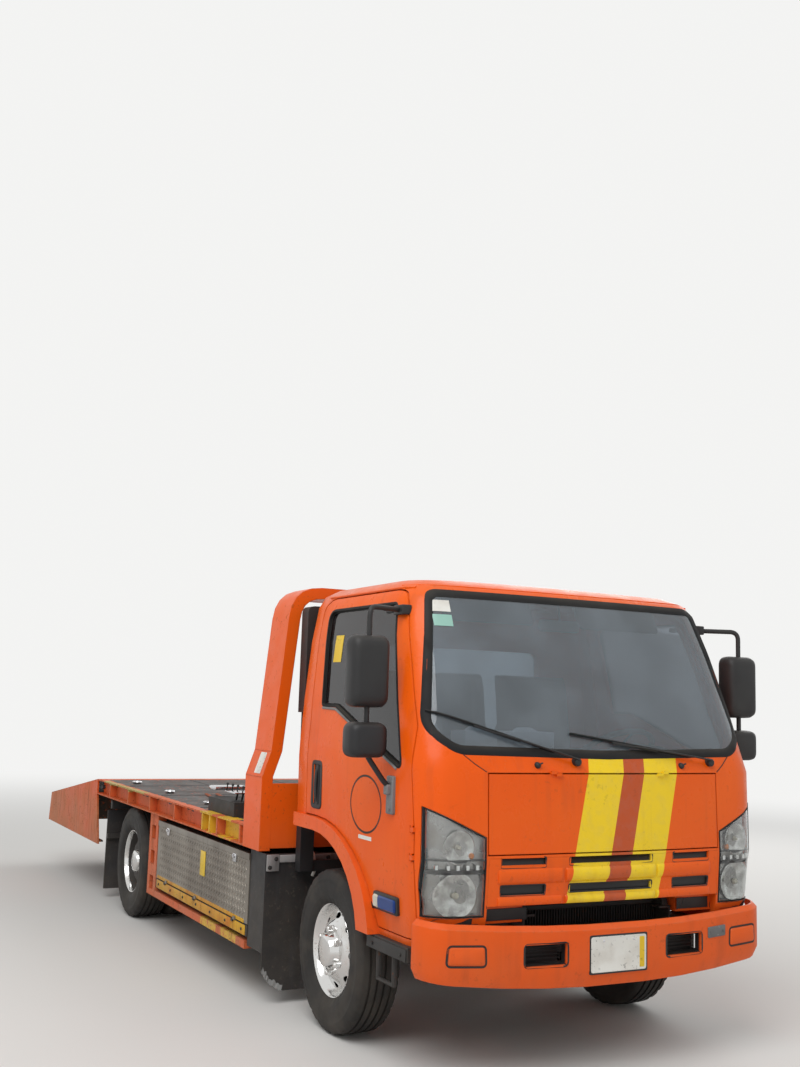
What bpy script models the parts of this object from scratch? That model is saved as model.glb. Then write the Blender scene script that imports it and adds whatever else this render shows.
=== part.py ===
"""Flatbed tow truck: tilting cab, sliding and tilting bed with a beaver tail.

Units are metres, +Z is up, the truck faces -Y and its left side is +X.
Every piece hangs on an empty that stands on the ground under the front axle,
so names that end in _Y are distances behind that axle. The empty is set so
that the middle of the truck's length stands over the world origin.
"""

from math import cos, pi, radians, sin

import bmesh
import bpy
from mathutils import Matrix, Vector

# Driving dimensions
WHEELBASE = 3.365
FRONT_OVERHANG = 1.110
REAR_OVERHANG = 2.925
OVERALL_LENGTH = FRONT_OVERHANG + WHEELBASE + REAR_OVERHANG
FRONT_AXLE_Y = FRONT_OVERHANG - OVERALL_LENGTH / 2
DECK_HALF_WIDTH = 1.090
FRONT_HALF_TRACK = 0.840
TWIN_INSET = 0.257
REAR_HALF_TRACK = DECK_HALF_WIDTH - TWIN_INSET
TWIN_SPACING = 0.250
SEAT_GAP = 0.0003
MOVING_GAP = 0.006
OVERLAP = 0.002
REACH = 0.300
CAB_BOTTOM = 0.570
CAB_TOP = 2.250
CAB_HEIGHT = CAB_TOP - CAB_BOTTOM


def level(share):
    """Return the height at a share of the cab's height above its lower edge."""
    return CAB_BOTTOM + share * CAB_HEIGHT


# Tyres, rims and knuckles
TYRE_RADIUS = 0.395
TYRE_WIDTH = 0.226
BEAD_RADIUS = 0.222
HUB_Z = TYRE_RADIUS
RIM_HALF_WIDTH = 0.083
FLANGE_RADIUS = 0.234
RIM_WALL = 0.010
DISC_WALL = 0.014
HUB_RADIUS = 0.078
HUB_NOSE = 0.044
DISC_FACE = 0.092
DISC_RADIUS = 0.139
BORE_RADIUS = 0.034
SPINDLE_RADIUS = 0.0325
WHEEL_STEPS = 24
KINGPIN_X = 0.690
KINGPIN_RADIUS = 0.020
KNUCKLE_HEIGHT = 0.150
KNUCKLE_SIZE = 0.076

# Chassis ladder
RAIL_OUTER_X = 0.425
RAIL_FLANGE = 0.065
RAIL_WALL = 0.009
RAIL_TOP = 0.700
RAIL_HEIGHT = 0.190
RAIL_BOTTOM = RAIL_TOP - RAIL_HEIGHT
RAIL_INNER_X = RAIL_OUTER_X - RAIL_FLANGE
RAIL_FRONT_Y = -0.960
CROSS_SIZE = 0.080
CROSS_HEIGHT = 0.100

# Axles and springs
AXLE_BEAM = 0.070
AXLE_DROP = 0.060
SPRING_X = 0.392
SPRING_WIDTH = 0.060
SPRING_HALF_LENGTH = 0.600
SPRING_LEAF = 0.014
SPRING_STEPS = 4
REAR_SPRING_X = 0.500
DIFF_RADIUS = 0.150
DIFF_STEPS = 14
AXLE_TUBE_RADIUS = 0.055
HANGER_SIZE = 0.040

# Engine and driveline
ENGINE_HALF_WIDTH = 0.280
ENGINE_FRONT_Y = -0.560
ENGINE_LENGTH = 0.720
ENGINE_BOTTOM = 0.420
ENGINE_ROOM = 0.100
CAB_FLOOR = level(0.2560)
ENGINE_TOP = CAB_FLOOR - ENGINE_ROOM
RADIATOR_Y = -0.800
RADIATOR_DEPTH = 0.070
RADIATOR_HALF_WIDTH = 0.300
RADIATOR_BOTTOM = 0.470
RADIATOR_TOP = 0.880
FAN_RADIUS = 0.060
GEARBOX_LENGTH = 0.560
GEARBOX_RADIUS = 0.150
SHAFT_RADIUS = 0.038
SHAFT_Z = 0.470

# Bed pivot, tilt frame and deck
PIVOT_Y = 4.300
PIVOT_Z = 0.715
PIVOT_RADIUS = 0.024
PIVOT_BORE = 0.0255
EAR_WALL = 0.018
EAR_RADIUS = 0.045
RAIL_TO_PIVOT = 0.080
RAIL_REAR_Y = PIVOT_Y - RAIL_TO_PIVOT
TILT_RAIL_HEIGHT = 0.090
TILT_RAIL_WIDTH = 0.050
TILT_BOTTOM = RAIL_TOP + SEAT_GAP
TILT_TOP = TILT_BOTTOM + TILT_RAIL_HEIGHT
TILT_FRONT_Y = 0.980
TILT_CROSS = 0.060
TILT_CROSS_HEIGHT = 0.030
SLIDE_GAP = 0.0005
DECK_TOP = 0.920
DECK_PLATE = 0.012
KNEE_Y = 4.420
SIDE_RAIL_DEPTH = 0.120
SIDE_RAIL_BOTTOM = DECK_TOP - SIDE_RAIL_DEPTH
SIDE_RAIL_FLANGE = 0.055
SIDE_RAIL_WALL = 0.010
DECK_BEAM_WIDTH = 0.060
DECK_BEAM_X = 0.392
CROSS_BEARER_WIDTH = 0.050
CROSS_BEARER_HEIGHT = 0.060
CROSS_BEARER_SHARES = (0.02, 0.14, 0.27, 0.40, 0.53, 0.66, 0.79, 0.90)
RIB_SHARES = (0.015, 0.13, 0.17, 0.21, 0.38, 0.55, 0.72, 0.88)
RIB_WIDTH = 0.020

# Beaver tail
TAIL_END_Y = WHEELBASE + REAR_OVERHANG
TAIL_TOP_END = 0.668
TAIL_BOTTOM = 0.410
TAIL_SIDE_WALL = 0.014
TAIL_PLATE = 0.014
TAIL_TIP = 0.060
TAIL_NOTCH = 0.070

# Headboard
HOOP_FRONT_Y = 0.650
HOOP_DEPTH = 0.260
HOOP_BAND = 0.065
HOOP_KNEE_Z = 1.200
HOOP_LEAN_Z = 1.340
HOOP_LEAN = 0.048
HOOP_LEAN_X = DECK_HALF_WIDTH - HOOP_LEAN
HOOP_OVER_CAB = 0.020
HOOP_TOP = CAB_TOP + HOOP_OVER_CAB
HOOP_TOP_LEAN = 0.135
HOOP_TOP_X = DECK_HALF_WIDTH - HOOP_TOP_LEAN
HOOP_CORNER = 0.200
BULKHEAD_TOP = 1.165
BULKHEAD_WALL = 0.012

# Winch and valve box on the deck
WINCH_Y = 1.150
WINCH_HALF_WIDTH = 0.330
WINCH_CHEEK = 0.030
WINCH_SIZE = 0.240
WINCH_DRUM_RADIUS = 0.052
WINCH_FLANGE_RADIUS = 0.100
WINCH_AXLE_RADIUS = 0.018
WINCH_AXLE_HEIGHT = 0.140
WINCH_AXLE_Z = DECK_TOP + WINCH_AXLE_HEIGHT
VALVE_BOX_Y = 1.260
VALVE_BOX_LENGTH = 0.480
VALVE_BOX_WIDTH = 0.240
VALVE_BOX_HEIGHT = 0.085
VALVE_LEVER = 0.050

# Cylinders
TILT_CYLINDER_X = 0.200
TILT_BASE_Y = 2.000
TILT_BASE_Z = 0.360
TILT_EYE_Y = 1.450
TILT_EYE_Z = 0.700
TILT_BARREL_RADIUS = 0.042
TILT_ROD_RADIUS = 0.022
TILT_BARREL_LENGTH = 0.430
TILT_PIN_RADIUS = 0.018
SLIDE_BARREL_RADIUS = 0.032
SLIDE_ROD_RADIUS = 0.016
SLIDE_CYLINDER_Z = 0.775
SLIDE_BARREL_LENGTH = 2.650
ROD_GAP = 0.001

# Side boxes, guards, tank and flaps
BOX_SET_BACK = 0.020
BOX_OUTER_X = DECK_HALF_WIDTH - BOX_SET_BACK
BOX_INNER_X = 0.640
BOX_FRONT_Y = 0.830
BOX_REAR_Y = 2.640
BOX_BOTTOM = 0.315
BOX_TOP = 0.760
BOX_WALL = 0.012
LID_WALL = 0.020
LID_TOP_LIP = 0.030
STRIPE_HEIGHT = 0.060
GUARD_BOTTOM = 0.245
GUARD_HEIGHT = 0.045
GUARD_FRONT_Y = 0.860
UPRIGHT_FRONT_Y = 2.660
UPRIGHT_LENGTH = 0.200
UPRIGHT_HEIGHT_SHARES = (0.16, 0.47, 0.78)
UPRIGHT_HOLE = 0.090
UPRIGHT_DEPTH = 0.060
BOX_ARM = 0.050
BOX_HINGE_X = BOX_OUTER_X + MOVING_GAP
BOX_KNUCKLE_SHARES = (0.1, 0.5, 0.85)
FLAP_Y = 0.600
FLAP_WALL = 0.012
FLAP_INNER_X = 0.560
FLAP_SET_BACK = 0.005
FLAP_OUTER_X = BOX_OUTER_X - FLAP_SET_BACK
FLAP_TOP = 0.790
FLAP_BOTTOM = 0.070
FLAP_TEAR = 0.110
FLAP_RETURN = 0.200
REAR_FLAP_Y = 4.170
REAR_FLAP_INNER_X = 0.560
REAR_FLAP_SET_BACK = 0.040
REAR_FLAP_OUTER_X = DECK_HALF_WIDTH - REAR_FLAP_SET_BACK
REAR_FLAP_TOP = 0.690
REAR_FLAP_BOTTOM = 0.075
REAR_FLAP_BAR = 0.040
TANK_FRONT_Y = BOX_FRONT_Y
TANK_LENGTH = 0.760
TANK_WIDTH = 0.420
TANK_HEIGHT = 0.400
TANK_EDGE = 0.060
EXHAUST_RADIUS = 0.085
EXHAUST_LENGTH = 0.620
EXHAUST_Y = 1.000
EXHAUST_X = -0.530
EXHAUST_Z = 0.440
EXHAUST_PIPE = 0.030

# Air intake behind the cab
INTAKE_X = -0.860
INTAKE_Y = 0.550
INTAKE_WIDTH = 0.110
INTAKE_DEPTH = 0.090
INTAKE_UNDER_ROOF = 0.100
INTAKE_TOP = CAB_TOP - INTAKE_UNDER_ROOF
INTAKE_STEP = level(0.5893)
INTAKE_BOTTOM = 0.760
INTAKE_LOWER_SHARE = 0.72

# Bumper
BUMPER_FRONT_Y = -FRONT_OVERHANG
BUMPER_HALF_WIDTH = 0.966
BUMPER_CORNER = 0.145
BUMPER_BOW = 0.045
BUMPER_FLAT_SHARE = 0.2
BUMPER_REAR_Y = -0.912
BUMPER_WALL = 0.018
BUMPER_BOTTOM = 0.395
BUMPER_END_RISE = 0.060
BUMPER_CREASE = 0.470
BUMPER_TOP = 0.665
BUMPER_TOP_RISE = 0.040
BUMPER_CHAMFER = 0.022
BUMPER_LIP = 0.030
INTAKE_SLOT_X = 0.390
INTAKE_SLOT_WIDTH = 0.215
INTAKE_SLOT_Z = 0.550
INTAKE_SLOT_HEIGHT = 0.092
BUMPER_STAY = 0.060

# Cab form
CAB_FRONT_Y = -1.060
CAB_REAR_Y = 0.460
CAB_LENGTH = CAB_REAR_Y - CAB_FRONT_Y
CAB_HALF_WIDTH = 0.975
CAB_CORNER = 0.180
CAB_REAR_CORNER = 0.050
CAB_BOW = 0.030
CAB_WALL = 0.048
CAB_FRONT_WALL = 0.080
# Columns: height, front set-back over length, half width, rear set-back over length
CAB_SECTION_SHARES = (
    (0.000, 0.040, 0.955, 0.000),
    (0.083, 0.010, 0.980, 0.000),
    (0.226, 0.000, 0.995, 0.000),
    (0.455, 0.010, 1.000, 0.000),
    (0.500, 0.030, 0.997, 0.000),
    (0.643, 0.089, 0.980, 0.000),
    (0.821, 0.165, 0.949, 0.000),
    (0.929, 0.214, 0.918, 0.005),
    (0.965, 0.243, 0.887, 0.015),
    (0.988, 0.303, 0.820, 0.050),
    (1.000, 0.400, 0.667, 0.120),
)

# Cab floor, arches and openings
CAB_FLOOR_WALL = 0.030
FOOTWELL_REAR_Y = -0.490
FOOTWELL_FLOOR = level(0.0893)
FOOTWELL_INNER_X = 0.485
FOOTWELL_OUTER_X = 0.930
FOOTWELL_FRONT_Y = -0.930
SKIRT_WALL = 0.045
ARCH_CENTRE_Y = 0.150
ARCH_CENTRE_Z = 0.500
ARCH_LENGTH = 0.560
ARCH_TO_FLOOR = 0.035
ARCH_HEIGHT = CAB_FLOOR - ARCH_TO_FLOOR - ARCH_CENTRE_Z
LIP_LENGTH = 0.690
LIP_WIDTH = 0.070
LIP_HEIGHT = ARCH_HEIGHT + LIP_WIDTH
LIP_FLARE = 0.018
ARCH_STEPS = 8
SCREEN_BOTTOM = level(0.5012)
SCREEN_TOP = level(0.9464)
SCREEN_RISE = 0.015
SCREEN_BOTTOM_X = 0.800
SCREEN_CORNER_X = 0.918
SCREEN_CORNER_Z = level(0.5655)
SCREEN_TOP_X = 0.800
GLASS_INSET = 0.005
GLASS_WALL = 0.006
REAR_WINDOW_BOTTOM = level(0.5238)
REAR_WINDOW_TOP = level(0.8214)
REAR_WINDOW_X = 0.560
WINDOW_CORNER = 0.060
SCREEN_CORNER = 0.150
SCREEN_STEPS = 7
CAB_PIVOT_Y = -0.900
CAB_PIVOT_Z = 0.750
CAB_PIVOT_RADIUS = 0.022
CAB_PIVOT_BORE = 0.0235

# Front panel, grille and lamps
LID_HALF_WIDTH = 0.662
LID_BOTTOM = level(0.2440)
LID_TOP = level(0.4554)
LID_PANEL = 0.022
LID_HINGE_DEPTH = 0.013
LID_HINGE_Y = CAB_FRONT_Y + LID_HINGE_DEPTH
LID_HINGE_Z = LID_TOP - MOVING_GAP / 2
LID_KNUCKLES = (0.280,)
KNUCKLE_RADIUS = 0.005
KNUCKLE_REACH = 0.012
KNUCKLE_LENGTH = 0.030
GRILLE_BOTTOM = level(0.1107)
GRILLE_TO_LID = 0.018
GRILLE_TOP = LID_BOTTOM - GRILLE_TO_LID
GRILLE_HALF_WIDTH = 0.655
GRILLE_DEPTH = 0.045
SLOT_CENTRE_X = 0.230
SLOT_SIDE_INNER_X = 0.365
SLOT_SIDE_OUTER_X = 0.592
SLOT_HEIGHT = 0.042
SLOT_UPPER_Z = level(0.2280)
SLOT_LOWER_Z = level(0.1506)
LAMP_INNER_X = 0.668
LAMP_OUTER_X = 0.945
LAMP_BOTTOM = level(0.0845)
LAMP_TOP_INNER = level(0.2887)
LAMP_TOP_OUTER = level(0.3661)
LAMP_DEPTH = 0.036
LAMP_SPLIT = level(0.1994)

# Doors
DOOR_WALL = 0.040
DOOR_FRONT_Y = -0.900
NOSE_REAR_Y = DOOR_FRONT_Y - MOVING_GAP * 3
DOOR_BOTTOM = 0.605
DOOR_SILL_FRONT_Y = -0.852
DOOR_SILL_Z = level(0.5714)
DOOR_TOP_FRONT_Y = -0.590
DOOR_TOP = level(0.9524)
DOOR_REAR_TOP_Y = 0.320
DOOR_REAR_Y = 0.290
DOOR_INNER_X = 0.800
DOOR_SWING_DEPTH = 0.100
DOOR_SWING_LENGTH = 0.095
DOOR_CORNER = 0.110
HINGE_DEPTH = 0.008
HINGE_X = CAB_HALF_WIDTH - HINGE_DEPTH
HINGE_SET_BACK = 0.014
HINGE_Y = DOOR_FRONT_Y + HINGE_SET_BACK
HINGE_HEIGHTS = (level(0.2321), level(0.3036))
HINGE_LUG = 0.020
HINGE_PIN_RADIUS = 0.006
WINDOW_TOP = level(0.9137)
WINDOW_SILL_REAR = level(0.6161)
WINDOW_SILL_FRONT = level(0.4524)
WINDOW_FRONT_Y = -0.790
WINDOW_TOP_FRONT_Y = -0.545
WINDOW_REAR_Y = 0.160
WINDOW_REAR_TOP_Y = 0.235
WINDOW_STEP_Y = -0.010
DOOR_GLASS_INSET = 0.014
HANDLE_Y = 0.160
HANDLE_WIDTH = 0.080
HANDLE_BOTTOM = level(0.3065)
HANDLE_HEIGHT = 0.225
HANDLE_DEPTH = 0.020

# Mirrors
MIRROR_Y = -0.700
MIRROR_DEPTH = 0.110
MIRROR_INNER_X = 1.010
MIRROR_OUTER_X = 1.235
MIRROR_BOTTOM = level(0.6161)
MIRROR_TOP = level(0.8125)
LOW_MIRROR_BOTTOM = level(0.4821)
LOW_MIRROR_TOP = level(0.5774)
MIRROR_ARM_RADIUS = 0.014
MIRROR_ARM_TOP = level(0.8988)
MIRROR_FOOT_Y = -0.700
MIRROR_TOP_FOOT_Y = -0.585
MIRROR_FOOT_BOTTOM = level(0.3333)
MIRROR_FOOT_TOP = level(0.4345)
MIRROR_FOOT_SIZE = 0.060
MIRROR_CORNER = 0.030

# Cab inside
DASH_FRONT_Y = -0.870
DASH_REAR_Y = -0.600
DASH_BOTTOM = level(0.2917)
DASH_TOP = level(0.4583)
DASH_HALF_WIDTH = 0.880
WHEEL_X = 0.440
WHEEL_Y = -0.490
WHEEL_Z = level(0.4940)
WHEEL_RADIUS = 0.215
WHEEL_RIM = 0.015
WHEEL_TILT = radians(35)
COLUMN_RADIUS = 0.026
COLUMN_LENGTH = 0.180
SEAT_FRONT_Y = -0.140
SEAT_REAR_Y = 0.360
SEAT_BASE_TOP = level(0.3512)
SEAT_CUSHION = 0.150
SEAT_BACK_TOP = level(0.7619)
SEAT_BACK = 0.140
# Columns: cushion centre over cab half width, cushion half width over cab half width
SEAT_SHARES = ((0.46, 0.26), (-0.08, 0.21), (-0.55, 0.22))

# Steps
STEP_FRONT_Y = -0.860
STEP_REAR_Y = -0.450
STEP_INNER_X = 0.780
STEP_OUTER_X = 0.955
STEP_TOP = 0.545
STEP_HEIGHT = 0.040
STEP_LOOP_DROP = 0.170
STEP_LOOP_RADIUS = 0.013

# Colours: red, green, blue, roughness, metallic
FINISHES = {
    "orange_paint": (0.80, 0.13, 0.02, 0.35, 0.0),
    "bed_paint": (0.75, 0.12, 0.02, 0.55, 0.0),
    "black_plastic": (0.02, 0.02, 0.022, 0.55, 0.0),
    "black_steel": (0.03, 0.03, 0.032, 0.60, 0.3),
    "deck_steel": (0.07, 0.07, 0.08, 0.60, 0.6),
    "chrome": (0.80, 0.80, 0.80, 0.12, 1.0),
    "rod_chrome": (0.78, 0.78, 0.80, 0.15, 1.0),
    "tread_plate": (0.45, 0.44, 0.42, 0.35, 0.9),
    "tyre_rubber": (0.02, 0.02, 0.02, 0.85, 0.0),
    "cast_iron": (0.06, 0.06, 0.06, 0.70, 0.4),
    "engine_metal": (0.18, 0.18, 0.19, 0.60, 0.5),
    "screen_glass": (0.10, 0.13, 0.13, 0.05, 0.0),
    "lamp_glass": (0.70, 0.72, 0.72, 0.08, 0.0),
    "seat_cloth": (0.22, 0.03, 0.04, 0.90, 0.0),
    "cab_trim": (0.22, 0.21, 0.20, 0.80, 0.0),
    "tank_steel": (0.30, 0.30, 0.31, 0.45, 0.7),
}

RIGHT = -1
LEFT = 1
SIDES = {"right": RIGHT, "left": LEFT}


# Shapes

def solid(vertices, faces):
    """Return an object of the closed mesh, with its faces pointing out."""
    mesh = bpy.data.meshes.new("shape")
    mesh.from_pydata([tuple(vertex) for vertex in vertices], [], faces)
    shell = bmesh.new()
    shell.from_mesh(mesh)
    bmesh.ops.recalc_face_normals(shell, faces=shell.faces)
    if shell.calc_volume(signed=True) < 0:
        bmesh.ops.reverse_faces(shell, faces=shell.faces)
    shell.to_mesh(mesh)
    shell.free()
    shape = bpy.data.objects.new("shape", mesh)
    bpy.context.scene.collection.objects.link(shape)
    return shape


def loft(rings):
    """Skin a row of equal rings and close both ends."""
    count = len(rings[0])
    vertices = [vertex for ring in rings for vertex in ring]
    faces = []
    for level in range(len(rings) - 1):
        for step in range(count):
            after = (step + 1) % count
            low, high = level * count, (level + 1) * count
            faces.append((low + step, low + after, high + after, high + step))
    faces.append(tuple(range(count)))
    faces.append(tuple(range((len(rings) - 1) * count, len(rings) * count)))
    return solid(vertices, faces)


def prism(axis, outline, low, high):
    """Extrude an outline along an axis: its pairs are YZ, XZ or XY."""
    place = {
        "X": lambda level, pair: (level, pair[0], pair[1]),
        "Y": lambda level, pair: (pair[0], level, pair[1]),
        "Z": lambda level, pair: (pair[0], pair[1], level),
    }[axis]
    return loft([[place(level, pair) for pair in outline] for level in (low, high)])


def block(x, y, z):
    """Return a box from its spans along the three axes."""
    outline = ((y[0], z[0]), (y[1], z[0]), (y[1], z[1]), (y[0], z[1]))
    return prism("X", outline, x[0], x[1])


def rounded(corners, steps=4):
    """Return an outline whose corners (across, up, radius) are turned by curves."""
    outline = []
    for index, (across, up, radius) in enumerate(corners):
        corner = Vector((across, up))
        if radius == 0:
            outline.append((across, up))
            continue
        before = Vector(corners[index - 1][:2]) - corner
        after = Vector(corners[(index + 1) % len(corners)][:2]) - corner
        turn = before.angle(after)
        reach = min(radius / abs(sin(turn / 2) / cos(turn / 2)), before.length / 2, after.length / 2)
        start = corner + before.normalized() * reach
        end = corner + after.normalized() * reach
        for step in range(steps + 1):
            share = step / steps
            point = start * (1 - share) ** 2 + corner * 2 * share * (1 - share) + end * share ** 2
            outline.append((point.x, point.y))
    return outline


def circle(radius, steps, across=0, up=0):
    """Return the corners of a regular outline round a point, with a flat side lowest."""
    turns = [2 * pi * (step + 1 / 2) / steps for step in range(steps)]
    return [(across + radius * cos(turn), up + radius * sin(turn)) for turn in turns]


def rod(start, end, radius, steps=12):
    """Return a round bar between two points."""
    return sweep((start, end), radius, steps)


def sweep(path, radius, steps=8):
    """Return a round bar along a path, mitred at its bends."""
    points = [Vector(point) for point in path]
    across = (points[1] - points[0]).orthogonal().normalized()
    rings = []
    for index, point in enumerate(points):
        before = point - points[max(index - 1, 0)]
        after = points[min(index + 1, len(points) - 1)] - point
        along = (before.normalized() + after.normalized()).normalized()
        across = (across - along * across.dot(along)).normalized()
        up = along.cross(across)
        rings.append([point + across * a + up * b for a, b in circle(radius, steps)])
    return loft(rings)


def turned(profile, steps, centre=(0, 0, 0)):
    """Turn a closed profile of (along X, radius) pairs round the X axis."""
    vertices, rows = [], []
    for along, radius in profile:
        row = []
        for across, up in (circle(radius, steps) if radius > 0 else [(0, 0)]):
            row.append(len(vertices))
            vertices.append((centre[0] + along, centre[1] + across, centre[2] + up))
        rows.append(row)
    faces = []
    for row, after in zip(rows, rows[1:] + rows[:1]):
        if len(row) == 1 and len(after) == 1:
            continue
        for step in range(steps):
            turn = (step + 1) % steps
            corners = (row[step % len(row)], row[turn % len(row)],
                       after[turn % len(after)], after[step % len(after)])
            faces.append(tuple(dict.fromkeys(corners)))
    return solid(vertices, faces)


def aimed(shape, start, end):
    """Move a shape made along +X from the origin so that it runs from start to end."""
    along = Vector(end) - Vector(start)
    turn = along.to_track_quat("X", "Z").to_matrix().to_4x4()
    shape.data.transform(Matrix.Translation(start) @ turn)
    return shape


def mirrored(shape):
    """Return the shape on the other side of the truck's middle plane."""
    other = shape.copy()
    other.data = shape.data.copy()
    bpy.context.scene.collection.objects.link(other)
    other.data.transform(Matrix.Scale(-1, 4, (1, 0, 0)))
    other.data.flip_normals()
    return other


def boolean(target, tools, operation):
    """Apply one Boolean of the target with each tool, and drop the tools."""
    for tool in tools:
        modifier = target.modifiers.new("boolean", "BOOLEAN")
        modifier.operation = operation
        modifier.object = tool
    graph = bpy.context.evaluated_depsgraph_get()
    mesh = bpy.data.meshes.new_from_object(target.evaluated_get(graph))
    target.modifiers.clear()
    target.data = mesh
    for tool in tools:
        bpy.data.objects.remove(tool)
    return target


def cut(target, *tools):
    return boolean(target, tools, "DIFFERENCE")


def fuse(target, *others):
    return boolean(target, others, "UNION")


def common(target, other):
    return boolean(target, (other,), "INTERSECT")


def both(shape):
    """Return a shape and its mirror image."""
    return shape, mirrored(shape)


def sided(side, shape):
    """Return a shape made for the left on the side that is asked for."""
    if side == LEFT:
        return shape
    other = mirrored(shape)
    bpy.data.objects.remove(shape)
    return other


def material(name):
    """Return the named finish as a Principled material, made once."""
    if name in bpy.data.materials:
        return bpy.data.materials[name]
    red, green, blue, roughness, metallic = FINISHES[name]
    made = bpy.data.materials.new(name)
    made.use_nodes = True
    shader = made.node_tree.nodes["Principled BSDF"]
    shader.inputs["Base Color"].default_value = (red, green, blue, 1)
    shader.inputs["Roughness"].default_value = roughness
    shader.inputs["Metallic"].default_value = metallic
    made.diffuse_color = (red, green, blue, 1)
    return made


def piece(name, shape, finish, parent, pivot=(0, 0, 0)):
    """Name a finished shape, give it its material and set its origin on its pivot."""
    shape.name = name
    shape.data.name = name
    shape.data.materials.clear()
    shape.data.materials.append(material(finish))
    shape.data.transform(Matrix.Translation(-Vector(pivot)))
    shape.location = pivot
    shape.parent = parent
    shape.data.shade_smooth()
    shape.data.set_sharp_from_angle(angle=radians(30))
    return shape


# Wheels

def tyre(centre_x):
    """A tyre: bead, bulging side wall, shoulder and crown, resting on a flat of its outline."""
    half = TYRE_WIDTH / 2
    crown = TYRE_RADIUS / cos(pi / WHEEL_STEPS)
    depth = crown - BEAD_RADIUS
    # Columns: width over half width, radius over section depth
    side_shares = ((0.66, 0.00), (0.70, 0.10), (1.00, 0.50), (0.90, 0.88), (0.72, 1.00))
    side = [(half * across, BEAD_RADIUS + depth * up) for across, up in side_shares]
    profile = side + [(-across, radius) for across, radius in reversed(side)]
    return turned(profile, WHEEL_STEPS, (centre_x, 0, HUB_Z))


def front_rim():
    """Left front rim: flanged barrel, disc that bulges outwards, hub nose and spindle bore."""
    centre = (FRONT_HALF_TRACK, 0, HUB_Z)
    bed = BEAD_RADIUS - SEAT_GAP
    well = bed - RIM_WALL
    lip = RIM_WALL / 2
    half = RIM_HALF_WIDTH
    profile = [
        (-half, FLANGE_RADIUS), (-half + lip, bed), (half - lip, bed), (half, FLANGE_RADIUS),
        (half, well), (half / 2, well - RIM_WALL), (DISC_FACE, DISC_RADIUS), (DISC_FACE, HUB_RADIUS),
        (DISC_FACE + HUB_NOSE, HUB_RADIUS - RIM_WALL), (DISC_FACE + HUB_NOSE, 0),
        (DISC_FACE - DISC_WALL * 2, 0), (DISC_FACE - DISC_WALL * 2, BORE_RADIUS),
        (-half / 3, BORE_RADIUS), (-half / 3, HUB_RADIUS), (DISC_FACE - DISC_WALL, DISC_RADIUS - DISC_WALL),
        (half / 3, well - RIM_WALL), (half / 3, well), (-half, well),
    ]
    return turned(profile, WHEEL_STEPS, centre)


def rear_rims():
    """Left rear twin rims: both barrels on one hub, their discs face to face."""
    centre = (REAR_HALF_TRACK, WHEELBASE, HUB_Z)
    bed = BEAD_RADIUS - SEAT_GAP
    well = bed - RIM_WALL
    lip = RIM_WALL / 2
    half = TWIN_SPACING / 2
    outer, near = half + RIM_HALF_WIDTH, half - RIM_HALF_WIDTH
    profile = [
        (-outer, FLANGE_RADIUS), (-outer + lip, bed), (-near - lip, bed), (-near, FLANGE_RADIUS),
        (-DISC_WALL, DISC_RADIUS), (DISC_WALL, DISC_RADIUS),
        (near, FLANGE_RADIUS), (near + lip, bed), (outer - lip, bed), (outer, FLANGE_RADIUS), (outer, well),
        (near + RIM_WALL, well), (DISC_WALL * 2, DISC_RADIUS - DISC_WALL), (DISC_WALL * 2, HUB_RADIUS),
        (half, HUB_RADIUS - RIM_WALL), (half, 0), (-DISC_WALL, 0), (-DISC_WALL, BORE_RADIUS),
        (-half, BORE_RADIUS), (-half, HUB_RADIUS), (-DISC_WALL * 2, DISC_RADIUS - DISC_WALL),
        (-near - RIM_WALL, well), (-outer, well),
    ]
    return turned(profile, WHEEL_STEPS, centre)


def shift(shape, back):
    """Move a shape towards the rear."""
    shape.data.transform(Matrix.Translation((0, back, 0)))
    return shape


def build_wheels(truck):
    for name, side in SIDES.items():
        hub = (side * FRONT_HALF_TRACK, 0, HUB_Z)
        piece(f"front_tyre_{name}", sided(side, tyre(FRONT_HALF_TRACK)), "tyre_rubber", truck, hub)
        piece(f"front_rim_{name}", sided(side, front_rim()), "chrome", truck, hub)
        hub = (side * REAR_HALF_TRACK, WHEELBASE, HUB_Z)
        for place, offset in (("outer", TWIN_SPACING / 2), ("inner", -TWIN_SPACING / 2)):
            ring = shift(sided(side, tyre(REAR_HALF_TRACK + offset)), WHEELBASE)
            piece(f"rear_tyre_{place}_{name}", ring, "tyre_rubber", truck, hub)
        piece(f"rear_rims_{name}", sided(side, rear_rims()), "chrome", truck, hub)
        piece(f"knuckle_{name}", sided(side, knuckle()), "cast_iron", truck, (side * KINGPIN_X, 0, HUB_Z))


def knuckle():
    """Left steering knuckle: kingpin in two ears, back plate, arm and spindle."""
    half_height = KNUCKLE_HEIGHT / 2
    ear = KNUCKLE_HEIGHT / 6
    plate_x = KINGPIN_X + KNUCKLE_SIZE * 3 / 5
    plate = block((plate_x, plate_x + ear), (-KNUCKLE_SIZE / 2, KNUCKLE_SIZE / 2),
                  (HUB_Z - half_height, HUB_Z + half_height))
    ears = []
    for low in (HUB_Z - half_height, HUB_Z + half_height - ear):
        ears.append(block((KINGPIN_X - KNUCKLE_SIZE / 2, plate_x + OVERLAP),
                          (-KNUCKLE_SIZE / 2, KNUCKLE_SIZE / 2), (low, low + ear)))
    pin = rod((KINGPIN_X, 0, HUB_Z - half_height - OVERLAP), (KINGPIN_X, 0, HUB_Z + half_height + OVERLAP),
              KINGPIN_RADIUS)
    spindle_end = FRONT_HALF_TRACK + DISC_FACE - DISC_WALL * 2 - SEAT_GAP
    spindle = rod((plate_x + ear / 2, 0, HUB_Z), (spindle_end, 0, HUB_Z), SPINDLE_RADIUS)
    return fuse(plate, *ears, pin, spindle)


# Chassis, axles and engine

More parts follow.
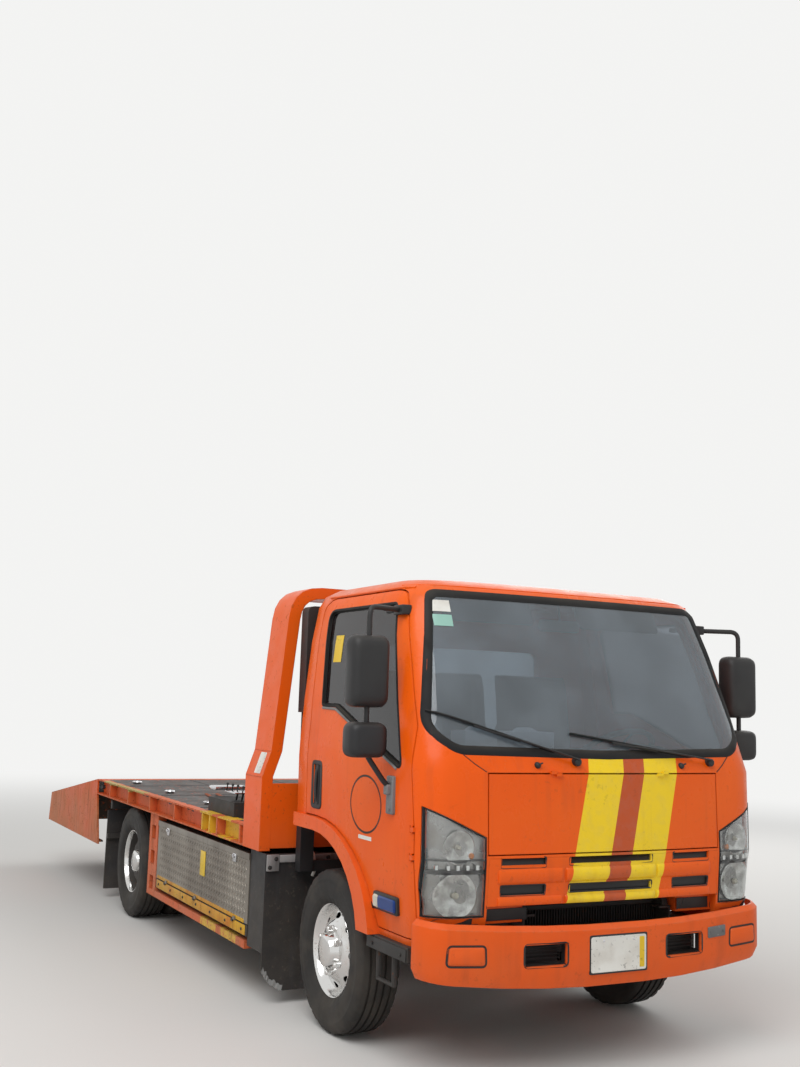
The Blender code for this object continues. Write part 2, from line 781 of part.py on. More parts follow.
def ladder_frame():
    """Two channel rails with their cross members, the cab brackets and the pivot ears."""
    web, open_edge, wall = RAIL_OUTER_X, RAIL_INNER_X, RAIL_WALL
    channel = ((web, RAIL_BOTTOM), (web, RAIL_TOP), (open_edge, RAIL_TOP), (open_edge, RAIL_TOP - wall),
               (web - wall, RAIL_TOP - wall), (web - wall, RAIL_BOTTOM + wall),
               (open_edge, RAIL_BOTTOM + wall), (open_edge, RAIL_BOTTOM))
    rail = prism("Y", channel, RAIL_FRONT_Y, RAIL_REAR_Y)
    low = RAIL_BOTTOM + wall * 2
    crosses = []
    for centre in cross_members():
        crosses.append(block((-web + wall / 2, web - wall / 2), (centre - CROSS_SIZE / 2,
                                                                 centre + CROSS_SIZE / 2),
                             (low, low + CROSS_HEIGHT)))
    brackets = []
    for shape in both(cab_bracket()):
        brackets.append(shape)
    for shape in both(pivot_ear()):
        brackets.append(shape)
    for shape in both(cylinder_ear()):
        brackets.append(shape)
    return fuse(rail, mirrored(rail), *crosses, *brackets)


def cross_members():
    """Middles of the cross members, front to rear."""
    gearbox_end = ENGINE_FRONT_Y + ENGINE_LENGTH + GEARBOX_LENGTH
    return (RAIL_FRONT_Y + CROSS_SIZE / 2, gearbox_end + CROSS_SIZE * 2,
            TILT_BASE_Y + CROSS_SIZE, TILT_BASE_Y + WHEELBASE / 4, RAIL_REAR_Y - CROSS_SIZE / 2)


def cab_bracket():
    """A plate on the rail with the pin that carries the cab's front."""
    inner = (RAIL_INNER_X + RAIL_OUTER_X) / 2
    plate = prism("X", ((CAB_PIVOT_Y - CAB_PIVOT_RADIUS * 2, RAIL_TOP - OVERLAP),
                        (CAB_PIVOT_Y + CAB_PIVOT_RADIUS * 2, RAIL_TOP - OVERLAP),
                        (CAB_PIVOT_Y + CAB_PIVOT_RADIUS, CAB_PIVOT_Z + CAB_PIVOT_RADIUS),
                        (CAB_PIVOT_Y - CAB_PIVOT_RADIUS, CAB_PIVOT_Z + CAB_PIVOT_RADIUS)),
                  inner, RAIL_OUTER_X)
    pin = rod((inner + OVERLAP, CAB_PIVOT_Y, CAB_PIVOT_Z),
              (FOOTWELL_INNER_X - SEAT_GAP * 2, CAB_PIVOT_Y, CAB_PIVOT_Z), CAB_PIVOT_RADIUS)
    return fuse(plate, pin)


def pivot_ear():
    """The plate outside a rail's rear end that carries the bed pivot shaft."""
    outline = [(RAIL_REAR_Y - EAR_RADIUS * 4, RAIL_BOTTOM + EAR_RADIUS / 2),
               (RAIL_REAR_Y - EAR_RADIUS * 4, RAIL_TOP)]
    outline += [(PIVOT_Y + EAR_RADIUS * sin(pi * step / 8), PIVOT_Z + EAR_RADIUS * cos(pi * step / 8))
                for step in range(9)]
    plate = prism("X", outline, RAIL_OUTER_X - OVERLAP, RAIL_OUTER_X + EAR_WALL)
    shaft = rod((0, PIVOT_Y, PIVOT_Z), (RAIL_OUTER_X + EAR_WALL * 2, PIVOT_Y, PIVOT_Z), PIVOT_RADIUS)
    return fuse(plate, shaft)


def cylinder_ear():
    """A lug under a cross member that carries the tilt cylinders' foot shaft."""
    centre = TILT_BASE_Y + CROSS_SIZE
    half = CROSS_SIZE / 2
    foot = TILT_PIN_RADIUS * 2
    top = RAIL_BOTTOM + RAIL_WALL * 3
    lug = prism("X", ((centre - half, top), (centre + half, top), (centre + half, RAIL_BOTTOM),
                      (TILT_BASE_Y + foot, TILT_BASE_Z - foot), (TILT_BASE_Y - foot, TILT_BASE_Z - foot),
                      (TILT_BASE_Y - foot, TILT_BASE_Z + foot)),
                TILT_CYLINDER_X + TILT_BARREL_RADIUS + EAR_WALL,
                TILT_CYLINDER_X + TILT_BARREL_RADIUS + EAR_WALL * 2)
    bore = prism("X", circle(TILT_PIN_RADIUS + ROD_GAP, 12, TILT_BASE_Y, TILT_BASE_Z), 0, RAIL_INNER_X)
    return cut(lug, bore)


def leaf_spring(centre_x, centre_y, seat_z, end_z, leaves):
    """A pack of curved leaves, longest on top, between two end eyes."""
    packs = []
    for leaf in range(leaves):
        half = SPRING_HALF_LENGTH * (1 - leaf / (leaves + 1))
        top = seat_z + SPRING_LEAF * (leaves - leaf)
        upper, lower = [], []
        for step in range(SPRING_STEPS + 1):
            share = 2 * step / SPRING_STEPS - 1
            along = half * share
            rise = (end_z - seat_z - SPRING_LEAF * leaves) * (along / SPRING_HALF_LENGTH) ** 2
            upper.append((centre_y + along, top + rise))
            lower.append((centre_y + along, top + rise - SPRING_LEAF - OVERLAP))
        packs.append(prism("X", upper + lower[::-1], centre_x - SPRING_WIDTH / 2,
                           centre_x + SPRING_WIDTH / 2))
    return fuse(packs[0], *packs[1:])


def front_axle():
    """Dropped beam with round kingpin bosses, and both front springs clamped on it."""
    boss_z = HUB_Z
    drop_z = HUB_Z - AXLE_DROP
    half = AXLE_BEAM / 2
    bend_in, bend_out = SPRING_X + SPRING_WIDTH, KINGPIN_X - AXLE_BEAM
    outline = [(-bend_in, drop_z - half), (bend_in, drop_z - half), (bend_out, boss_z - half),
               (KINGPIN_X, boss_z - half), (KINGPIN_X, boss_z + half), (bend_out, boss_z + half),
               (bend_in, drop_z + half), (-bend_in, drop_z + half), (-bend_out, boss_z + half),
               (-KINGPIN_X, boss_z + half), (-KINGPIN_X, boss_z - half), (-bend_out, boss_z - half)]
    beam = prism("Y", outline, -half * 2 / 3, half * 2 / 3)
    bosses, bores = [], []
    boss_half = KNUCKLE_HEIGHT / 2 - KNUCKLE_HEIGHT / 6 - SEAT_GAP
    for side in (RIGHT, LEFT):
        bosses.append(rod((side * KINGPIN_X, 0, boss_z - boss_half), (side * KINGPIN_X, 0,
                                                                      boss_z + boss_half), half))
        bores.append(rod((side * KINGPIN_X, 0, 0), (side * KINGPIN_X, 0, HUB_Z * 2),
                         KINGPIN_RADIUS + ROD_GAP))
    seat_z = drop_z + half - OVERLAP
    spring = leaf_spring(SPRING_X, 0, seat_z, RAIL_BOTTOM - HANGER_SIZE / 2, 2)
    clamp = block((SPRING_X - SPRING_WIDTH * 3 / 5, SPRING_X + SPRING_WIDTH * 3 / 5), (-half, half),
                  (drop_z - half - SPRING_LEAF, seat_z + SPRING_LEAF * 4))
    hangers = []
    for end in (-SPRING_HALF_LENGTH, SPRING_HALF_LENGTH):
        hangers.append(block((SPRING_X - SPRING_WIDTH * 3 / 5, SPRING_X + SPRING_WIDTH * 3 / 5),
                             (end - HANGER_SIZE / 2, end + HANGER_SIZE / 2),
                             (RAIL_BOTTOM - HANGER_SIZE, RAIL_BOTTOM - SEAT_GAP)))
    half_set = fuse(spring, clamp, *hangers)
    beam = fuse(beam, *bosses, half_set, mirrored(half_set))
    return cut(beam, *bores)


def rear_axle():
    """Axle tube with its round final drive, spindles and both rear springs."""
    tube_end = REAR_HALF_TRACK - TWIN_SPACING / 2 - RIM_HALF_WIDTH - HANGER_SIZE / 2
    tube = rod((-tube_end, 0, HUB_Z), (tube_end, 0, HUB_Z), AXLE_TUBE_RADIUS, 16)
    spindle_end = REAR_HALF_TRACK - DISC_WALL - SEAT_GAP
    spindle = rod((-spindle_end, 0, HUB_Z), (spindle_end, 0, HUB_Z), SPINDLE_RADIUS)
    bulge = DIFF_RADIUS / 2
    drive = turned([(-bulge, 0), (-bulge, bulge), (-bulge / 2, DIFF_RADIUS), (bulge / 2, DIFF_RADIUS),
                    (bulge, bulge), (bulge, 0)], DIFF_STEPS, (0, 0, HUB_Z))
    seat_z = HUB_Z + AXLE_TUBE_RADIUS - OVERLAP
    end_z = RAIL_BOTTOM + HANGER_SIZE
    spring = leaf_spring(REAR_SPRING_X, 0, seat_z, end_z, 2)
    half = SPRING_WIDTH * 3 / 5
    clamp = block((REAR_SPRING_X - half, REAR_SPRING_X + half), (-half, half),
                  (HUB_Z - AXLE_TUBE_RADIUS - SPRING_LEAF, seat_z + SPRING_LEAF * 5))
    hangers = []
    for end in (-SPRING_HALF_LENGTH, SPRING_HALF_LENGTH):
        hangers.append(block((RAIL_OUTER_X + SEAT_GAP, REAR_SPRING_X + SPRING_WIDTH * 3 / 5),
                             (end - HANGER_SIZE / 2, end + HANGER_SIZE / 2),
                             (end_z - HANGER_SIZE, end_z + SPRING_LEAF * 2)))
    half_set = fuse(spring, clamp, *hangers)
    return shift(fuse(tube, spindle, drive, half_set, mirrored(half_set)), WHEELBASE)


def engine():
    """Plain engine block on its side mounts, with the fan and the radiator in front."""
    back = ENGINE_FRONT_Y + ENGINE_LENGTH
    casting = block((-ENGINE_HALF_WIDTH, ENGINE_HALF_WIDTH), (ENGINE_FRONT_Y, back),
                    (ENGINE_BOTTOM, ENGINE_TOP))
    middle_z = (RAIL_BOTTOM + RAIL_TOP) / 2
    reach = RAIL_OUTER_X - RAIL_WALL - SEAT_GAP
    mount = block((-reach, reach),
                  (ENGINE_FRONT_Y + CROSS_SIZE * 2, ENGINE_FRONT_Y + CROSS_SIZE * 3),
                  (middle_z - CROSS_SIZE / 2, middle_z + CROSS_SIZE / 2))
    core = block((-RADIATOR_HALF_WIDTH, RADIATOR_HALF_WIDTH),
                 (RADIATOR_Y - RADIATOR_DEPTH / 2, RADIATOR_Y + RADIATOR_DEPTH / 2), (RADIATOR_BOTTOM,
                                                                                      RADIATOR_TOP))
    fan_z = (RADIATOR_BOTTOM + RADIATOR_TOP) / 2
    fan = rod((0, RADIATOR_Y, fan_z), (0, ENGINE_FRONT_Y + OVERLAP, fan_z), FAN_RADIUS)
    return fuse(casting, mount, core, fan)


def driveline():
    """Gearbox behind the engine and the shaft to the rear axle."""
    start = ENGINE_FRONT_Y + ENGINE_LENGTH + SEAT_GAP
    end = start + GEARBOX_LENGTH
    axis_z = SHAFT_Z + GEARBOX_RADIUS / 2
    housing = rod((0, start, axis_z), (0, end, axis_z), GEARBOX_RADIUS, 12)
    face = WHEELBASE - DIFF_RADIUS * cos(pi / DIFF_STEPS) - SEAT_GAP
    shaft = rod((0, end - OVERLAP, SHAFT_Z), (0, face - SHAFT_RADIUS / 2, HUB_Z), SHAFT_RADIUS, 10)
    flange = rod((0, face - SHAFT_RADIUS, HUB_Z), (0, face, HUB_Z), SHAFT_RADIUS * 4 / 3, 12)
    return fuse(housing, shaft, flange)


def bumper():
    """Wrapped bumper of channel section with its two slots and the stays to the rails."""
    corner_x = BUMPER_HALF_WIDTH - BUMPER_CORNER
    side_y = BUMPER_FRONT_Y + BUMPER_BOW + BUMPER_CORNER
    plan = []
    for step in range(4):
        bow = step / 3
        share = BUMPER_FLAT_SHARE + (1 - BUMPER_FLAT_SHARE) * bow
        plan.append((corner_x * share, BUMPER_FRONT_Y + BUMPER_BOW * bow ** 2, bow * BUMPER_BOW, -1))
    for step in range(1, 6):
        turn = pi / 2 * step / 5
        plan.append((corner_x + BUMPER_CORNER * sin(turn), side_y - BUMPER_CORNER * cos(turn), sin(turn),
                     -cos(turn)))
    plan.append((BUMPER_HALF_WIDTH, BUMPER_REAR_Y, 1, 0))
    plan = [(-x, y, -nx, ny) for x, y, nx, ny in reversed(plan)] + plan
    rings = []
    for x, y, nx, ny in plan:
        rise = (abs(x) / BUMPER_HALF_WIDTH) ** 2
        bottom = BUMPER_BOTTOM + BUMPER_END_RISE * rise
        crease = BUMPER_CREASE + BUMPER_END_RISE * rise / 2
        top = BUMPER_TOP + BUMPER_TOP_RISE * rise
        wall, bend, lip = BUMPER_WALL, BUMPER_CHAMFER, BUMPER_LIP
        # Columns: distance in from the outer face, height
        section = ((bend, bottom), (0, crease), (0, top - bend), (bend, top), (lip, top),
                   (lip, top - wall / 2), (bend + wall / 2, top - wall / 2), (wall, top - bend - wall / 2),
                   (wall, crease), (bend + wall, bottom + wall / 2), (lip + wall, bottom + wall / 2),
                   (lip + wall, bottom))
        rings.append([(x - nx * inward, y - ny * inward, up) for inward, up in section])
    bar = loft(rings)
    slots = []
    for side in (RIGHT, LEFT):
        centre = side * INTAKE_SLOT_X
        slots.append(block((centre - INTAKE_SLOT_WIDTH / 2, centre + INTAKE_SLOT_WIDTH / 2),
                           (BUMPER_FRONT_Y - REACH, BUMPER_FRONT_Y + BUMPER_BOW + BUMPER_WALL * 2),
                           (INTAKE_SLOT_Z - INTAKE_SLOT_HEIGHT / 2, INTAKE_SLOT_Z + INTAKE_SLOT_HEIGHT / 2)))
    cut(bar, *slots)
    stay = block((RAIL_INNER_X, RAIL_OUTER_X), (BUMPER_FRONT_Y + BUMPER_WALL, RAIL_FRONT_Y - SEAT_GAP),
                 (BUMPER_TOP - BUMPER_CHAMFER - BUMPER_STAY * 3 / 5, BUMPER_TOP - BUMPER_CHAMFER))
    return fuse(bar, *both(stay))


def build_chassis(truck):
    piece("ladder_frame", ladder_frame(), "black_steel", truck)
    piece("front_axle", front_axle(), "cast_iron", truck)
    piece("rear_axle", rear_axle(), "cast_iron", truck)
    piece("engine", engine(), "engine_metal", truck)
    piece("driveline", driveline(), "engine_metal", truck)
    piece("bumper", bumper(), "orange_paint", truck)
    piece("air_intake", air_intake(), "black_plastic", truck)
    piece("exhaust", exhaust(), "tank_steel", truck)
    piece("fuel_tank", fuel_tank(), "tank_steel", truck)
    piece("rear_mudflaps", rear_mudflaps(), "black_plastic", truck)
    for name, side in SIDES.items():
        front = BOX_FRONT_Y if side == RIGHT else TANK_FRONT_Y + TANK_LENGTH + TANK_EDGE
        piece(f"side_box_{name}", sided(side, side_box(front)), "tread_plate", truck)
        hinge = (side * BOX_HINGE_X, front, BOX_BOTTOM + STRIPE_HEIGHT + MOVING_GAP / 2)
        piece(f"box_lid_{name}", sided(side, box_lid(front)), "tread_plate", truck, hinge)
        piece(f"side_frame_{name}", sided(side, side_frame()), "bed_paint", truck)
        piece(f"front_guard_{name}", sided(side, front_guard()), "black_plastic", truck)


# Side boxes, tank, guards, flaps, exhaust and air intake

def side_box(front):
    """An open box with its lower rail and the arms to the chassis rail."""
    inner_face = BOX_OUTER_X - LID_WALL - MOVING_GAP
    body = block((BOX_INNER_X, inner_face), (front, BOX_REAR_Y), (BOX_BOTTOM, BOX_TOP))
    hollow = block((BOX_INNER_X + BOX_WALL, BOX_OUTER_X), (front + BOX_WALL, BOX_REAR_Y - BOX_WALL),
                   (BOX_BOTTOM + BOX_WALL, BOX_TOP - BOX_WALL))
    lower = block((inner_face - BOX_WALL, BOX_OUTER_X), (front, BOX_REAR_Y),
                  (BOX_BOTTOM, BOX_BOTTOM + STRIPE_HEIGHT))
    arms = []
    for share in (1 / 6, 5 / 6):
        centre = front + (BOX_REAR_Y - front) * share
        arms.append(block((RAIL_OUTER_X + SEAT_GAP, BOX_INNER_X + BOX_WALL / 2),
                          (centre - BOX_ARM / 2, centre + BOX_ARM / 2),
                          (RAIL_BOTTOM + BOX_ARM, RAIL_BOTTOM + BOX_ARM * 2)))
    edge = BOX_BOTTOM + STRIPE_HEIGHT
    lugs = box_knuckles(front, 1, edge - KNUCKLE_REACH, edge + MOVING_GAP - SEAT_GAP * 2)
    return fuse(cut(body, hollow), lower, *arms, *lugs)


def box_knuckles(front, first, low, high):
    """Hinge lugs in front of a side box's lower outer edge, between two heights."""
    lugs = []
    for share in BOX_KNUCKLE_SHARES:
        start = front + (BOX_REAR_Y - front) * share + KNUCKLE_LENGTH * first
        lugs.append(block((BOX_OUTER_X - OVERLAP, BOX_HINGE_X + KNUCKLE_RADIUS),
                          (start + SEAT_GAP, start + KNUCKLE_LENGTH), (low, high)))
    return lugs


def box_lid(front):
    """The drop-down front of a side box, turning on its lower outer edge."""
    low = BOX_BOTTOM + STRIPE_HEIGHT + MOVING_GAP
    panel = block((BOX_OUTER_X - LID_WALL, BOX_OUTER_X), (front, BOX_REAR_Y), (low, BOX_TOP))
    lip = block((BOX_OUTER_X - LID_WALL / 2, BOX_OUTER_X + LID_WALL / 4), (front, BOX_REAR_Y),
                (BOX_TOP - LID_TOP_LIP, BOX_TOP + LID_WALL / 4))
    lugs = box_knuckles(front, 0, low - MOVING_GAP + SEAT_GAP * 2, low + KNUCKLE_REACH)
    return fuse(panel, lip, *lugs)


def side_frame():
    """Upright with square holes behind the box, its arm, and the guard rail below the box."""
    rear = UPRIGHT_FRONT_Y + UPRIGHT_LENGTH
    top = SIDE_RAIL_BOTTOM - MOVING_GAP
    inner = BOX_OUTER_X - UPRIGHT_DEPTH
    upright = block((inner, BOX_OUTER_X), (UPRIGHT_FRONT_Y, rear), (GUARD_BOTTOM, top))
    middle = UPRIGHT_FRONT_Y + UPRIGHT_LENGTH / 2
    holes = []
    for share in UPRIGHT_HEIGHT_SHARES:
        centre = GUARD_BOTTOM + (top - GUARD_BOTTOM) * share
        holes.append(block((inner - REACH, BOX_OUTER_X + REACH), (middle - UPRIGHT_HOLE / 2,
                                                                  middle + UPRIGHT_HOLE / 2),
                           (centre - UPRIGHT_HOLE / 2, centre + UPRIGHT_HOLE / 2)))
    cut(upright, *holes)
    guard = block((inner, BOX_OUTER_X), (GUARD_FRONT_Y, UPRIGHT_FRONT_Y + OVERLAP),
                  (GUARD_BOTTOM, GUARD_BOTTOM + GUARD_HEIGHT))
    arm = block((RAIL_OUTER_X + SEAT_GAP, inner + OVERLAP), (UPRIGHT_FRONT_Y, UPRIGHT_FRONT_Y + BOX_ARM / 2),
                (RAIL_BOTTOM + BOX_ARM, RAIL_BOTTOM + BOX_ARM * 2))
    return fuse(upright, guard, arm)


def front_guard():
    """Big plate behind a front wheel, torn at its lower outer corner, with its side return."""
    outline = ((FLAP_INNER_X, FLAP_BOTTOM), (FLAP_OUTER_X - FLAP_TEAR, FLAP_BOTTOM),
               (FLAP_OUTER_X - FLAP_TEAR / 3, FLAP_BOTTOM + FLAP_TEAR / 2), (FLAP_OUTER_X,
                                                                             FLAP_BOTTOM + FLAP_TEAR),
               (FLAP_OUTER_X, FLAP_TOP), (FLAP_INNER_X, FLAP_TOP))
    plate = prism("Y", outline, FLAP_Y, FLAP_Y + FLAP_WALL)
    side = block((FLAP_OUTER_X - FLAP_WALL, FLAP_OUTER_X), (FLAP_Y + OVERLAP, BOX_FRONT_Y - SEAT_GAP),
                 (FLAP_BOTTOM + FLAP_RETURN, FLAP_TOP))
    arm = block((RAIL_OUTER_X + SEAT_GAP, FLAP_INNER_X + OVERLAP), (FLAP_Y, FLAP_Y + FLAP_WALL),
                (RAIL_BOTTOM + BOX_ARM, RAIL_BOTTOM + BOX_ARM * 2))
    return fuse(plate, side, arm)


def rear_mudflaps():
    """Two flaps behind the rear wheels on one bar under the rails."""
    bar = block((-REAR_FLAP_OUTER_X, REAR_FLAP_OUTER_X), (REAR_FLAP_Y - REAR_FLAP_BAR, REAR_FLAP_Y + OVERLAP),
                (RAIL_BOTTOM - REAR_FLAP_BAR, RAIL_BOTTOM - SEAT_GAP))
    flap = block((REAR_FLAP_INNER_X, REAR_FLAP_OUTER_X), (REAR_FLAP_Y, REAR_FLAP_Y + FLAP_WALL),
                 (REAR_FLAP_BOTTOM, REAR_FLAP_TOP))
    return fuse(bar, *both(flap))


def fuel_tank():
    """Rounded tank on the left side, with its filler neck and arms."""
    top = BOX_BOTTOM + TANK_HEIGHT
    outer = BOX_INNER_X + TANK_WIDTH - LID_WALL
    outline = rounded([(BOX_INNER_X, BOX_BOTTOM, TANK_EDGE), (outer, BOX_BOTTOM, TANK_EDGE),
                       (outer, top, TANK_EDGE), (BOX_INNER_X, top, TANK_EDGE)], 3)
    tank = prism("Y", outline, TANK_FRONT_Y, TANK_FRONT_Y + TANK_LENGTH)
    neck = rod((outer - TANK_EDGE * 3 / 2, TANK_FRONT_Y + TANK_LENGTH / 2, top - OVERLAP),
               (outer - TANK_EDGE / 2, TANK_FRONT_Y + TANK_LENGTH / 2, top + TANK_EDGE / 2), TANK_EDGE / 2)
    arms = []
    for share in (1 / 4, 3 / 4):
        centre = TANK_FRONT_Y + TANK_LENGTH * share
        arms.append(block((RAIL_OUTER_X + SEAT_GAP, BOX_INNER_X + TANK_EDGE),
                          (centre - BOX_ARM / 2, centre + BOX_ARM / 2),
                          (RAIL_BOTTOM + BOX_ARM, RAIL_BOTTOM + BOX_ARM * 2)))
    return fuse(tank, neck, *arms)


def exhaust():
    """Silencer along the right rail with its pipes and hanger."""
    end = EXHAUST_Y + EXHAUST_LENGTH
    silencer = rod((EXHAUST_X, EXHAUST_Y, EXHAUST_Z), (EXHAUST_X, end, EXHAUST_Z), EXHAUST_RADIUS, 14)
    pipe = rod((EXHAUST_X, EXHAUST_Y - EXHAUST_LENGTH / 2, EXHAUST_Z), (EXHAUST_X, end + EXHAUST_LENGTH,
                                                                        EXHAUST_Z),
               EXHAUST_PIPE, 10)
    middle = EXHAUST_Y + EXHAUST_LENGTH / 2
    hanger = block((EXHAUST_X, -RAIL_OUTER_X - SEAT_GAP), (middle - BOX_ARM / 2, middle + BOX_ARM / 2),
                   (EXHAUST_Z + EXHAUST_RADIUS / 2, RAIL_BOTTOM + BOX_ARM))
    return fuse(silencer, pipe, hanger)


def air_intake():
    """Upright intake behind the cab: wide head, narrower duct, and the arm to the rail."""
    lower_width = INTAKE_WIDTH * INTAKE_LOWER_SHARE
    half_depth = INTAKE_DEPTH / 2
    outline = rounded([(INTAKE_X - INTAKE_WIDTH / 2, INTAKE_STEP, 0), (INTAKE_X + INTAKE_WIDTH / 2,
                                                                       INTAKE_STEP, 0),
                       (INTAKE_X + INTAKE_WIDTH / 2, INTAKE_TOP, INTAKE_WIDTH / 3),
                       (INTAKE_X - INTAKE_WIDTH / 2, INTAKE_TOP, INTAKE_WIDTH / 3)], 3)
    head = prism("Y", outline, INTAKE_Y - half_depth, INTAKE_Y + half_depth)
    duct = block((INTAKE_X - lower_width / 2, INTAKE_X + lower_width / 2),
                 (INTAKE_Y - half_depth * INTAKE_LOWER_SHARE, INTAKE_Y + half_depth * INTAKE_LOWER_SHARE),
                 (RAIL_TOP + SEAT_GAP + OVERLAP, INTAKE_STEP + OVERLAP))
    arm = block((INTAKE_X - lower_width / 2, -RAIL_INNER_X),
                (INTAKE_Y - half_depth / 2, INTAKE_Y + half_depth / 2), (RAIL_TOP + SEAT_GAP, INTAKE_BOTTOM))
    return fuse(head, duct, arm)


# Tilt frame, cylinders, deck, tail and headboard

def tilt_frame():
    """The frame that carries the sliding deck and turns on the rear pivot shaft."""
    half = TILT_RAIL_WIDTH / 2
    rear = PIVOT_Y + EAR_RADIUS
    rail = block((DECK_BEAM_X - half, DECK_BEAM_X + half), (TILT_FRONT_Y, rear), (TILT_BOTTOM, TILT_TOP))
    ear = prism("X", circle(EAR_RADIUS, 16, PIVOT_Y, PIVOT_Z), DECK_BEAM_X - half, DECK_BEAM_X + half)
    crosses = []
    for share in (0, 1 / 4, 1 / 2, 3 / 4, 23 / 24):
        start = TILT_FRONT_Y + (rear - TILT_FRONT_Y) * share
        crosses.append(block((-DECK_BEAM_X, DECK_BEAM_X), (start, start + TILT_CROSS),
                             (TILT_BOTTOM + SEAT_GAP, TILT_BOTTOM + TILT_CROSS_HEIGHT)))
    anchor = block((-TILT_CROSS, TILT_CROSS), (TILT_FRONT_Y, TILT_FRONT_Y + TILT_CROSS - OVERLAP),
                   (TILT_BOTTOM + TILT_CROSS_HEIGHT - OVERLAP, SLIDE_CYLINDER_Z + SLIDE_BARREL_RADIUS))
    frame = fuse(rail, ear)
    frame = fuse(frame, mirrored(frame), *crosses, anchor)
    return cut(frame, prism("X", circle(PIVOT_BORE, 12, PIVOT_Y, PIVOT_Z), -RAIL_OUTER_X, RAIL_OUTER_X))


def barrel(radius, bore, length):
    """A cylinder barrel along +X, closed at its foot and open at its head."""
    floor = radius
    return turned([(0, 0), (0, radius), (length, radius), (length, bore), (floor, bore), (floor, 0)], 12)


def tilt_ends():
    """The foot and the rod eye of a tilt cylinder."""
    return (Vector((TILT_CYLINDER_X, TILT_BASE_Y, TILT_BASE_Z)), Vector((TILT_CYLINDER_X, TILT_EYE_Y,
                                                                         TILT_EYE_Z)))


def tilt_barrels():
    """Both tilt barrels on their common foot shaft."""
    foot, eye = tilt_ends()
    tube = barrel(TILT_BARREL_RADIUS, TILT_ROD_RADIUS + ROD_GAP, TILT_BARREL_LENGTH)
    tube = aimed(tube, foot, eye)
    reach = TILT_CYLINDER_X + TILT_BARREL_RADIUS + EAR_WALL * 3
    shaft = rod((-reach, TILT_BASE_Y, TILT_BASE_Z), (reach, TILT_BASE_Y, TILT_BASE_Z), TILT_PIN_RADIUS)
    return fuse(tube, mirrored(tube), shaft)


def tilt_rods():
    """Both tilt rods on the cross pin at their eyes."""
    foot, eye = tilt_ends()
    along = (eye - foot).normalized()
    start = foot + along * (TILT_BARREL_RADIUS * 2)
    bar = rod(start, eye, TILT_ROD_RADIUS, 12)
    reach = TILT_CYLINDER_X + TILT_BARREL_RADIUS
    pin = rod((-reach, eye.y, eye.z), (reach, eye.y, eye.z), TILT_PIN_RADIUS)
    return fuse(bar, mirrored(bar), pin)


def slide_start():
    return TILT_FRONT_Y + TILT_CROSS - OVERLAP + SEAT_GAP


def slide_cylinder():
    """The long barrel that moves the deck, lying in the middle of the tilt frame."""
    start = slide_start()
    tube = barrel(SLIDE_BARREL_RADIUS, SLIDE_ROD_RADIUS + ROD_GAP, SLIDE_BARREL_LENGTH)
    return aimed(tube, (0, start, SLIDE_CYLINDER_Z), (0, start + SLIDE_BARREL_LENGTH, SLIDE_CYLINDER_Z))


def slide_rod_end():
    return slide_start() + SLIDE_BARREL_LENGTH + SLIDE_BARREL_RADIUS * 3


def slide_rod():
    """The rod that pushes on the deck's lug."""
    start = slide_start() + SLIDE_BARREL_RADIUS * 2
    return rod((0, start, SLIDE_CYLINDER_Z), (0, slide_rod_end() - SEAT_GAP, SLIDE_CYLINDER_Z),
               SLIDE_ROD_RADIUS, 12)


def deck():
    """Floor plate on cross bearers and two long beams, between outward channel side rails."""
    front, rear = HOOP_FRONT_Y + BULKHEAD_WALL + SEAT_GAP, KNEE_Y - SEAT_GAP
    inner = DECK_HALF_WIDTH - HOOP_BAND - SEAT_GAP
    under = DECK_TOP - DECK_PLATE
    plate = block((-inner, inner), (front, rear), (under, DECK_TOP))
    half_beam = DECK_BEAM_WIDTH / 2
    beam = block((DECK_BEAM_X - half_beam, DECK_BEAM_X + half_beam), (TILT_FRONT_Y, rear),
                 (TILT_TOP + SLIDE_GAP, under + OVERLAP))
    rail_front = HOOP_FRONT_Y + HOOP_DEPTH + SEAT_GAP
    web = DECK_HALF_WIDTH - SIDE_RAIL_FLANGE
    wall = SIDE_RAIL_WALL
    reach = web - wall / 2
    wide_plate = block((-reach, reach), (rail_front, rear - OVERLAP), (under + OVERLAP,
                                                                       DECK_TOP - OVERLAP / 2))
    bearers = []
    for share in CROSS_BEARER_SHARES:
        start = TILT_FRONT_Y + (rear - TILT_FRONT_Y) * share
        bearers.append(block((-reach, reach), (start, start + CROSS_BEARER_WIDTH),
                             (under - CROSS_BEARER_HEIGHT, under + OVERLAP * 2)))
    channel = ((web - wall, SIDE_RAIL_BOTTOM), (DECK_HALF_WIDTH, SIDE_RAIL_BOTTOM),
               (DECK_HALF_WIDTH, SIDE_RAIL_BOTTOM + wall), (web, SIDE_RAIL_BOTTOM + wall),
               (web, DECK_TOP - wall), (DECK_HALF_WIDTH, DECK_TOP - wall), (DECK_HALF_WIDTH, DECK_TOP),
               (web - wall, DECK_TOP))
    rail = prism("Y", channel, rail_front, rear)
    ribs = []
    for share in RIB_SHARES:
        start = rail_front + (rear - rail_front) * share
        ribs.append(block((web - OVERLAP, DECK_HALF_WIDTH - OVERLAP), (start, start + RIB_WIDTH),
                          (SIDE_RAIL_BOTTOM + OVERLAP, DECK_TOP - OVERLAP)))
    rail = fuse(rail, *ribs)
    lug_y = slide_rod_end()
    lug = block((-SLIDE_BARREL_RADIUS, SLIDE_BARREL_RADIUS), (lug_y, lug_y + CROSS_BEARER_WIDTH),
                (SLIDE_CYLINDER_Z - SLIDE_ROD_RADIUS, under + OVERLAP))
    return fuse(plate, wide_plate, *both(beam), *bearers, *both(rail), lug)


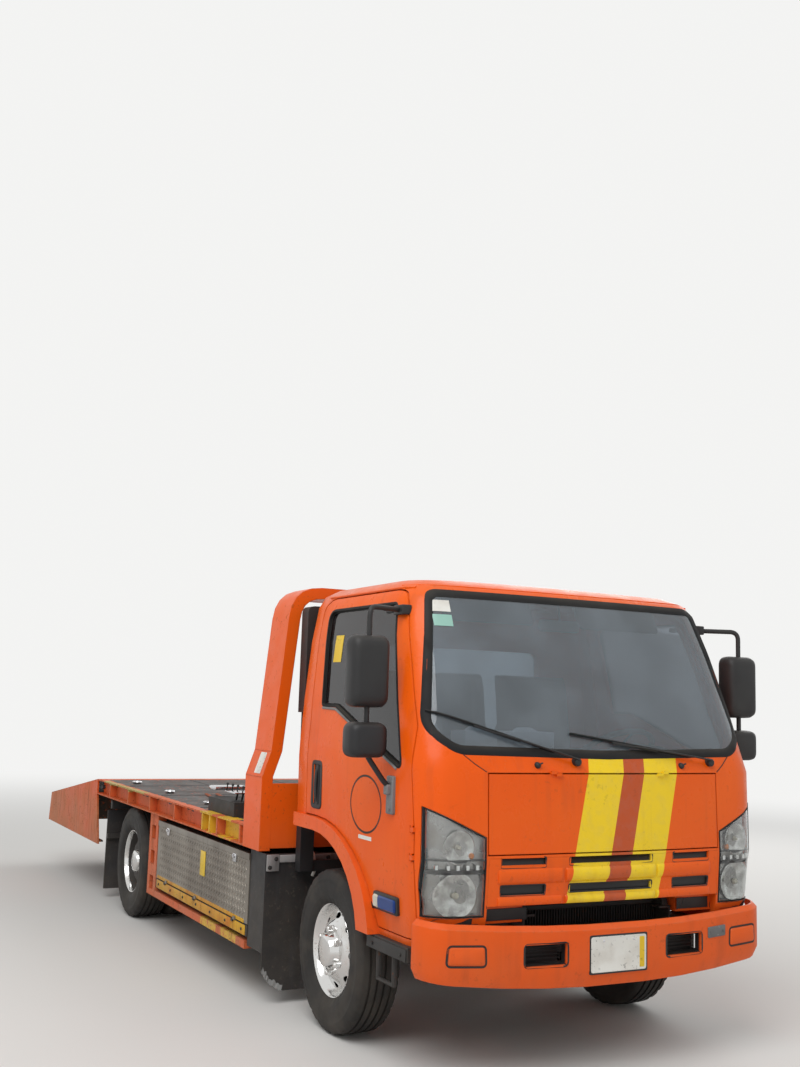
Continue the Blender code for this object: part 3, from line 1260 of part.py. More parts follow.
def beaver_tail():
    """Sloping floor between wedge side plates, on two tapered beams."""
    front = KNEE_Y
    end = TAIL_END_Y - TAIL_TIP
    plate_outline = ((front, DECK_TOP - TAIL_PLATE), (end, TAIL_TOP_END - TAIL_PLATE), (end, TAIL_TOP_END),
                     (front, DECK_TOP))
    inner = DECK_HALF_WIDTH - TAIL_SIDE_WALL
    plate = prism("X", plate_outline, -inner - OVERLAP, inner + OVERLAP)
    lean = (DECK_TOP - TAIL_BOTTOM) / 4
    side_outline = ((front, DECK_TOP), (front, SIDE_RAIL_BOTTOM - SEAT_GAP), (front - lean, TAIL_BOTTOM),
                    (TAIL_END_Y, TAIL_BOTTOM), (end, TAIL_TOP_END))
    side = prism("X", side_outline, inner, DECK_HALF_WIDTH)
    flange = block((inner - TAIL_TIP, inner + OVERLAP), (front, TAIL_END_Y - OVERLAP * 2),
                   (TAIL_BOTTOM, TAIL_BOTTOM + TAIL_SIDE_WALL))
    under = DECK_TOP - DECK_PLATE
    beam_outline = ((front, TILT_TOP + SLIDE_GAP), (front, under), (end - TAIL_TIP, TAIL_TOP_END - OVERLAP),
                    (end - TAIL_TIP, TAIL_TOP_END - TAIL_TIP))
    half = DECK_BEAM_WIDTH / 2
    beam = prism("X", beam_outline, DECK_BEAM_X - half, DECK_BEAM_X + half)
    closing = block((-inner - OVERLAP, inner + OVERLAP), (end - TAIL_TIP, end - OVERLAP),
                    (TAIL_BOTTOM + OVERLAP, TAIL_TOP_END - TAIL_PLATE))
    tail = fuse(plate, *both(side), *both(flange), *both(beam), closing)
    notches = []
    for side_sign in (RIGHT, LEFT):
        centre = side_sign * DECK_BEAM_X * 2
        notches.append(block((centre - TAIL_NOTCH, centre + TAIL_NOTCH),
                             (end - TAIL_TIP * 3 / 2, end + REACH),
                             (TAIL_TOP_END - TAIL_NOTCH / 2, TAIL_TOP_END + REACH)))
    return cut(tail, *notches)


def headboard():
    """Hoop of flat box section over the deck's front, with the bulkhead plate between its legs."""
    outer = [(DECK_HALF_WIDTH, SIDE_RAIL_BOTTOM, 0), (DECK_HALF_WIDTH, HOOP_KNEE_Z, 0),
             (HOOP_LEAN_X, HOOP_LEAN_Z, 0), (HOOP_TOP_X, HOOP_TOP, HOOP_CORNER)]
    band = HOOP_BAND
    inner = [(DECK_HALF_WIDTH - band, SIDE_RAIL_BOTTOM, 0), (DECK_HALF_WIDTH - band, HOOP_KNEE_Z, 0),
             (HOOP_LEAN_X - band, HOOP_LEAN_Z, 0), (HOOP_TOP_X - band, HOOP_TOP - band, HOOP_CORNER - band)]
    arch_in = [(-x, z, r) for x, z, r in inner]
    arch_out = [(-x, z, r) for x, z, r in outer]
    outline = rounded(arch_out + outer[::-1] + inner + arch_in[::-1], 5)
    hoop = prism("Y", outline, HOOP_FRONT_Y, HOOP_FRONT_Y + HOOP_DEPTH)
    reach = DECK_HALF_WIDTH - band + OVERLAP
    low = SLIDE_CYLINDER_Z + SLIDE_BARREL_RADIUS + MOVING_GAP
    bulkhead = block((-reach, reach), (HOOP_FRONT_Y + SEAT_GAP, HOOP_FRONT_Y + BULKHEAD_WALL),
                     (low, BULKHEAD_TOP))
    return fuse(hoop, bulkhead)


def winch():
    """Winch base, two bored cheeks and the motor on the left cheek."""
    half = WINCH_SIZE / 2
    low = DECK_TOP + SEAT_GAP
    base = block((-WINCH_HALF_WIDTH, WINCH_HALF_WIDTH), (WINCH_Y - half, WINCH_Y + half),
                 (low, low + WINCH_CHEEK / 2))
    cheek = block((WINCH_HALF_WIDTH - WINCH_CHEEK, WINCH_HALF_WIDTH), (WINCH_Y - half, WINCH_Y + half),
                  (low, low + WINCH_SIZE))
    frame = fuse(base, *both(cheek))
    bore = prism("X", circle(WINCH_AXLE_RADIUS + ROD_GAP, 12, WINCH_Y, WINCH_AXLE_Z),
                 -WINCH_HALF_WIDTH - REACH,
                 WINCH_HALF_WIDTH + REACH)
    cut(frame, bore)
    motor = prism("X", circle(WINCH_FLANGE_RADIUS, 12, WINCH_Y, WINCH_AXLE_Z), WINCH_HALF_WIDTH - OVERLAP,
                  WINCH_HALF_WIDTH + WINCH_SIZE / 2)
    return fuse(frame, motor)


def winch_drum():
    """Rope drum with its flanges and axle."""
    reach = WINCH_HALF_WIDTH - OVERLAP - SEAT_GAP
    side = WINCH_HALF_WIDTH - WINCH_CHEEK - MOVING_GAP
    flange = side - WINCH_CHEEK / 2
    profile = [(-reach, 0), (-reach, WINCH_AXLE_RADIUS), (-side, WINCH_AXLE_RADIUS),
               (-side, WINCH_FLANGE_RADIUS),
               (-flange, WINCH_FLANGE_RADIUS), (-flange, WINCH_DRUM_RADIUS), (flange, WINCH_DRUM_RADIUS),
               (flange, WINCH_FLANGE_RADIUS), (side, WINCH_FLANGE_RADIUS), (side, WINCH_AXLE_RADIUS),
               (reach, WINCH_AXLE_RADIUS), (reach, 0)]
    return turned(profile, 16, (0, WINCH_Y, WINCH_AXLE_Z))


def valve_box():
    """Low box at the deck's right front with its two levers."""
    outer = -(DECK_HALF_WIDTH - HOOP_BAND - SEAT_GAP * 2)
    low = DECK_TOP + SEAT_GAP
    body = block((outer, outer + VALVE_BOX_WIDTH), (VALVE_BOX_Y, VALVE_BOX_Y + VALVE_BOX_LENGTH),
                 (low, low + VALVE_BOX_HEIGHT))
    levers = []
    for share in (1 / 5, 2 / 5):
        base = (outer + VALVE_BOX_WIDTH / 3, VALVE_BOX_Y + VALVE_BOX_LENGTH * share,
                low + VALVE_BOX_HEIGHT - OVERLAP)
        levers.append(rod(base, (base[0], base[1] - VALVE_LEVER / 2, base[2] + VALVE_LEVER),
                          VALVE_LEVER / 8, 6))
    return fuse(body, *levers)


def build_bed(truck):
    pivot = (0, PIVOT_Y, PIVOT_Z)
    piece("tilt_frame", tilt_frame(), "black_steel", truck, pivot)
    piece("slide_cylinder", slide_cylinder(), "black_steel", truck, pivot)
    piece("slide_rod", slide_rod(), "rod_chrome", truck)
    piece("tilt_barrels", tilt_barrels(), "black_steel", truck, (0, TILT_BASE_Y, TILT_BASE_Z))
    piece("tilt_rods", tilt_rods(), "rod_chrome", truck, (0, TILT_EYE_Y, TILT_EYE_Z))
    piece("deck", deck(), "deck_steel", truck)
    piece("beaver_tail", beaver_tail(), "bed_paint", truck)
    piece("headboard", headboard(), "bed_paint", truck)
    piece("winch", winch(), "black_steel", truck)
    piece("winch_drum", winch_drum(), "deck_steel", truck, (0, WINCH_Y, WINCH_AXLE_Z))
    piece("valve_box", valve_box(), "black_steel", truck)


# Cab

def cab_section(height):
    """Front, half width and rear of the cab's outside at a height, read from the table."""
    share = min(max((height - CAB_BOTTOM) / CAB_HEIGHT, 0), 1)
    for low, high in zip(CAB_SECTION_SHARES, CAB_SECTION_SHARES[1:]):
        if share <= high[0]:
            blend = (share - low[0]) / (high[0] - low[0])
            setback, width, rear = [a + (b - a) * blend for a, b in zip(low[1:], high[1:])]
            break
    return CAB_FRONT_Y + setback * CAB_LENGTH, width * CAB_HALF_WIDTH, CAB_REAR_Y - rear * CAB_LENGTH


def cab_ring(height, inset, front_inset):
    """One level of the cab's form, moved inwards by the insets."""
    outside = CAB_BOTTOM + (height - CAB_BOTTOM) * CAB_HEIGHT / (CAB_HEIGHT - inset)
    front, half_width, rear = cab_section(outside)
    front, half_width, rear = front + front_inset, half_width - inset, rear - inset
    corner = CAB_CORNER - inset
    flat = half_width - corner
    half = [(flat * share, front + CAB_BOW * share ** 2) for share in (0, 1 / 2, 1)]
    for step in range(1, 6):
        turn = pi / 2 * step / 5
        half.append((flat + corner * sin(turn), front + CAB_BOW + corner - corner * cos(turn)))
    rear_corner = CAB_REAR_CORNER
    for step in range(3):
        turn = pi / 2 * step / 2
        half.append((half_width - rear_corner + rear_corner * cos(turn),
                     rear - rear_corner + rear_corner * sin(turn)))
    half.append((0, rear))
    ring = half + [(-x, y) for x, y in reversed(half[1:-1])]
    return [(x, y, height) for x, y in ring]


def cab_form(inset=0, low=CAB_BOTTOM, high=None, front_inset=None):
    """The cab's closed form between two heights, moved inwards by the insets."""
    high = CAB_TOP - inset if high is None else high
    front_inset = inset if front_inset is None else front_inset
    shrink = (CAB_HEIGHT - inset) / CAB_HEIGHT
    levels = [low]
    for row in CAB_SECTION_SHARES:
        height = CAB_BOTTOM + row[0] * CAB_HEIGHT * shrink
        if low + OVERLAP < height < high - OVERLAP:
            levels.append(height)
    levels.append(high)
    return loft([cab_ring(level, inset, front_inset) for level in levels])


def skin(cutter, outer, inner):
    """The part of a cutter that lies between two insets of the cab's form."""
    body = common(cutter, cab_form(outer))
    return cut(body, cab_form(inner, CAB_BOTTOM - REACH))


def pocket(cutter, depth):
    """The part of a cutter that is less deep than a depth below the cab's outside."""
    return cut(cutter, cab_form(depth, CAB_BOTTOM - REACH))


def ellipse_arc(length, height, low):
    """Points of the arch from its foot at the front to its crown."""
    points = []
    foot = (low - ARCH_CENTRE_Z) / height
    start = pi - (foot if foot > 0 else 0)
    for step in range(ARCH_STEPS + 1):
        turn = start + (pi / 2 - start) * step / ARCH_STEPS
        points.append((ARCH_CENTRE_Y + length * cos(turn), ARCH_CENTRE_Z + height * sin(turn)))
    return points


def door_outline(grow):
    """Side view of a door: its lower rear edge follows the lip of the wheel arch."""
    arc = ellipse_arc(LIP_LENGTH + MOVING_GAP - grow, LIP_HEIGHT + MOVING_GAP - grow, DOOR_BOTTOM)
    corners = [(DOOR_FRONT_Y - grow, DOOR_BOTTOM - grow, 0), (DOOR_FRONT_Y - grow, LAMP_TOP_INNER, 0),
               (DOOR_SILL_FRONT_Y - grow, DOOR_SILL_Z, 0),
               (DOOR_TOP_FRONT_Y - grow, DOOR_TOP + grow, DOOR_CORNER),
               (DOOR_REAR_TOP_Y + grow, DOOR_TOP + grow, DOOR_CORNER),
               (DOOR_REAR_Y + grow, DOOR_SILL_Z, 0), (DOOR_REAR_Y + grow, arc[-1][1], 0)]
    outline = rounded(corners)
    outline += [(y, z) for y, z in reversed(arc) if z > DOOR_BOTTOM + OVERLAP]
    outline.append((arc[0][0], DOOR_BOTTOM - grow))
    return outline


def window_outline(grow):
    """Side view of a door's window, with its sill stepping down towards the front."""
    corners = [(WINDOW_FRONT_Y - grow, WINDOW_SILL_FRONT - grow, WINDOW_CORNER / 2),
               (WINDOW_TOP_FRONT_Y - grow, WINDOW_TOP + grow, WINDOW_CORNER / 2),
               (WINDOW_REAR_TOP_Y + grow, WINDOW_TOP + grow, WINDOW_CORNER),
               (WINDOW_REAR_Y + grow, WINDOW_SILL_REAR - grow, WINDOW_CORNER / 3),
               (WINDOW_STEP_Y, WINDOW_SILL_REAR - grow, WINDOW_CORNER)]
    return rounded(corners)


def screen_outline(grow):
    """Front view of the windscreen."""
    half = [(SCREEN_BOTTOM_X, SCREEN_BOTTOM + SCREEN_RISE - grow, SCREEN_CORNER),
            (SCREEN_CORNER_X + grow, SCREEN_CORNER_Z, SCREEN_CORNER),
            (SCREEN_TOP_X + grow, SCREEN_TOP + grow, WINDOW_CORNER)]
    other = [(-x, z, radius) for x, z, radius in reversed(half)]
    return rounded([(0, SCREEN_BOTTOM - grow, 0)] + half + other, SCREEN_STEPS)


def rear_window_outline(grow):
    low, high, side = REAR_WINDOW_BOTTOM - grow, REAR_WINDOW_TOP + grow, REAR_WINDOW_X + grow
    return rounded([(-side, low, WINDOW_CORNER), (side, low, WINDOW_CORNER),
                    (side, high, WINDOW_CORNER), (-side, high, WINDOW_CORNER)])


def lamp_outline(grow):
    return ((LAMP_INNER_X - grow, LAMP_BOTTOM - grow), (LAMP_OUTER_X + grow, LAMP_BOTTOM - grow),
            (LAMP_OUTER_X + grow, LAMP_TOP_OUTER + grow), (LAMP_INNER_X - grow, LAMP_TOP_INNER + grow))


def lid_outline(grow):
    half, low, high = LID_HALF_WIDTH - MOVING_GAP + grow, LID_BOTTOM - grow, LID_TOP - MOVING_GAP + grow
    return ((-half, low), (half, low), (half, high), (-half, high))


def from_front(outline, rear_y=NOSE_REAR_Y):
    """Extrude a front view through the cab's nose."""
    return prism("Y", outline, CAB_FRONT_Y - REACH, rear_y)


def from_left(outline, inner_x=DOOR_INNER_X):
    """Extrude a side view through the cab's left side."""
    return prism("X", outline, inner_x, CAB_HALF_WIDTH + REACH)


def cab_shell():
    """Roof, pillars, rear wall, floor with its footwells, arches and nose corners."""
    shell = cab_form()
    interior = cab_form(CAB_WALL, CAB_FLOOR, CAB_TOP - CAB_WALL, CAB_FRONT_WALL)
    well = block((FOOTWELL_INNER_X, FOOTWELL_OUTER_X), (FOOTWELL_FRONT_Y, FOOTWELL_REAR_Y),
                 (FOOTWELL_FLOOR, CAB_FLOOR + OVERLAP))
    under_top = CAB_FLOOR - CAB_FLOOR_WALL
    underside = block((-CAB_HALF_WIDTH + SKIRT_WALL * 2, CAB_HALF_WIDTH - SKIRT_WALL * 2),
                      (CAB_FRONT_Y + CAB_FRONT_WALL, CAB_REAR_Y + REACH), (CAB_BOTTOM - REACH, under_top))
    tub = block((FOOTWELL_INNER_X - SKIRT_WALL, CAB_HALF_WIDTH),
                (CAB_FRONT_Y, FOOTWELL_REAR_Y + SKIRT_WALL), (FOOTWELL_FLOOR - SKIRT_WALL, CAB_TOP))
    cut(underside, *both(tub))
    arch = ellipse_arc(ARCH_LENGTH, ARCH_HEIGHT, CAB_BOTTOM)
    crown = ARCH_CENTRE_Z + ARCH_HEIGHT
    opening = [(arch[0][0], CAB_BOTTOM - REACH)] + arch + [(CAB_REAR_Y + REACH, crown),
                                                          (CAB_REAR_Y + REACH, CAB_BOTTOM - REACH)]
    arch_cut = prism("X", opening, CAB_HALF_WIDTH - SKIRT_WALL * 3, CAB_HALF_WIDTH + REACH)
    lip_low = ellipse_arc(ARCH_LENGTH + OVERLAP, ARCH_HEIGHT + OVERLAP, CAB_BOTTOM)
    lip_high = ellipse_arc(LIP_LENGTH, LIP_HEIGHT, CAB_BOTTOM)
    rear = CAB_REAR_Y - CAB_REAR_CORNER
    band = lip_low + [(rear, crown + OVERLAP), (rear, ARCH_CENTRE_Z + LIP_HEIGHT)] + lip_high[::-1]
    lip = prism("X", band, CAB_HALF_WIDTH - SKIRT_WALL, CAB_HALF_WIDTH + LIP_FLARE)
    nose = from_front(((-GRILLE_HALF_WIDTH - SEAT_GAP, CAB_BOTTOM - REACH),
                       (GRILLE_HALF_WIDTH + SEAT_GAP, CAB_BOTTOM - REACH),
                       (GRILLE_HALF_WIDTH + SEAT_GAP, GRILLE_TOP + SEAT_GAP),
                       (-GRILLE_HALF_WIDTH - SEAT_GAP, GRILLE_TOP + SEAT_GAP)))
    nose_room = block((-CAB_HALF_WIDTH, CAB_HALF_WIDTH), (CAB_FRONT_Y + CAB_FRONT_WALL + OVERLAP,
                                                          CAB_REAR_Y + REACH),
                      (CAB_BOTTOM - REACH * 2, CAB_TOP))
    cut(nose, nose_room)
    tools = [interior, *both(well), underside, *both(arch_cut), nose]
    cut(shell, *tools)
    fuse(shell, *both(lip))
    door = pocket(from_left(door_outline(MOVING_GAP), DOOR_INNER_X - MOVING_GAP), CAB_WALL + OVERLAP)
    lamp = pocket(from_front(lamp_outline(SEAT_GAP), NOSE_REAR_Y + SEAT_GAP), LAMP_DEPTH + SEAT_GAP)
    lid = pocket(from_front(lid_outline(MOVING_GAP)), LID_PANEL + MOVING_GAP)
    screen = from_front(screen_outline(SEAT_GAP), FOOTWELL_REAR_Y)
    back = prism("Y", rear_window_outline(SEAT_GAP), CAB_REAR_Y - REACH, CAB_REAR_Y + REACH)
    bore = prism("X", circle(CAB_PIVOT_BORE, 12, CAB_PIVOT_Y, CAB_PIVOT_Z), 0, FOOTWELL_INNER_X + OVERLAP)
    swing = block((CAB_HALF_WIDTH - DOOR_SWING_DEPTH, CAB_HALF_WIDTH - CAB_WALL),
                  (DOOR_FRONT_Y - MOVING_GAP + OVERLAP, DOOR_FRONT_Y + DOOR_SWING_LENGTH),
                  (DOOR_BOTTOM - MOVING_GAP + OVERLAP, FOOTWELL_FLOOR + OVERLAP))
    cut(shell, *both(door), *both(lamp), lid, screen, back, *both(bore), *both(swing))
    hinges = [half for lug in door_hinge_lugs() for half in both(lug)]
    for place in LID_KNUCKLES:
        outer = (place + KNUCKLE_LENGTH + SEAT_GAP, place + KNUCKLE_LENGTH * 2)
        lid_barrel = block(outer, (LID_HINGE_Y - KNUCKLE_RADIUS, LID_HINGE_Y + KNUCKLE_REACH),
                           (LID_HINGE_Z - KNUCKLE_RADIUS / 2, LID_HINGE_Z + KNUCKLE_REACH))
        hinges += both(lid_barrel)
    return fuse(shell, *hinges)


def door_hinge_lugs():
    """Lugs on the left front pillar, each between two pins of the door."""
    half = HINGE_LUG / 2
    return [block((HINGE_X - half, HINGE_X + half / 2),
                  (DOOR_FRONT_Y - MOVING_GAP - OVERLAP, HINGE_Y + half / 2), (height - half, height + half))
            for height in HINGE_HEIGHTS]


def door_hinge_notches():
    """Gaps in the left door's front edge for the lugs."""
    half = HINGE_LUG / 2 + MOVING_GAP
    return [block((HINGE_X - REACH, HINGE_X + REACH), (DOOR_FRONT_Y - REACH, HINGE_Y + half),
                  (height - half, height + half))
            for height in HINGE_HEIGHTS]


def door_hinge_pins():
    """Pins of the left door above and below each lug."""
    pins = []
    for height in HINGE_HEIGHTS:
        for up in (-1, 1):
            near = height + up * (HINGE_LUG / 2 + SEAT_GAP)
            far = near + up * (MOVING_GAP + OVERLAP)
            pins.append(rod((HINGE_X - OVERLAP, HINGE_Y, near), (HINGE_X - OVERLAP, HINGE_Y, far),
                            HINGE_PIN_RADIUS, 8))
    return pins


def door():
    """Left door: its whole thickness, with the window cut and the handle's recess."""
    leaf = skin(from_left(door_outline(0)), 0, DOOR_WALL)
    window = from_left(window_outline(0))
    recess = block((CAB_HALF_WIDTH - HANDLE_DEPTH, CAB_HALF_WIDTH + REACH),
                   (HANDLE_Y - HANDLE_WIDTH / 2, HANDLE_Y + HANDLE_WIDTH / 2),
                   (HANDLE_BOTTOM, HANDLE_BOTTOM + HANDLE_HEIGHT))
    grip = block((CAB_HALF_WIDTH - HANDLE_DEPTH - OVERLAP, CAB_HALF_WIDTH - OVERLAP),
                 (HANDLE_Y - HANDLE_WIDTH / 6, HANDLE_Y + HANDLE_WIDTH / 6),
                 (HANDLE_BOTTOM - OVERLAP, HANDLE_BOTTOM + HANDLE_HEIGHT + OVERLAP))
    cut(leaf, window, recess, *door_hinge_notches())
    return fuse(leaf, grip, *door_hinge_pins())


def mirrors():
    """Left mirror set: two heads on one bent arm between the door's upper and lower feet."""
    middle_x = (MIRROR_INNER_X + MIRROR_OUTER_X) / 2
    depth = (MIRROR_Y - MIRROR_DEPTH / 2, MIRROR_Y + MIRROR_DEPTH / 2)
    heads = []
    for low, high in ((MIRROR_BOTTOM, MIRROR_TOP), (LOW_MIRROR_BOTTOM, LOW_MIRROR_TOP)):
        outline = rounded([(MIRROR_INNER_X, low, MIRROR_CORNER), (MIRROR_OUTER_X, low, MIRROR_CORNER),
                           (MIRROR_OUTER_X, high, MIRROR_CORNER), (MIRROR_INNER_X, high, MIRROR_CORNER)], 3)
        heads.append(prism("Y", outline, *depth))
    top_foot_x = cab_section(MIRROR_ARM_TOP)[1] - MIRROR_FOOT_SIZE
    foot_x = CAB_HALF_WIDTH
    foot_z = (MIRROR_FOOT_BOTTOM + MIRROR_FOOT_TOP) / 2
    path = ((top_foot_x, MIRROR_TOP_FOOT_Y, MIRROR_ARM_TOP), (middle_x, MIRROR_Y, MIRROR_ARM_TOP),
            (middle_x, MIRROR_Y, LOW_MIRROR_BOTTOM - MIRROR_FOOT_SIZE),
            (foot_x + MIRROR_FOOT_SIZE / 2, MIRROR_FOOT_Y, foot_z + MIRROR_FOOT_SIZE / 2),
            (foot_x + MIRROR_FOOT_SIZE / 2, MIRROR_FOOT_Y, foot_z - MIRROR_FOOT_SIZE / 2))
    arm = sweep(path, MIRROR_ARM_RADIUS)
    foot = block((foot_x - MIRROR_FOOT_SIZE / 2, foot_x + MIRROR_FOOT_SIZE),
                 (MIRROR_FOOT_Y - MIRROR_FOOT_SIZE / 2, MIRROR_FOOT_Y + MIRROR_FOOT_SIZE / 2),
                 (MIRROR_FOOT_BOTTOM, MIRROR_FOOT_TOP))
    return cut(fuse(foot, arm, *heads), cab_form(-SEAT_GAP, high=CAB_TOP))


def grille():
    """Grille panel with two rows of slots, a wide one between two short ones."""
    outline = ((-GRILLE_HALF_WIDTH, GRILLE_BOTTOM), (GRILLE_HALF_WIDTH, GRILLE_BOTTOM),
               (GRILLE_HALF_WIDTH, GRILLE_TOP), (-GRILLE_HALF_WIDTH, GRILLE_TOP))
    panel = skin(from_front(outline), 0, GRILLE_DEPTH)
    spans = ((-SLOT_SIDE_OUTER_X, -SLOT_SIDE_INNER_X), (-SLOT_CENTRE_X, SLOT_CENTRE_X),
             (SLOT_SIDE_INNER_X, SLOT_SIDE_OUTER_X))
    slots = []
    for middle in (SLOT_UPPER_Z, SLOT_LOWER_Z):
        for span in spans:
            slots.append(block(span, (CAB_FRONT_Y - REACH, CAB_FRONT_Y + REACH),
                               (middle - SLOT_HEIGHT / 2, middle + SLOT_HEIGHT / 2)))
    return cut(panel, *slots)


def headlamp():
    """Left headlamp, parted into an upper and a lower chamber by a groove."""
    lamp = skin(from_front(lamp_outline(0)), 0, LAMP_DEPTH)
    groove = pocket(block((LAMP_INNER_X - REACH, LAMP_OUTER_X + REACH),
                          (CAB_FRONT_Y - REACH, CAB_FRONT_Y + REACH),
                          (LAMP_SPLIT - OVERLAP * 2, LAMP_SPLIT + OVERLAP * 2)), LAMP_DEPTH / 6)
    return cut(lamp, groove)


def dashboard():
    """Dashboard with the steering column on the left."""
    outline = rounded([(DASH_FRONT_Y, DASH_BOTTOM, 0), (DASH_REAR_Y - CROSS_SIZE, DASH_BOTTOM, 0),
                       (DASH_REAR_Y, DASH_BOTTOM + CROSS_SIZE, 0), (DASH_REAR_Y, DASH_TOP - CROSS_SIZE / 2,
                                                                    CROSS_SIZE / 2),
                       (DASH_REAR_Y - CROSS_SIZE / 2, DASH_TOP, 0), (DASH_FRONT_Y, DASH_TOP, 0)])
    board = prism("X", outline, -DASH_HALF_WIDTH, DASH_HALF_WIDTH)
    column = rod(column_point(-COLUMN_LENGTH), column_point(-WHEEL_RIM - SEAT_GAP), COLUMN_RADIUS)
    leg = block((-CROSS_SIZE, CROSS_SIZE), (DASH_FRONT_Y, DASH_FRONT_Y + CROSS_SIZE),
                (CAB_FLOOR + SEAT_GAP, DASH_BOTTOM + OVERLAP))
    return fuse(board, column, leg)


def column_point(distance):
    """A point on the steering column's axis, counted upwards from the wheel's middle."""
    return (WHEEL_X, WHEEL_Y + distance * sin(WHEEL_TILT), WHEEL_Z + distance * cos(WHEEL_TILT))


def steering_wheel():
    """Rim, hub and three spokes."""
    rim_profile = [(along, WHEEL_RADIUS + across) for along, across in circle(WHEEL_RIM, 6)]
    rim = turned(rim_profile, 16)
    hub = turned([(-WHEEL_RIM, 0), (-WHEEL_RIM, COLUMN_RADIUS * 2), (WHEEL_RIM, COLUMN_RADIUS * 2),
                  (WHEEL_RIM, 0)], 12)
    spokes = []
    for step in range(3):
        turn = 2 * pi * step / 3 + pi / 2
        spokes.append(rod((0, 0, 0), (0, WHEEL_RADIUS * cos(turn), WHEEL_RADIUS * sin(turn)), WHEEL_RIM / 2,
                          6))
    return aimed(fuse(rim, hub, *spokes), column_point(0), column_point(1))


def seats():
    """Driver's seat and the double passenger seat on one low base."""
    lowest = CAB_FLOOR + SEAT_GAP
    base = block((-CAB_HALF_WIDTH * 3 / 4, CAB_HALF_WIDTH * 3 / 4), (SEAT_FRONT_Y + CROSS_SIZE, SEAT_REAR_Y),
                 (lowest, SEAT_BASE_TOP))
    pads = []
    for centre_share, half_share in SEAT_SHARES:
        centre, half = CAB_HALF_WIDTH * centre_share, CAB_HALF_WIDTH * half_share
        cushion = rounded([(SEAT_FRONT_Y, SEAT_BASE_TOP - OVERLAP, 0), (SEAT_REAR_Y,
                                                                        SEAT_BASE_TOP - OVERLAP, 0),
                           (SEAT_REAR_Y, SEAT_BASE_TOP + SEAT_CUSHION, 0),
                           (SEAT_FRONT_Y, SEAT_BASE_TOP + SEAT_CUSHION, SEAT_CUSHION / 2)], 3)
        pads.append(prism("X", cushion, centre - half, centre + half))
        back = rounded([(SEAT_REAR_Y - SEAT_BACK * 5 / 4, SEAT_BASE_TOP, 0), (SEAT_REAR_Y, SEAT_BASE_TOP, 0),
                        (SEAT_REAR_Y, SEAT_BACK_TOP, SEAT_BACK / 3),
                        (SEAT_REAR_Y - SEAT_BACK / 2, SEAT_BACK_TOP, SEAT_BACK / 3)], 3)
        pads.append(prism("X", back, centre - half, centre + half))
    return fuse(base, *pads)


def step():
    """Left step below the door with its foot loop."""
    plate = block((STEP_INNER_X, STEP_OUTER_X), (STEP_FRONT_Y, STEP_REAR_Y),
                  (STEP_TOP - STEP_HEIGHT, CAB_BOTTOM - SEAT_GAP))
    near, far = STEP_FRONT_Y + STEP_LOOP_DROP, STEP_REAR_Y - STEP_LOOP_DROP / 2
    x = STEP_OUTER_X - STEP_LOOP_RADIUS * 2
    low, high = STEP_TOP - STEP_LOOP_DROP, STEP_TOP - STEP_HEIGHT / 2
    loop = sweep(((x, near, high), (x, near, low), (x, far, low), (x, far, high)), STEP_LOOP_RADIUS, 8)
    return fuse(plate, loop)


def front_lid():
    """Service panel under the windscreen with two hinge barrels on its top edge."""
    lid = skin(from_front(lid_outline(0)), 0, LID_PANEL)
    barrels = []
    for place in LID_KNUCKLES:
        barrel = block((place, place + KNUCKLE_LENGTH), (LID_HINGE_Y - KNUCKLE_RADIUS,
                                                         LID_HINGE_Y + KNUCKLE_REACH),
                       (LID_HINGE_Z - KNUCKLE_REACH, LID_HINGE_Z + KNUCKLE_RADIUS / 2))
        barrels += both(barrel)
    return fuse(lid, *barrels)


def build_cab(truck):
    cab_pivot = (0, CAB_PIVOT_Y, CAB_PIVOT_Z)
    piece("cab_shell", cab_shell(), "orange_paint", truck, cab_pivot)
    screen = skin(from_front(screen_outline(0), FOOTWELL_REAR_Y), GLASS_INSET, GLASS_INSET + GLASS_WALL)
    piece("windscreen", screen, "screen_glass", truck, cab_pivot)
    back = prism("Y", rear_window_outline(0), CAB_REAR_Y - REACH, CAB_REAR_Y + REACH)
    piece("rear_window", skin(back, GLASS_INSET, GLASS_INSET + GLASS_WALL), "screen_glass", truck, cab_pivot)
    piece("front_lid", front_lid(), "orange_paint", truck, (0, LID_HINGE_Y, LID_HINGE_Z))
    piece("grille", grille(), "orange_paint", truck, cab_pivot)
    piece("dashboard", dashboard(), "cab_trim", truck, cab_pivot)
    piece("seats", seats(), "seat_cloth", truck, cab_pivot)
    piece("steering_wheel", steering_wheel(), "black_plastic", truck, column_point(0))
    for name, side in SIDES.items():
        hinge = (side * HINGE_X, HINGE_Y, 0)
        piece(f"headlamp_{name}", sided(side, headlamp()), "lamp_glass", truck, cab_pivot)
        piece(f"step_{name}", sided(side, step()), "black_plastic", truck, cab_pivot)
        piece(f"door_{name}", sided(side, door()), "orange_paint", truck, hinge)
        glass = skin(from_left(window_outline(-SEAT_GAP)), DOOR_GLASS_INSET, DOOR_GLASS_INSET + GLASS_WALL)
        piece(f"door_glass_{name}", sided(side, glass), "screen_glass", truck, hinge)
        piece(f"mirrors_{name}", sided(side, mirrors()), "black_plastic", truck, hinge)


def main():
    for item in list(bpy.data.objects):
        bpy.data.objects.remove(item)
    truck = bpy.data.objects.new("truck", None)
    truck.location = (0, FRONT_AXLE_Y, 0)
    bpy.context.scene.collection.objects.link(truck)
    build_wheels(truck)
    build_chassis(truck)
    build_bed(truck)
    build_cab(truck)


main()
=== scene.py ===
"""Looks of a flatbed recovery truck: finishes, fine pieces, floor, light and camera."""

import logging
import random
from dataclasses import dataclass, replace
from enum import Enum
from functools import cache
from math import cos, pi, radians, sin, tan
from typing import Callable, Iterable, Optional, Sequence

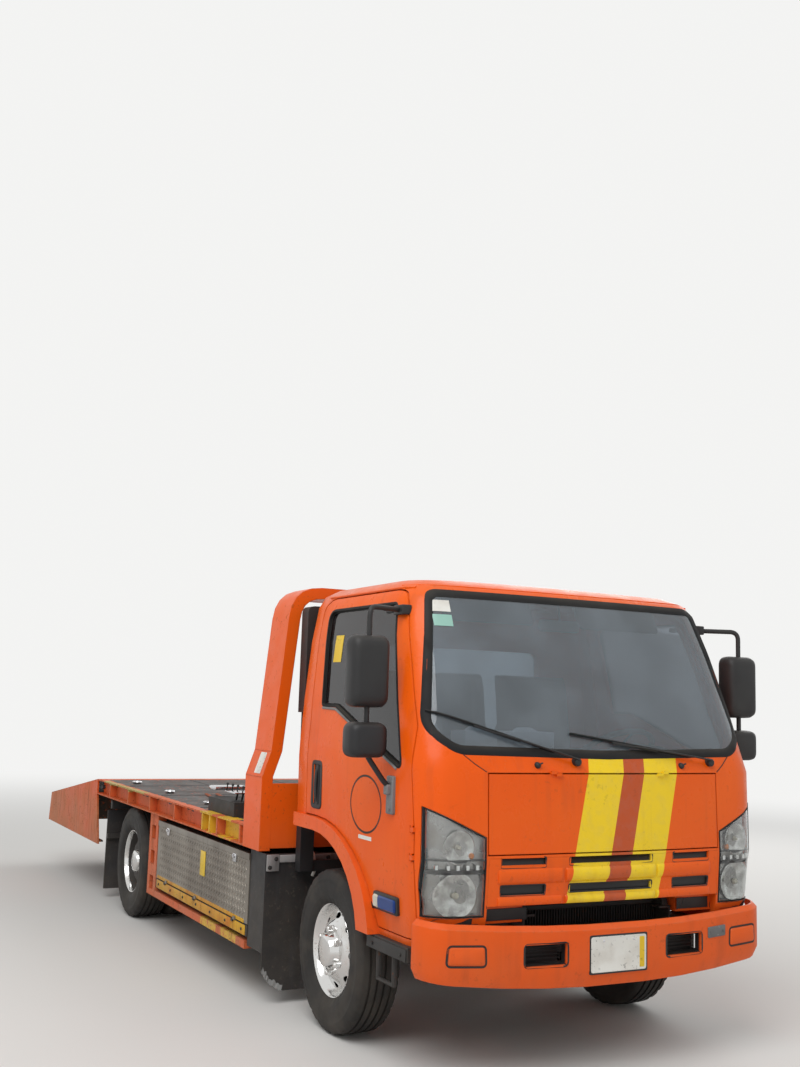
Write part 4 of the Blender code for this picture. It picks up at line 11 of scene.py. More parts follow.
import bmesh
import bpy
from mathutils import Matrix, Vector
from mathutils.bvhtree import BVHTree


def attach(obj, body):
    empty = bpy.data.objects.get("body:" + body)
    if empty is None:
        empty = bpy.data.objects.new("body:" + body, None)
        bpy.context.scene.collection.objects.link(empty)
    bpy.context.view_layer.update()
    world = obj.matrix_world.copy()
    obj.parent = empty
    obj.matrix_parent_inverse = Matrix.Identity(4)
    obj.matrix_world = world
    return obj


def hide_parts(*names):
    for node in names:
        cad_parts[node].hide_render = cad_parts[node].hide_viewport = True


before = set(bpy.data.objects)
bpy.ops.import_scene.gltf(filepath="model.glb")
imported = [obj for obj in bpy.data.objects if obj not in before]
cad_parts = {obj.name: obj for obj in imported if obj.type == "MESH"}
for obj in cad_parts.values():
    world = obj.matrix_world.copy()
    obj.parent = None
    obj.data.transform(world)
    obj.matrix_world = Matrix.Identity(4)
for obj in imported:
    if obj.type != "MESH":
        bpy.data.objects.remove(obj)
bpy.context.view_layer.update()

log = logging.getLogger("truck")

Colour = tuple[float, float, float]
Point = tuple[float, float, float]
Pair = tuple[float, float]
Rows = list[list[Vector]]
Socket = bpy.types.NodeSocket
Placer = Callable[[float, float, float], Vector]

FRONT_AXLE_Y = -2.590
REAR_AXLE_Y = 0.775
AXLE_Z = 0.395
SIDES = {"right": -1, "left": 1}
SMOOTH_ANGLE = radians(34.0)
WELD_DISTANCE = 1e-5
MOST_OF_HALF = 0.49
NOSE_VIEW_Y = -6.0
NOSE_LIMIT_Y = -3.0
SIDE_VIEW_X = 3.0
SIDE_LIMIT_X = 0.5
EULER = 2.718


def side_of(hand: int) -> str:
    """The side's name for -1 or 1."""
    return "right" if hand < 0 else "left"


# Node graphs

class Graph:
    """Adds nodes to one material and links them, in object coordinates."""

    def __init__(self, name: str) -> None:
        """Starts an empty material.

        Args:
            name: the material's name.
        """
        self.material = bpy.data.materials.new(name)
        self.material.use_nodes = True
        self.tree = self.material.node_tree
        self.tree.nodes.clear()
        self.output = self.tree.nodes.new("ShaderNodeOutputMaterial")
        self.place = self.tree.nodes.new("ShaderNodeTexCoord").outputs["Object"]

    def add(self, kind: str, inputs: Optional[dict] = None, **settings: object) -> bpy.types.Node:
        """Adds a node.

        Args:
            kind: Blender's type of node, without its ShaderNode prefix.
            inputs: values or sockets by the input's name or number.
            settings: the node's own properties.

        Returns:
            The new node.
        """
        node = self.tree.nodes.new("ShaderNode" + kind)
        for key, value in settings.items():
            setattr(node, key, value)
        for key, value in (inputs or {}).items():
            self.feed(node.inputs[key], value)
        return node

    def feed(self, socket: Socket, value: object) -> None:
        """Links a socket to an input, or sets the input's value."""
        if isinstance(value, Socket):
            self.tree.links.new(value, socket)
        elif isinstance(value, tuple) and len(value) == 3 and socket.type == "RGBA":
            socket.default_value = (*value, 1.0)
        else:
            socket.default_value = value

    def noise(self, scale: float, detail: float = 3.0, stretch: Point = (1, 1, 1)) -> Socket:
        """A cloud from 0 to 1 with a period of about one over scale metres."""
        spot = self.add("Mapping", {"Vector": self.place, "Scale": stretch}).outputs[0]
        made = self.add("TexNoise", {"Vector": spot, "Scale": scale, "Detail": detail})
        return made.outputs["Fac"]

    def step(self, value: object, low: float, high: float, to_low: float = 0.0,
             to_high: float = 1.0) -> Socket:
        """A smooth step of a value from low to high."""
        made = self.add("MapRange", {0: value, 1: low, 2: high, 3: to_low, 4: to_high},
                        interpolation_type="SMOOTHSTEP")
        return made.outputs[0]

    def sum(self, operation: str, first: object, second: object = 0.0,
            third: object = 0.0) -> Socket:
        """One sum, such as ADD or MULTIPLY, of values or sockets."""
        return self.add("Math", {0: first, 1: second, 2: third}, operation=operation).outputs[0]

    def blend(self, share: object, first: object, second: object) -> Socket:
        """A colour that goes from first to second by share."""
        made = self.add("Mix", {0: share, 6: first, 7: second}, data_type="RGBA")
        return made.outputs[2]

    def axis(self, name: str) -> Socket:
        """The object coordinate along X, Y or Z."""
        return self.add("SeparateXYZ", {0: self.place}).outputs[name]

    def bump(self, height: Socket, strength: float, distance: float,
             under: Optional[Socket] = None) -> Socket:
        """A normal that is bumped by a height, over another normal if one is given."""
        fed = {"Strength": strength, "Distance": distance, "Height": height}
        if under is not None:
            fed["Normal"] = under
        return self.add("Bump", fed).outputs[0]

    def shade(self, **inputs: object) -> bpy.types.Material:
        """Ends the graph in a Principled shader.

        Args:
            inputs: its inputs by name, with underscores for spaces.

        Returns:
            The finished material.
        """
        fed = {key.replace("_", " "): value for key, value in inputs.items()}
        shader = self.add("BsdfPrincipled", fed)
        self.tree.links.new(shader.outputs[0], self.output.inputs[0])
        return self.material


# Finishes

class Mask(Enum):
    """Where a layer of dirt, wear or tint lies on a surface."""

    PATCHES = "patches"
    SPECKS = "specks"
    LOW = "low"
    EDGES = "edges"
    STREAKS = "streaks"
    TOPS = "tops"


@dataclass(frozen=True)
class Layer:
    """One layer over a finish: dust, rust, bare metal, faded paint or grime."""

    mask: Mask
    colour: Colour
    amount: float = 0.5
    roughness: float = 0.85
    scale: float = 4.0
    bare: float = 0.0


@dataclass(frozen=True)
class Finish:
    """A surface with its usual slot, its layers, grain and gloss."""

    name: str
    slot: Optional[str]
    colour: Colour
    roughness: float = 0.5
    metal: float = 0.0
    coat: float = 0.0
    shine: float = 0.32
    drift: Optional[Colour] = None
    drift_scale: float = 1.6
    grain: float = 0.15
    grain_scale: float = 420.0
    grain_depth: float = 0.0004
    wave: float = 0.0
    round_edge: float = 0.0
    layers: tuple[Layer, ...] = ()
    paint: Optional[Callable[[Graph, object], object]] = None

    def mask(self, graph: Graph, layer: Layer) -> Socket:
        """The share of a layer at each point.

        Args:
            graph: the material's graph.
            layer: the layer to place.

        Returns:
            A socket from 0 to the layer's amount.
        """
        cloud = graph.noise(layer.scale, 6.0)
        if layer.mask is Mask.PATCHES:
            share = graph.step(cloud, 0.48, 0.68)
        elif layer.mask is Mask.SPECKS:
            fine = graph.noise(layer.scale * 9, 4.0)
            share = graph.sum("MULTIPLY", graph.step(fine, 0.60, 0.68), graph.step(cloud, 0.40, 0.60))
        elif layer.mask is Mask.LOW:
            height = graph.step(graph.axis("Z"), 0.15, 1.15, 1.0, 0.0)
            share = graph.sum("MULTIPLY", height, graph.step(cloud, 0.25, 0.75, 0.35, 1.0))
        elif layer.mask is Mask.STREAKS:
            run = graph.noise(layer.scale * 5, 3.0, (1.0, 1.0, 0.06))
            share = graph.sum("MULTIPLY", graph.step(run, 0.50, 0.72), graph.step(cloud, 0.35, 0.65))
        elif layer.mask is Mask.TOPS:
            normal = graph.add("NewGeometry").outputs["Normal"]
            up = graph.add("SeparateXYZ", {0: normal}).outputs["Z"]
            share = graph.sum("MULTIPLY", graph.step(up, 0.3, 0.95), graph.step(cloud, 0.30, 0.70, 0.4, 1.0))
        else:
            soft = graph.add("Bevel", {"Radius": 0.010}, samples=4).outputs[0]
            flat = graph.add("NewGeometry").outputs["Normal"]
            turn = graph.add("VectorMath", {0: soft, 1: flat}, operation="DOT_PRODUCT").outputs["Value"]
            fine = graph.noise(layer.scale * 6, 5.0)
            share = graph.sum("MULTIPLY", graph.step(turn, 0.995, 0.90), graph.step(fine, 0.38, 0.62))
        return graph.sum("MULTIPLY", share, layer.amount)

    @cache
    def make(self) -> bpy.types.Material:
        """Makes the material.

        Returns:
            The node material, one for each finish.
        """
        graph = Graph(f"look_{self.name}")
        tone = self.drift or tuple(0.86 * part for part in self.colour)
        colour = graph.blend(graph.step(graph.noise(self.drift_scale, 4.0), 0.30, 0.72), self.colour, tone)
        painter = self.paint
        rough = graph.sum("ADD", self.roughness, graph.step(graph.noise(9.0, 5.0), 0.3, 0.7, -0.06, 0.07))
        metal: object = self.metal
        for layer in self.layers:
            if painter is not None and layer.mask is not Mask.PATCHES:
                colour = painter(graph, colour)
                painter = None
            share = self.mask(graph, layer)
            speckle = graph.noise(160.0, 3.0)
            deep = tuple(0.62 * part for part in layer.colour)
            colour = graph.blend(share, colour, graph.blend(speckle, deep, layer.colour))
            rough = graph.add("Mix", {0: share, 2: rough, 3: layer.roughness}).outputs[0]
            if self.metal != layer.bare:
                metal = graph.add("Mix", {0: share, 2: metal, 3: layer.bare}).outputs[0]
        normal = None
        if self.round_edge:
            normal = graph.add("Bevel", {"Radius": self.round_edge}, samples=4).outputs[0]
        if self.wave:
            normal = graph.bump(graph.noise(7.0, 2.0), 0.35, self.wave, normal)
        normal = graph.bump(graph.noise(self.grain_scale, 3.0), self.grain, self.grain_depth, normal)
        return graph.shade(Base_Color=colour, Roughness=rough, Metallic=metal, Normal=normal,
                           Coat_Weight=self.coat, Coat_Roughness=0.08, Specular_IOR_Level=self.shine)


DUST = (0.42, 0.34, 0.25)
RUST = (0.20, 0.065, 0.022)
GRIME = (0.030, 0.026, 0.022)
BARE = (0.42, 0.41, 0.40)
YELLOW = (0.86, 0.60, 0.02)
BRICK = (0.50, 0.085, 0.022)


@dataclass(frozen=True)
class Band:
    """A painted stripe up the nose, between two slanted lines."""

    low_edge: float
    high_edge: float
    colour: Colour


STRIPES = (
    Band(-0.205, -0.003, YELLOW),
    Band(-0.003, 0.121, BRICK),
    Band(0.121, 0.323, YELLOW),
)
STRIPE_SLOPE = 0.220
STRIPE_BASE_Z = 0.975
STRIPE_REAR_Y = -3.420


def nose_stripes(graph: Graph, colour: object) -> object:
    """Paints the slanted stripes on the nose over the base colour."""
    lean = graph.sum("MULTIPLY_ADD", graph.sum("SUBTRACT", graph.axis("Z"), STRIPE_BASE_Z), -STRIPE_SLOPE,
                     graph.axis("X"))
    fore = graph.sum("LESS_THAN", graph.axis("Y"), STRIPE_REAR_Y)
    faded = graph.step(graph.noise(26.0, 5.0), 0.42, 0.66, 0.0, 0.16)
    for band in STRIPES:
        after = graph.sum("GREATER_THAN", lean, band.low_edge)
        before = graph.sum("LESS_THAN", lean, band.high_edge)
        share = graph.sum("MULTIPLY", graph.sum("MULTIPLY", after, before), fore)
        tone = graph.blend(faded, band.colour, tuple(0.6 * part + 0.1 for part in band.colour))
        colour = graph.blend(share, colour, tone)
    return colour


@dataclass(frozen=True)
class Patch:
    """A painted patch on the bed, a box in object coordinates."""

    low: Point
    high: Point
    colour: Colour


def patches(*marks: Patch, low: float = 0.36, high: float = 0.50) -> Callable[[Graph, object], object]:
    """Returns a painter that lays patches over the base colour, flaked off where a noise is low."""

    def paint(graph: Graph, colour: object) -> object:
        """Lays the patches, with flaked edges."""
        flake = graph.step(graph.noise(34.0, 5.0), low, high)
        edge = graph.step(graph.noise(18.0, 4.0), 0.0, 1.0, -0.02, 0.02)
        for mark in marks:
            share: object = flake
            for name, start, end in zip("XYZ", mark.low, mark.high):
                along = graph.sum("ADD", graph.axis(name), edge)
                share = graph.sum("MULTIPLY", share, graph.sum("GREATER_THAN", along, start))
                share = graph.sum("MULTIPLY", share, graph.sum("LESS_THAN", along, end))
            colour = graph.blend(share, colour, mark.colour)
        return colour

    return paint


ORANGE = (0.80, 0.096, 0.002)
FADED = (0.80, 0.116, 0.006)
DARK_FLOOR = (0.030, 0.027, 0.026)
WORN_YELLOW = (0.74, 0.44, 0.02)
PALE_YELLOW = (0.46, 0.36, 0.10)


def local(low: Point, high: Point, colour: Colour) -> Patch:
    """A patch between two corners measured behind the front axle."""
    return Patch((low[0], low[1] + FRONT_AXLE_Y, low[2]), (high[0], high[1] + FRONT_AXLE_Y, high[2]), colour)


BED_MARKS = patches(
    local((-1.032, 0.665, 0.890), (1.032, 4.300, 0.960), DARK_FLOOR),
    *(local((left, front, 0.805), (right, rear, 0.925), WORN_YELLOW)
      for left, right in ((-1.100, -1.000), (1.000, 1.100))
      for front, rear in ((1.460, 1.690), (1.120, 1.360))),
    local((-1.100, 3.000, 0.895), (-1.050, 4.200, 0.925), PALE_YELLOW),
    low=0.26, high=0.40,
)
TAIL_MARKS = patches(local((-1.032, 4.200, 0.100), (1.032, 6.180, 1.200), DARK_FLOOR), low=0.30, high=0.42)
GUARD_MARKS = patches(
    *(local((left, front, 0.240), (right, rear, 0.295), WORN_YELLOW)
      for left, right in ((-1.100, -0.900), (0.900, 1.100))
      for front, rear in ((1.360, 1.640), (1.000, 1.260))),
)
CAB_LAYERS = (
    Layer(Mask.LOW, DUST, 0.12, 0.75, 5.0),
    Layer(Mask.TOPS, DUST, 0.10, 0.70, 3.0),
    Layer(Mask.STREAKS, (0.30, 0.07, 0.03), 0.22, 0.6, 3.0),
    Layer(Mask.SPECKS, GRIME, 0.16, 0.7, 5.0),
)
BED_LAYERS = (
    Layer(Mask.PATCHES, (0.62, 0.17, 0.05), 0.45, 0.7, 3.2),
    Layer(Mask.LOW, DUST, 0.35, 0.85, 5.0),
    Layer(Mask.STREAKS, RUST, 0.55, 0.85, 4.0),
    Layer(Mask.SPECKS, RUST, 0.75, 0.9, 7.0),
    Layer(Mask.EDGES, RUST, 0.75, 0.9, 8.0),
)
STEEL_LAYERS = (
    Layer(Mask.PATCHES, GRIME, 0.6, 0.8, 3.0),
    Layer(Mask.SPECKS, RUST, 0.6, 0.9, 6.0),
    Layer(Mask.LOW, DUST, 0.55, 0.9, 4.0),
)


class Finishes:
    """The truck's finishes by name."""

    nose = Finish("nose_paint", "orange_paint", ORANGE, 0.30, coat=0.07, shine=0.20, drift=FADED,
                  layers=CAB_LAYERS,
                  wave=0.0015, round_edge=0.004, paint=nose_stripes)
    cab = replace(nose, name="cab_paint", roughness=0.32, coat=0.06, shine=0.16, wave=0.002, paint=None)
    bumper = Finish("bumper_paint", "orange_paint", (0.80, 0.094, 0.003), 0.42, coat=0.06, shine=0.18,
                    drift=(0.78, 0.106, 0.006),
                    layers=CAB_LAYERS + (Layer(Mask.EDGES, (0.70, 0.22, 0.10), 0.5, 0.7, 8.0),), wave=0.002,
                    round_edge=0.008)
    bed = Finish("bed_paint", None, (0.68, 0.092, 0.006), 0.50, drift=(0.62, 0.12, 0.030), layers=BED_LAYERS,
                 wave=0.002, round_edge=0.003, paint=BED_MARKS)
    guard = replace(bed, name="guard_paint", paint=GUARD_MARKS)
    tail = replace(bed, name="tail_paint", drift=(0.58, 0.15, 0.040), paint=TAIL_MARKS)
    hoop = Finish("hoop_paint", "orange_paint", (0.78, 0.096, 0.003), 0.36, coat=0.06, shine=0.18,
                  drift=(0.74, 0.110, 0.008),
                  layers=(Layer(Mask.LOW, DUST, 0.3, 0.8, 5.0), Layer(Mask.SPECKS, RUST, 0.4, 0.9, 6.0),
                          Layer(Mask.EDGES, (0.55, 0.16, 0.07), 0.5, 0.8, 7.0)),
                  wave=0.0015, round_edge=0.006)
    black_steel = Finish("black_steel", "black_steel", (0.022, 0.022, 0.024), 0.6,
                         drift=(0.035, 0.033, 0.031),
                         layers=(Layer(Mask.LOW, DUST, 0.10, 0.9, 4.0),
                                 Layer(Mask.SPECKS, RUST, 0.5, 0.9, 6.0)), grain=0.3, round_edge=0.003)
    deck_steel = Finish("deck_steel", "deck_steel", (0.10, 0.10, 0.105), 0.5, metal=0.7,
                        drift=(0.06, 0.06, 0.065),
                        layers=STEEL_LAYERS, grain=0.3, wave=0.003, round_edge=0.003)
    plastic = Finish("black_plastic", "black_plastic", (0.018, 0.018, 0.020), 0.48,
                     drift=(0.030, 0.029, 0.028),
                     layers=(Layer(Mask.LOW, DUST, 0.04, 0.8, 5.0), Layer(Mask.TOPS, DUST, 0.05, 0.8, 4.0)),
                     grain=0.35, grain_scale=700.0, round_edge=0.004)
    rubber = Finish("soft_rubber", "black_plastic", (0.013, 0.013, 0.014), 0.62, shine=0.18,
                    drift=(0.022, 0.021, 0.020), grain=0.3,
                    layers=(Layer(Mask.TOPS, DUST, 0.10, 0.9, 6.0),))
    flap = Finish("flap_rubber", None, (0.012, 0.013, 0.016), 0.55, drift=(0.020, 0.021, 0.025), wave=0.006,
                  layers=(Layer(Mask.LOW, DUST, 0.14, 0.9, 5.0), Layer(Mask.SPECKS, DUST, 0.10, 0.9, 5.0),
                          Layer(Mask.STREAKS, (0.08, 0.08, 0.09), 0.30, 0.7, 4.0)), grain=0.3)
    tyre = Finish("tyre_rubber", "tyre_rubber", (0.014, 0.014, 0.015), 0.70, drift=(0.022, 0.021, 0.020),
                  grain=0.4,
                  layers=(Layer(Mask.LOW, DUST, 0.07, 0.95, 7.0), Layer(Mask.PATCHES, DUST, 0.05, 0.95, 6.0)))
    chrome = Finish("wheel_chrome", "wheel_chrome", (0.78, 0.78, 0.77), 0.13, metal=1.0,
                    drift=(0.62, 0.61, 0.60),
                    layers=(Layer(Mask.PATCHES, DUST, 0.22, 0.7, 9.0),
                            Layer(Mask.SPECKS, RUST, 0.45, 0.8, 9.0)),
                    grain=0.05, round_edge=0.002)
    rod = Finish("rod_chrome", "rod_chrome", (0.78, 0.78, 0.80), 0.14, metal=1.0, drift=(0.60, 0.60, 0.62),
                 grain=0.05,
                 layers=(Layer(Mask.PATCHES, GRIME, 0.3, 0.6, 8.0),))
    tread = Finish("tread_plate", "tread_plate", (0.34, 0.31, 0.27), 0.34, metal=0.92,
                   drift=(0.19, 0.165, 0.14),
                   drift_scale=3.0, layers=(Layer(Mask.LOW, (0.24, 0.20, 0.15), 0.35, 0.8, 5.0),
                                            Layer(Mask.STREAKS, GRIME, 0.35, 0.6, 4.0)),
                   grain=0.1, wave=0.010, round_edge=0.002)
    tank = Finish("tank_steel", "tank_steel", (0.36, 0.36, 0.37), 0.40, metal=0.8, drift=(0.24, 0.24, 0.25),
                  wave=0.003,
                  layers=(Layer(Mask.LOW, DUST, 0.6, 0.9, 4.0), Layer(Mask.STREAKS, GRIME, 0.5, 0.8, 4.0)),
                  round_edge=0.006)
    iron = Finish("cast_iron", None, (0.055, 0.052, 0.050), 0.75, metal=0.3, drift=(0.080, 0.050, 0.035),
                  layers=(Layer(Mask.SPECKS, RUST, 0.7, 0.95, 6.0), Layer(Mask.LOW, DUST, 0.4, 0.95, 5.0)),
                  grain=0.6, grain_scale=260.0, round_edge=0.004)
    engine = Finish("engine_metal", None, (0.17, 0.17, 0.175), 0.65, metal=0.5, drift=(0.09, 0.085, 0.08),
                    layers=(Layer(Mask.PATCHES, GRIME, 0.7, 0.7, 5.0), Layer(Mask.TOPS, DUST, 0.4, 0.9, 5.0)),
                    grain=0.5, grain_scale=240.0, round_edge=0.006)
    trim = Finish("cab_trim", "cab_trim", (0.10, 0.098, 0.094), 0.72, drift=(0.075, 0.073, 0.070), grain=0.4,
                  grain_scale=600.0, round_edge=0.005, layers=(Layer(Mask.TOPS, DUST, 0.25, 0.9, 6.0),))
    dark_trim = Finish("dash_trim", "cab_trim", (0.035, 0.035, 0.037), 0.62, drift=(0.05, 0.049, 0.047),
                       grain=0.4,
                       grain_scale=600.0, round_edge=0.005, layers=(Layer(Mask.TOPS, DUST, 0.25, 0.9, 6.0),))


@dataclass(frozen=True)
class Glass:
    """Clear or tinted glass."""

    name: str
    colour: Colour = (0.62, 0.68, 0.67)
    roughness: float = 0.02
    haze: Pair = (0.0, 0.10)
    dust_and_reflection_colour: Colour = DUST
    slot: Optional[str] = "lamp_glass"

    @cache
    def make(self) -> bpy.types.Material:
        """Makes the glass, with a dusty veil on the lamp lens and a veil of painted reflection on the
        windscreen and door glass.

        Returns:
            The node material.
        """
        graph = Graph(f"look_{self.name}")
        # The veil is dust where its colour is DUST; on the windscreen and door glass it is painted
        # reflection.
        dust_and_reflection_film = graph.step(graph.noise(3.0, 6.0), 0.35, 0.80, *self.haze)
        low = graph.sum("ADD", self.roughness, graph.sum("MULTIPLY", dust_and_reflection_film, 0.04))
        clear = graph.sum("SUBTRACT", 1.0, dust_and_reflection_film)
        tint = graph.blend(dust_and_reflection_film, self.colour, self.dust_and_reflection_colour)
        return graph.shade(Base_Color=tint, Roughness=low, Transmission_Weight=clear, IOR=1.45)


# The windscreen's and door glass's dark tint is painted shade that dims the cab's inside, and their blue-grey
# and near-black veil is painted reflection.
SCREEN = Glass("screen_glass", (0.46, 0.52, 0.57), haze=(0.16, 0.34), dust_and_reflection_colour=(0.09, 0.125, 0.165))
DOOR_GLASS = Glass("door_glass", (0.14, 0.14, 0.15), haze=(0.06, 0.17), dust_and_reflection_colour=(0.050, 0.050, 0.056))
LENS = Glass("lamp_lens", (0.90, 0.92, 0.92))


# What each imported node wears, by its name or by its name without the side

NODE_FINISHES: dict[str, Finish | Glass] = {name: finish for finish, names in (
    (Finishes.nose, "front_lid grille cab_shell"),
    (Finishes.cab, "door"),
    (Finishes.bumper, "bumper"),
    (Finishes.bed, "deck"),
    (Finishes.tail, "beaver_tail"),
    (Finishes.guard, "side_frame"),
    (Finishes.hoop, "headboard"),
    (Finishes.black_steel,
     "winch valve_box slide_cylinder tilt_frame tilt_barrels ladder_frame side_box step"),
    (Finishes.deck_steel, "winch_drum"),
    (Finishes.rod, "slide_rod tilt_rods"),
    (Finishes.engine, "engine"),
    (Finishes.iron, "driveline front_axle rear_axle knuckle"),
    (Finishes.tank, "fuel_tank exhaust"),
    (Finishes.plastic, "air_intake mirrors"),
    (Finishes.flap, "rear_mudflaps front_guard"),
    (Finishes.dark_trim, "dashboard steering_wheel"),
    (Finishes.trim, "seats"),
    (Finishes.tread, "box_lid"),
    (Finishes.tyre, "front_tyre rear_tyre_outer rear_tyre_inner"),
    (Finishes.chrome, "front_rim rear_rims"),
    (SCREEN, "windscreen rear_window"),
    (DOOR_GLASS, "door_glass"),
    (LENS, "headlamp"),
) for name in names.split()}


def smooth_group() -> bpy.types.NodeTree:
    """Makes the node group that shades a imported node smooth, with its sharp edges kept.

    Returns:
        The geometry node group.
    """
    group = bpy.data.node_groups.new("smooth_by_angle", "GeometryNodeTree")
    for way in ("INPUT", "OUTPUT"):
        group.interface.new_socket("Geometry", in_out=way, socket_type="NodeSocketGeometry")
    start, end = group.nodes.new("NodeGroupInput"), group.nodes.new("NodeGroupOutput")
    merge = group.nodes.new("GeometryNodeMergeByDistance")
    merge.inputs["Distance"].default_value = WELD_DISTANCE
    bare = group.nodes.new("GeometryNodeRemoveAttribute")
    bare.inputs["Name"].default_value = "custom_normal"
    whole = group.nodes.new("GeometryNodeSetShadeSmooth")
    edges = group.nodes.new("GeometryNodeSetShadeSmooth")
    edges.domain = "EDGE"
    angle = group.nodes.new("GeometryNodeInputMeshEdgeAngle")
    flat = group.nodes.new("FunctionNodeCompare")
    flat.data_type, flat.operation = "FLOAT", "LESS_THAN"
    flat.inputs[1].default_value = SMOOTH_ANGLE
    chain = (start, merge, bare, whole, edges, end)
    for before, after in zip(chain, chain[1:]):
        group.links.new(before.outputs[0], after.inputs[0])
    group.links.new(angle.outputs["Unsigned Angle"], flat.inputs[0])
    group.links.new(flat.outputs[0], edges.inputs["Shade Smooth"])
    return group


def dress_nodes() -> None:
    """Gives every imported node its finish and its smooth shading."""
    group = smooth_group()
    for name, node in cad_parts.items():
        finish = NODE_FINISHES.get(name) or NODE_FINISHES[name.rsplit("_", 1)[0]]
        material = finish.make()
        node.data.materials.clear()
        node.data.materials.append(material)
        change = node.modifiers.new("smooth", "NODES")
        change.node_group = group
        log.info("node %s wears %s", name, material.name)


# Mesh making. Points are given as distances from the ground under the front axle.

def spot(x: float, y: float, z: float) -> Vector:
    """The frame's point for a place measured behind the front axle."""
    return Vector((x, y + FRONT_AXLE_Y, z))


def spread(low: float, high: float, count: int) -> list[float]:
    """Evenly spaced numbers from low to high, one more than count."""
    return [low + (high - low) * i / count for i in range(count + 1)]


def bend(start: Vector, corner: Vector, end: Vector, steps: int) -> list[Vector]:
    """Points of a smooth turn from start to end round a corner."""
    return [start * (1 - share) ** 2 + corner * 2 * share * (1 - share) + end * share ** 2
            for share in spread(0.0, 1.0, steps)]


def rounded(corners: Sequence[Point], steps: int = 6) -> list[Pair]:
    """A closed outline with its corners rounded.

    Args:
        corners: each corner's two coordinates and its radius.
        steps: points for each round corner, less one.

    Returns:
        The outline's points in order.
    """
    points: list[Pair] = []
    count = len(corners)
    for index, (across, up, radius) in enumerate(corners):
        here = Vector((across, up))
        before = Vector(corners[index - 1][:2]) - here
        after = Vector(corners[(index + 1) % count][:2]) - here
        if radius <= 0:
            points.append((across, up))
            continue
        half = before.angle(after) / 2
        reach = min(radius / tan(half), before.length * MOST_OF_HALF, after.length * MOST_OF_HALF)
        start, end = here + before.normalized() * reach, here + after.normalized() * reach
        points += [(point.x, point.y) for point in bend(start, here, end, steps)]
    return points


def panel(low: Pair, high: Pair, radius: float, steps: int = 6) -> list[Pair]:
    """A rounded rectangle's outline between two corners."""
    (left, floor), (right, top) = low, high
    return rounded([(left, floor, radius), (right, floor, radius), (right, top, radius), (left, top, radius)],
                   steps)


def grown(outline: Sequence[Pair], distance: float) -> list[Pair]:
    """The outline moved outwards by a distance, or inwards if that is negative."""
    count = len(outline)
    area = sum(outline[i - 1][0] * outline[i][1] - outline[i][0] * outline[i - 1][1] for i in range(count))
    turn = 1.0 if area > 0 else -1.0
    moved = []
    for index in range(count):
        before, after = Vector(outline[index - 1]), Vector(outline[(index + 1) % count])
        along = (after - before).normalized()
        out = Vector((along.y, -along.x)) * turn * distance
        moved.append((outline[index][0] + out.x, outline[index][1] + out.y))
    return moved


def dense(outline: Sequence[Pair], reach: float = 0.05) -> list[Pair]:
    """Splits an outline's long edges, so that it can follow a curved surface.

    Args:
        outline: points of a closed outline.
        reach: the longest edge that stays whole.

    Returns:
        The outline with more points.
    """
    found: list[Pair] = []
    for index, here in enumerate(outline):
        after = outline[(index + 1) % len(outline)]
        count = max(1, int((Vector(after) - Vector(here)).length / reach))
        found += [(here[0] + (after[0] - here[0]) * i / count, here[1] + (after[1] - here[1]) * i / count)
                  for i in range(count)]
    return found


def oval(across: float, up: float, wide: float, high: float, steps: int = 32) -> list[Pair]:
    """An ellipse's points."""
    return [(across + wide * cos(2 * pi * i / steps), up + high * sin(2 * pi * i / steps))
            for i in range(steps)]


def bent_path(points: Sequence[Vector], radius: float, steps: int = 6) -> list[Vector]:
    """An open path with its corners rounded."""
    made = [points[0]]
    for before, here, after in zip(points, points[1:], points[2:]):
        back, ahead = before - here, after - here
        reach = min(radius, back.length * MOST_OF_HALF, ahead.length * MOST_OF_HALF)
        made += bend(here + back.normalized() * reach, here, here + ahead.normalized() * reach, steps)
    made.append(points[-1])
    return made


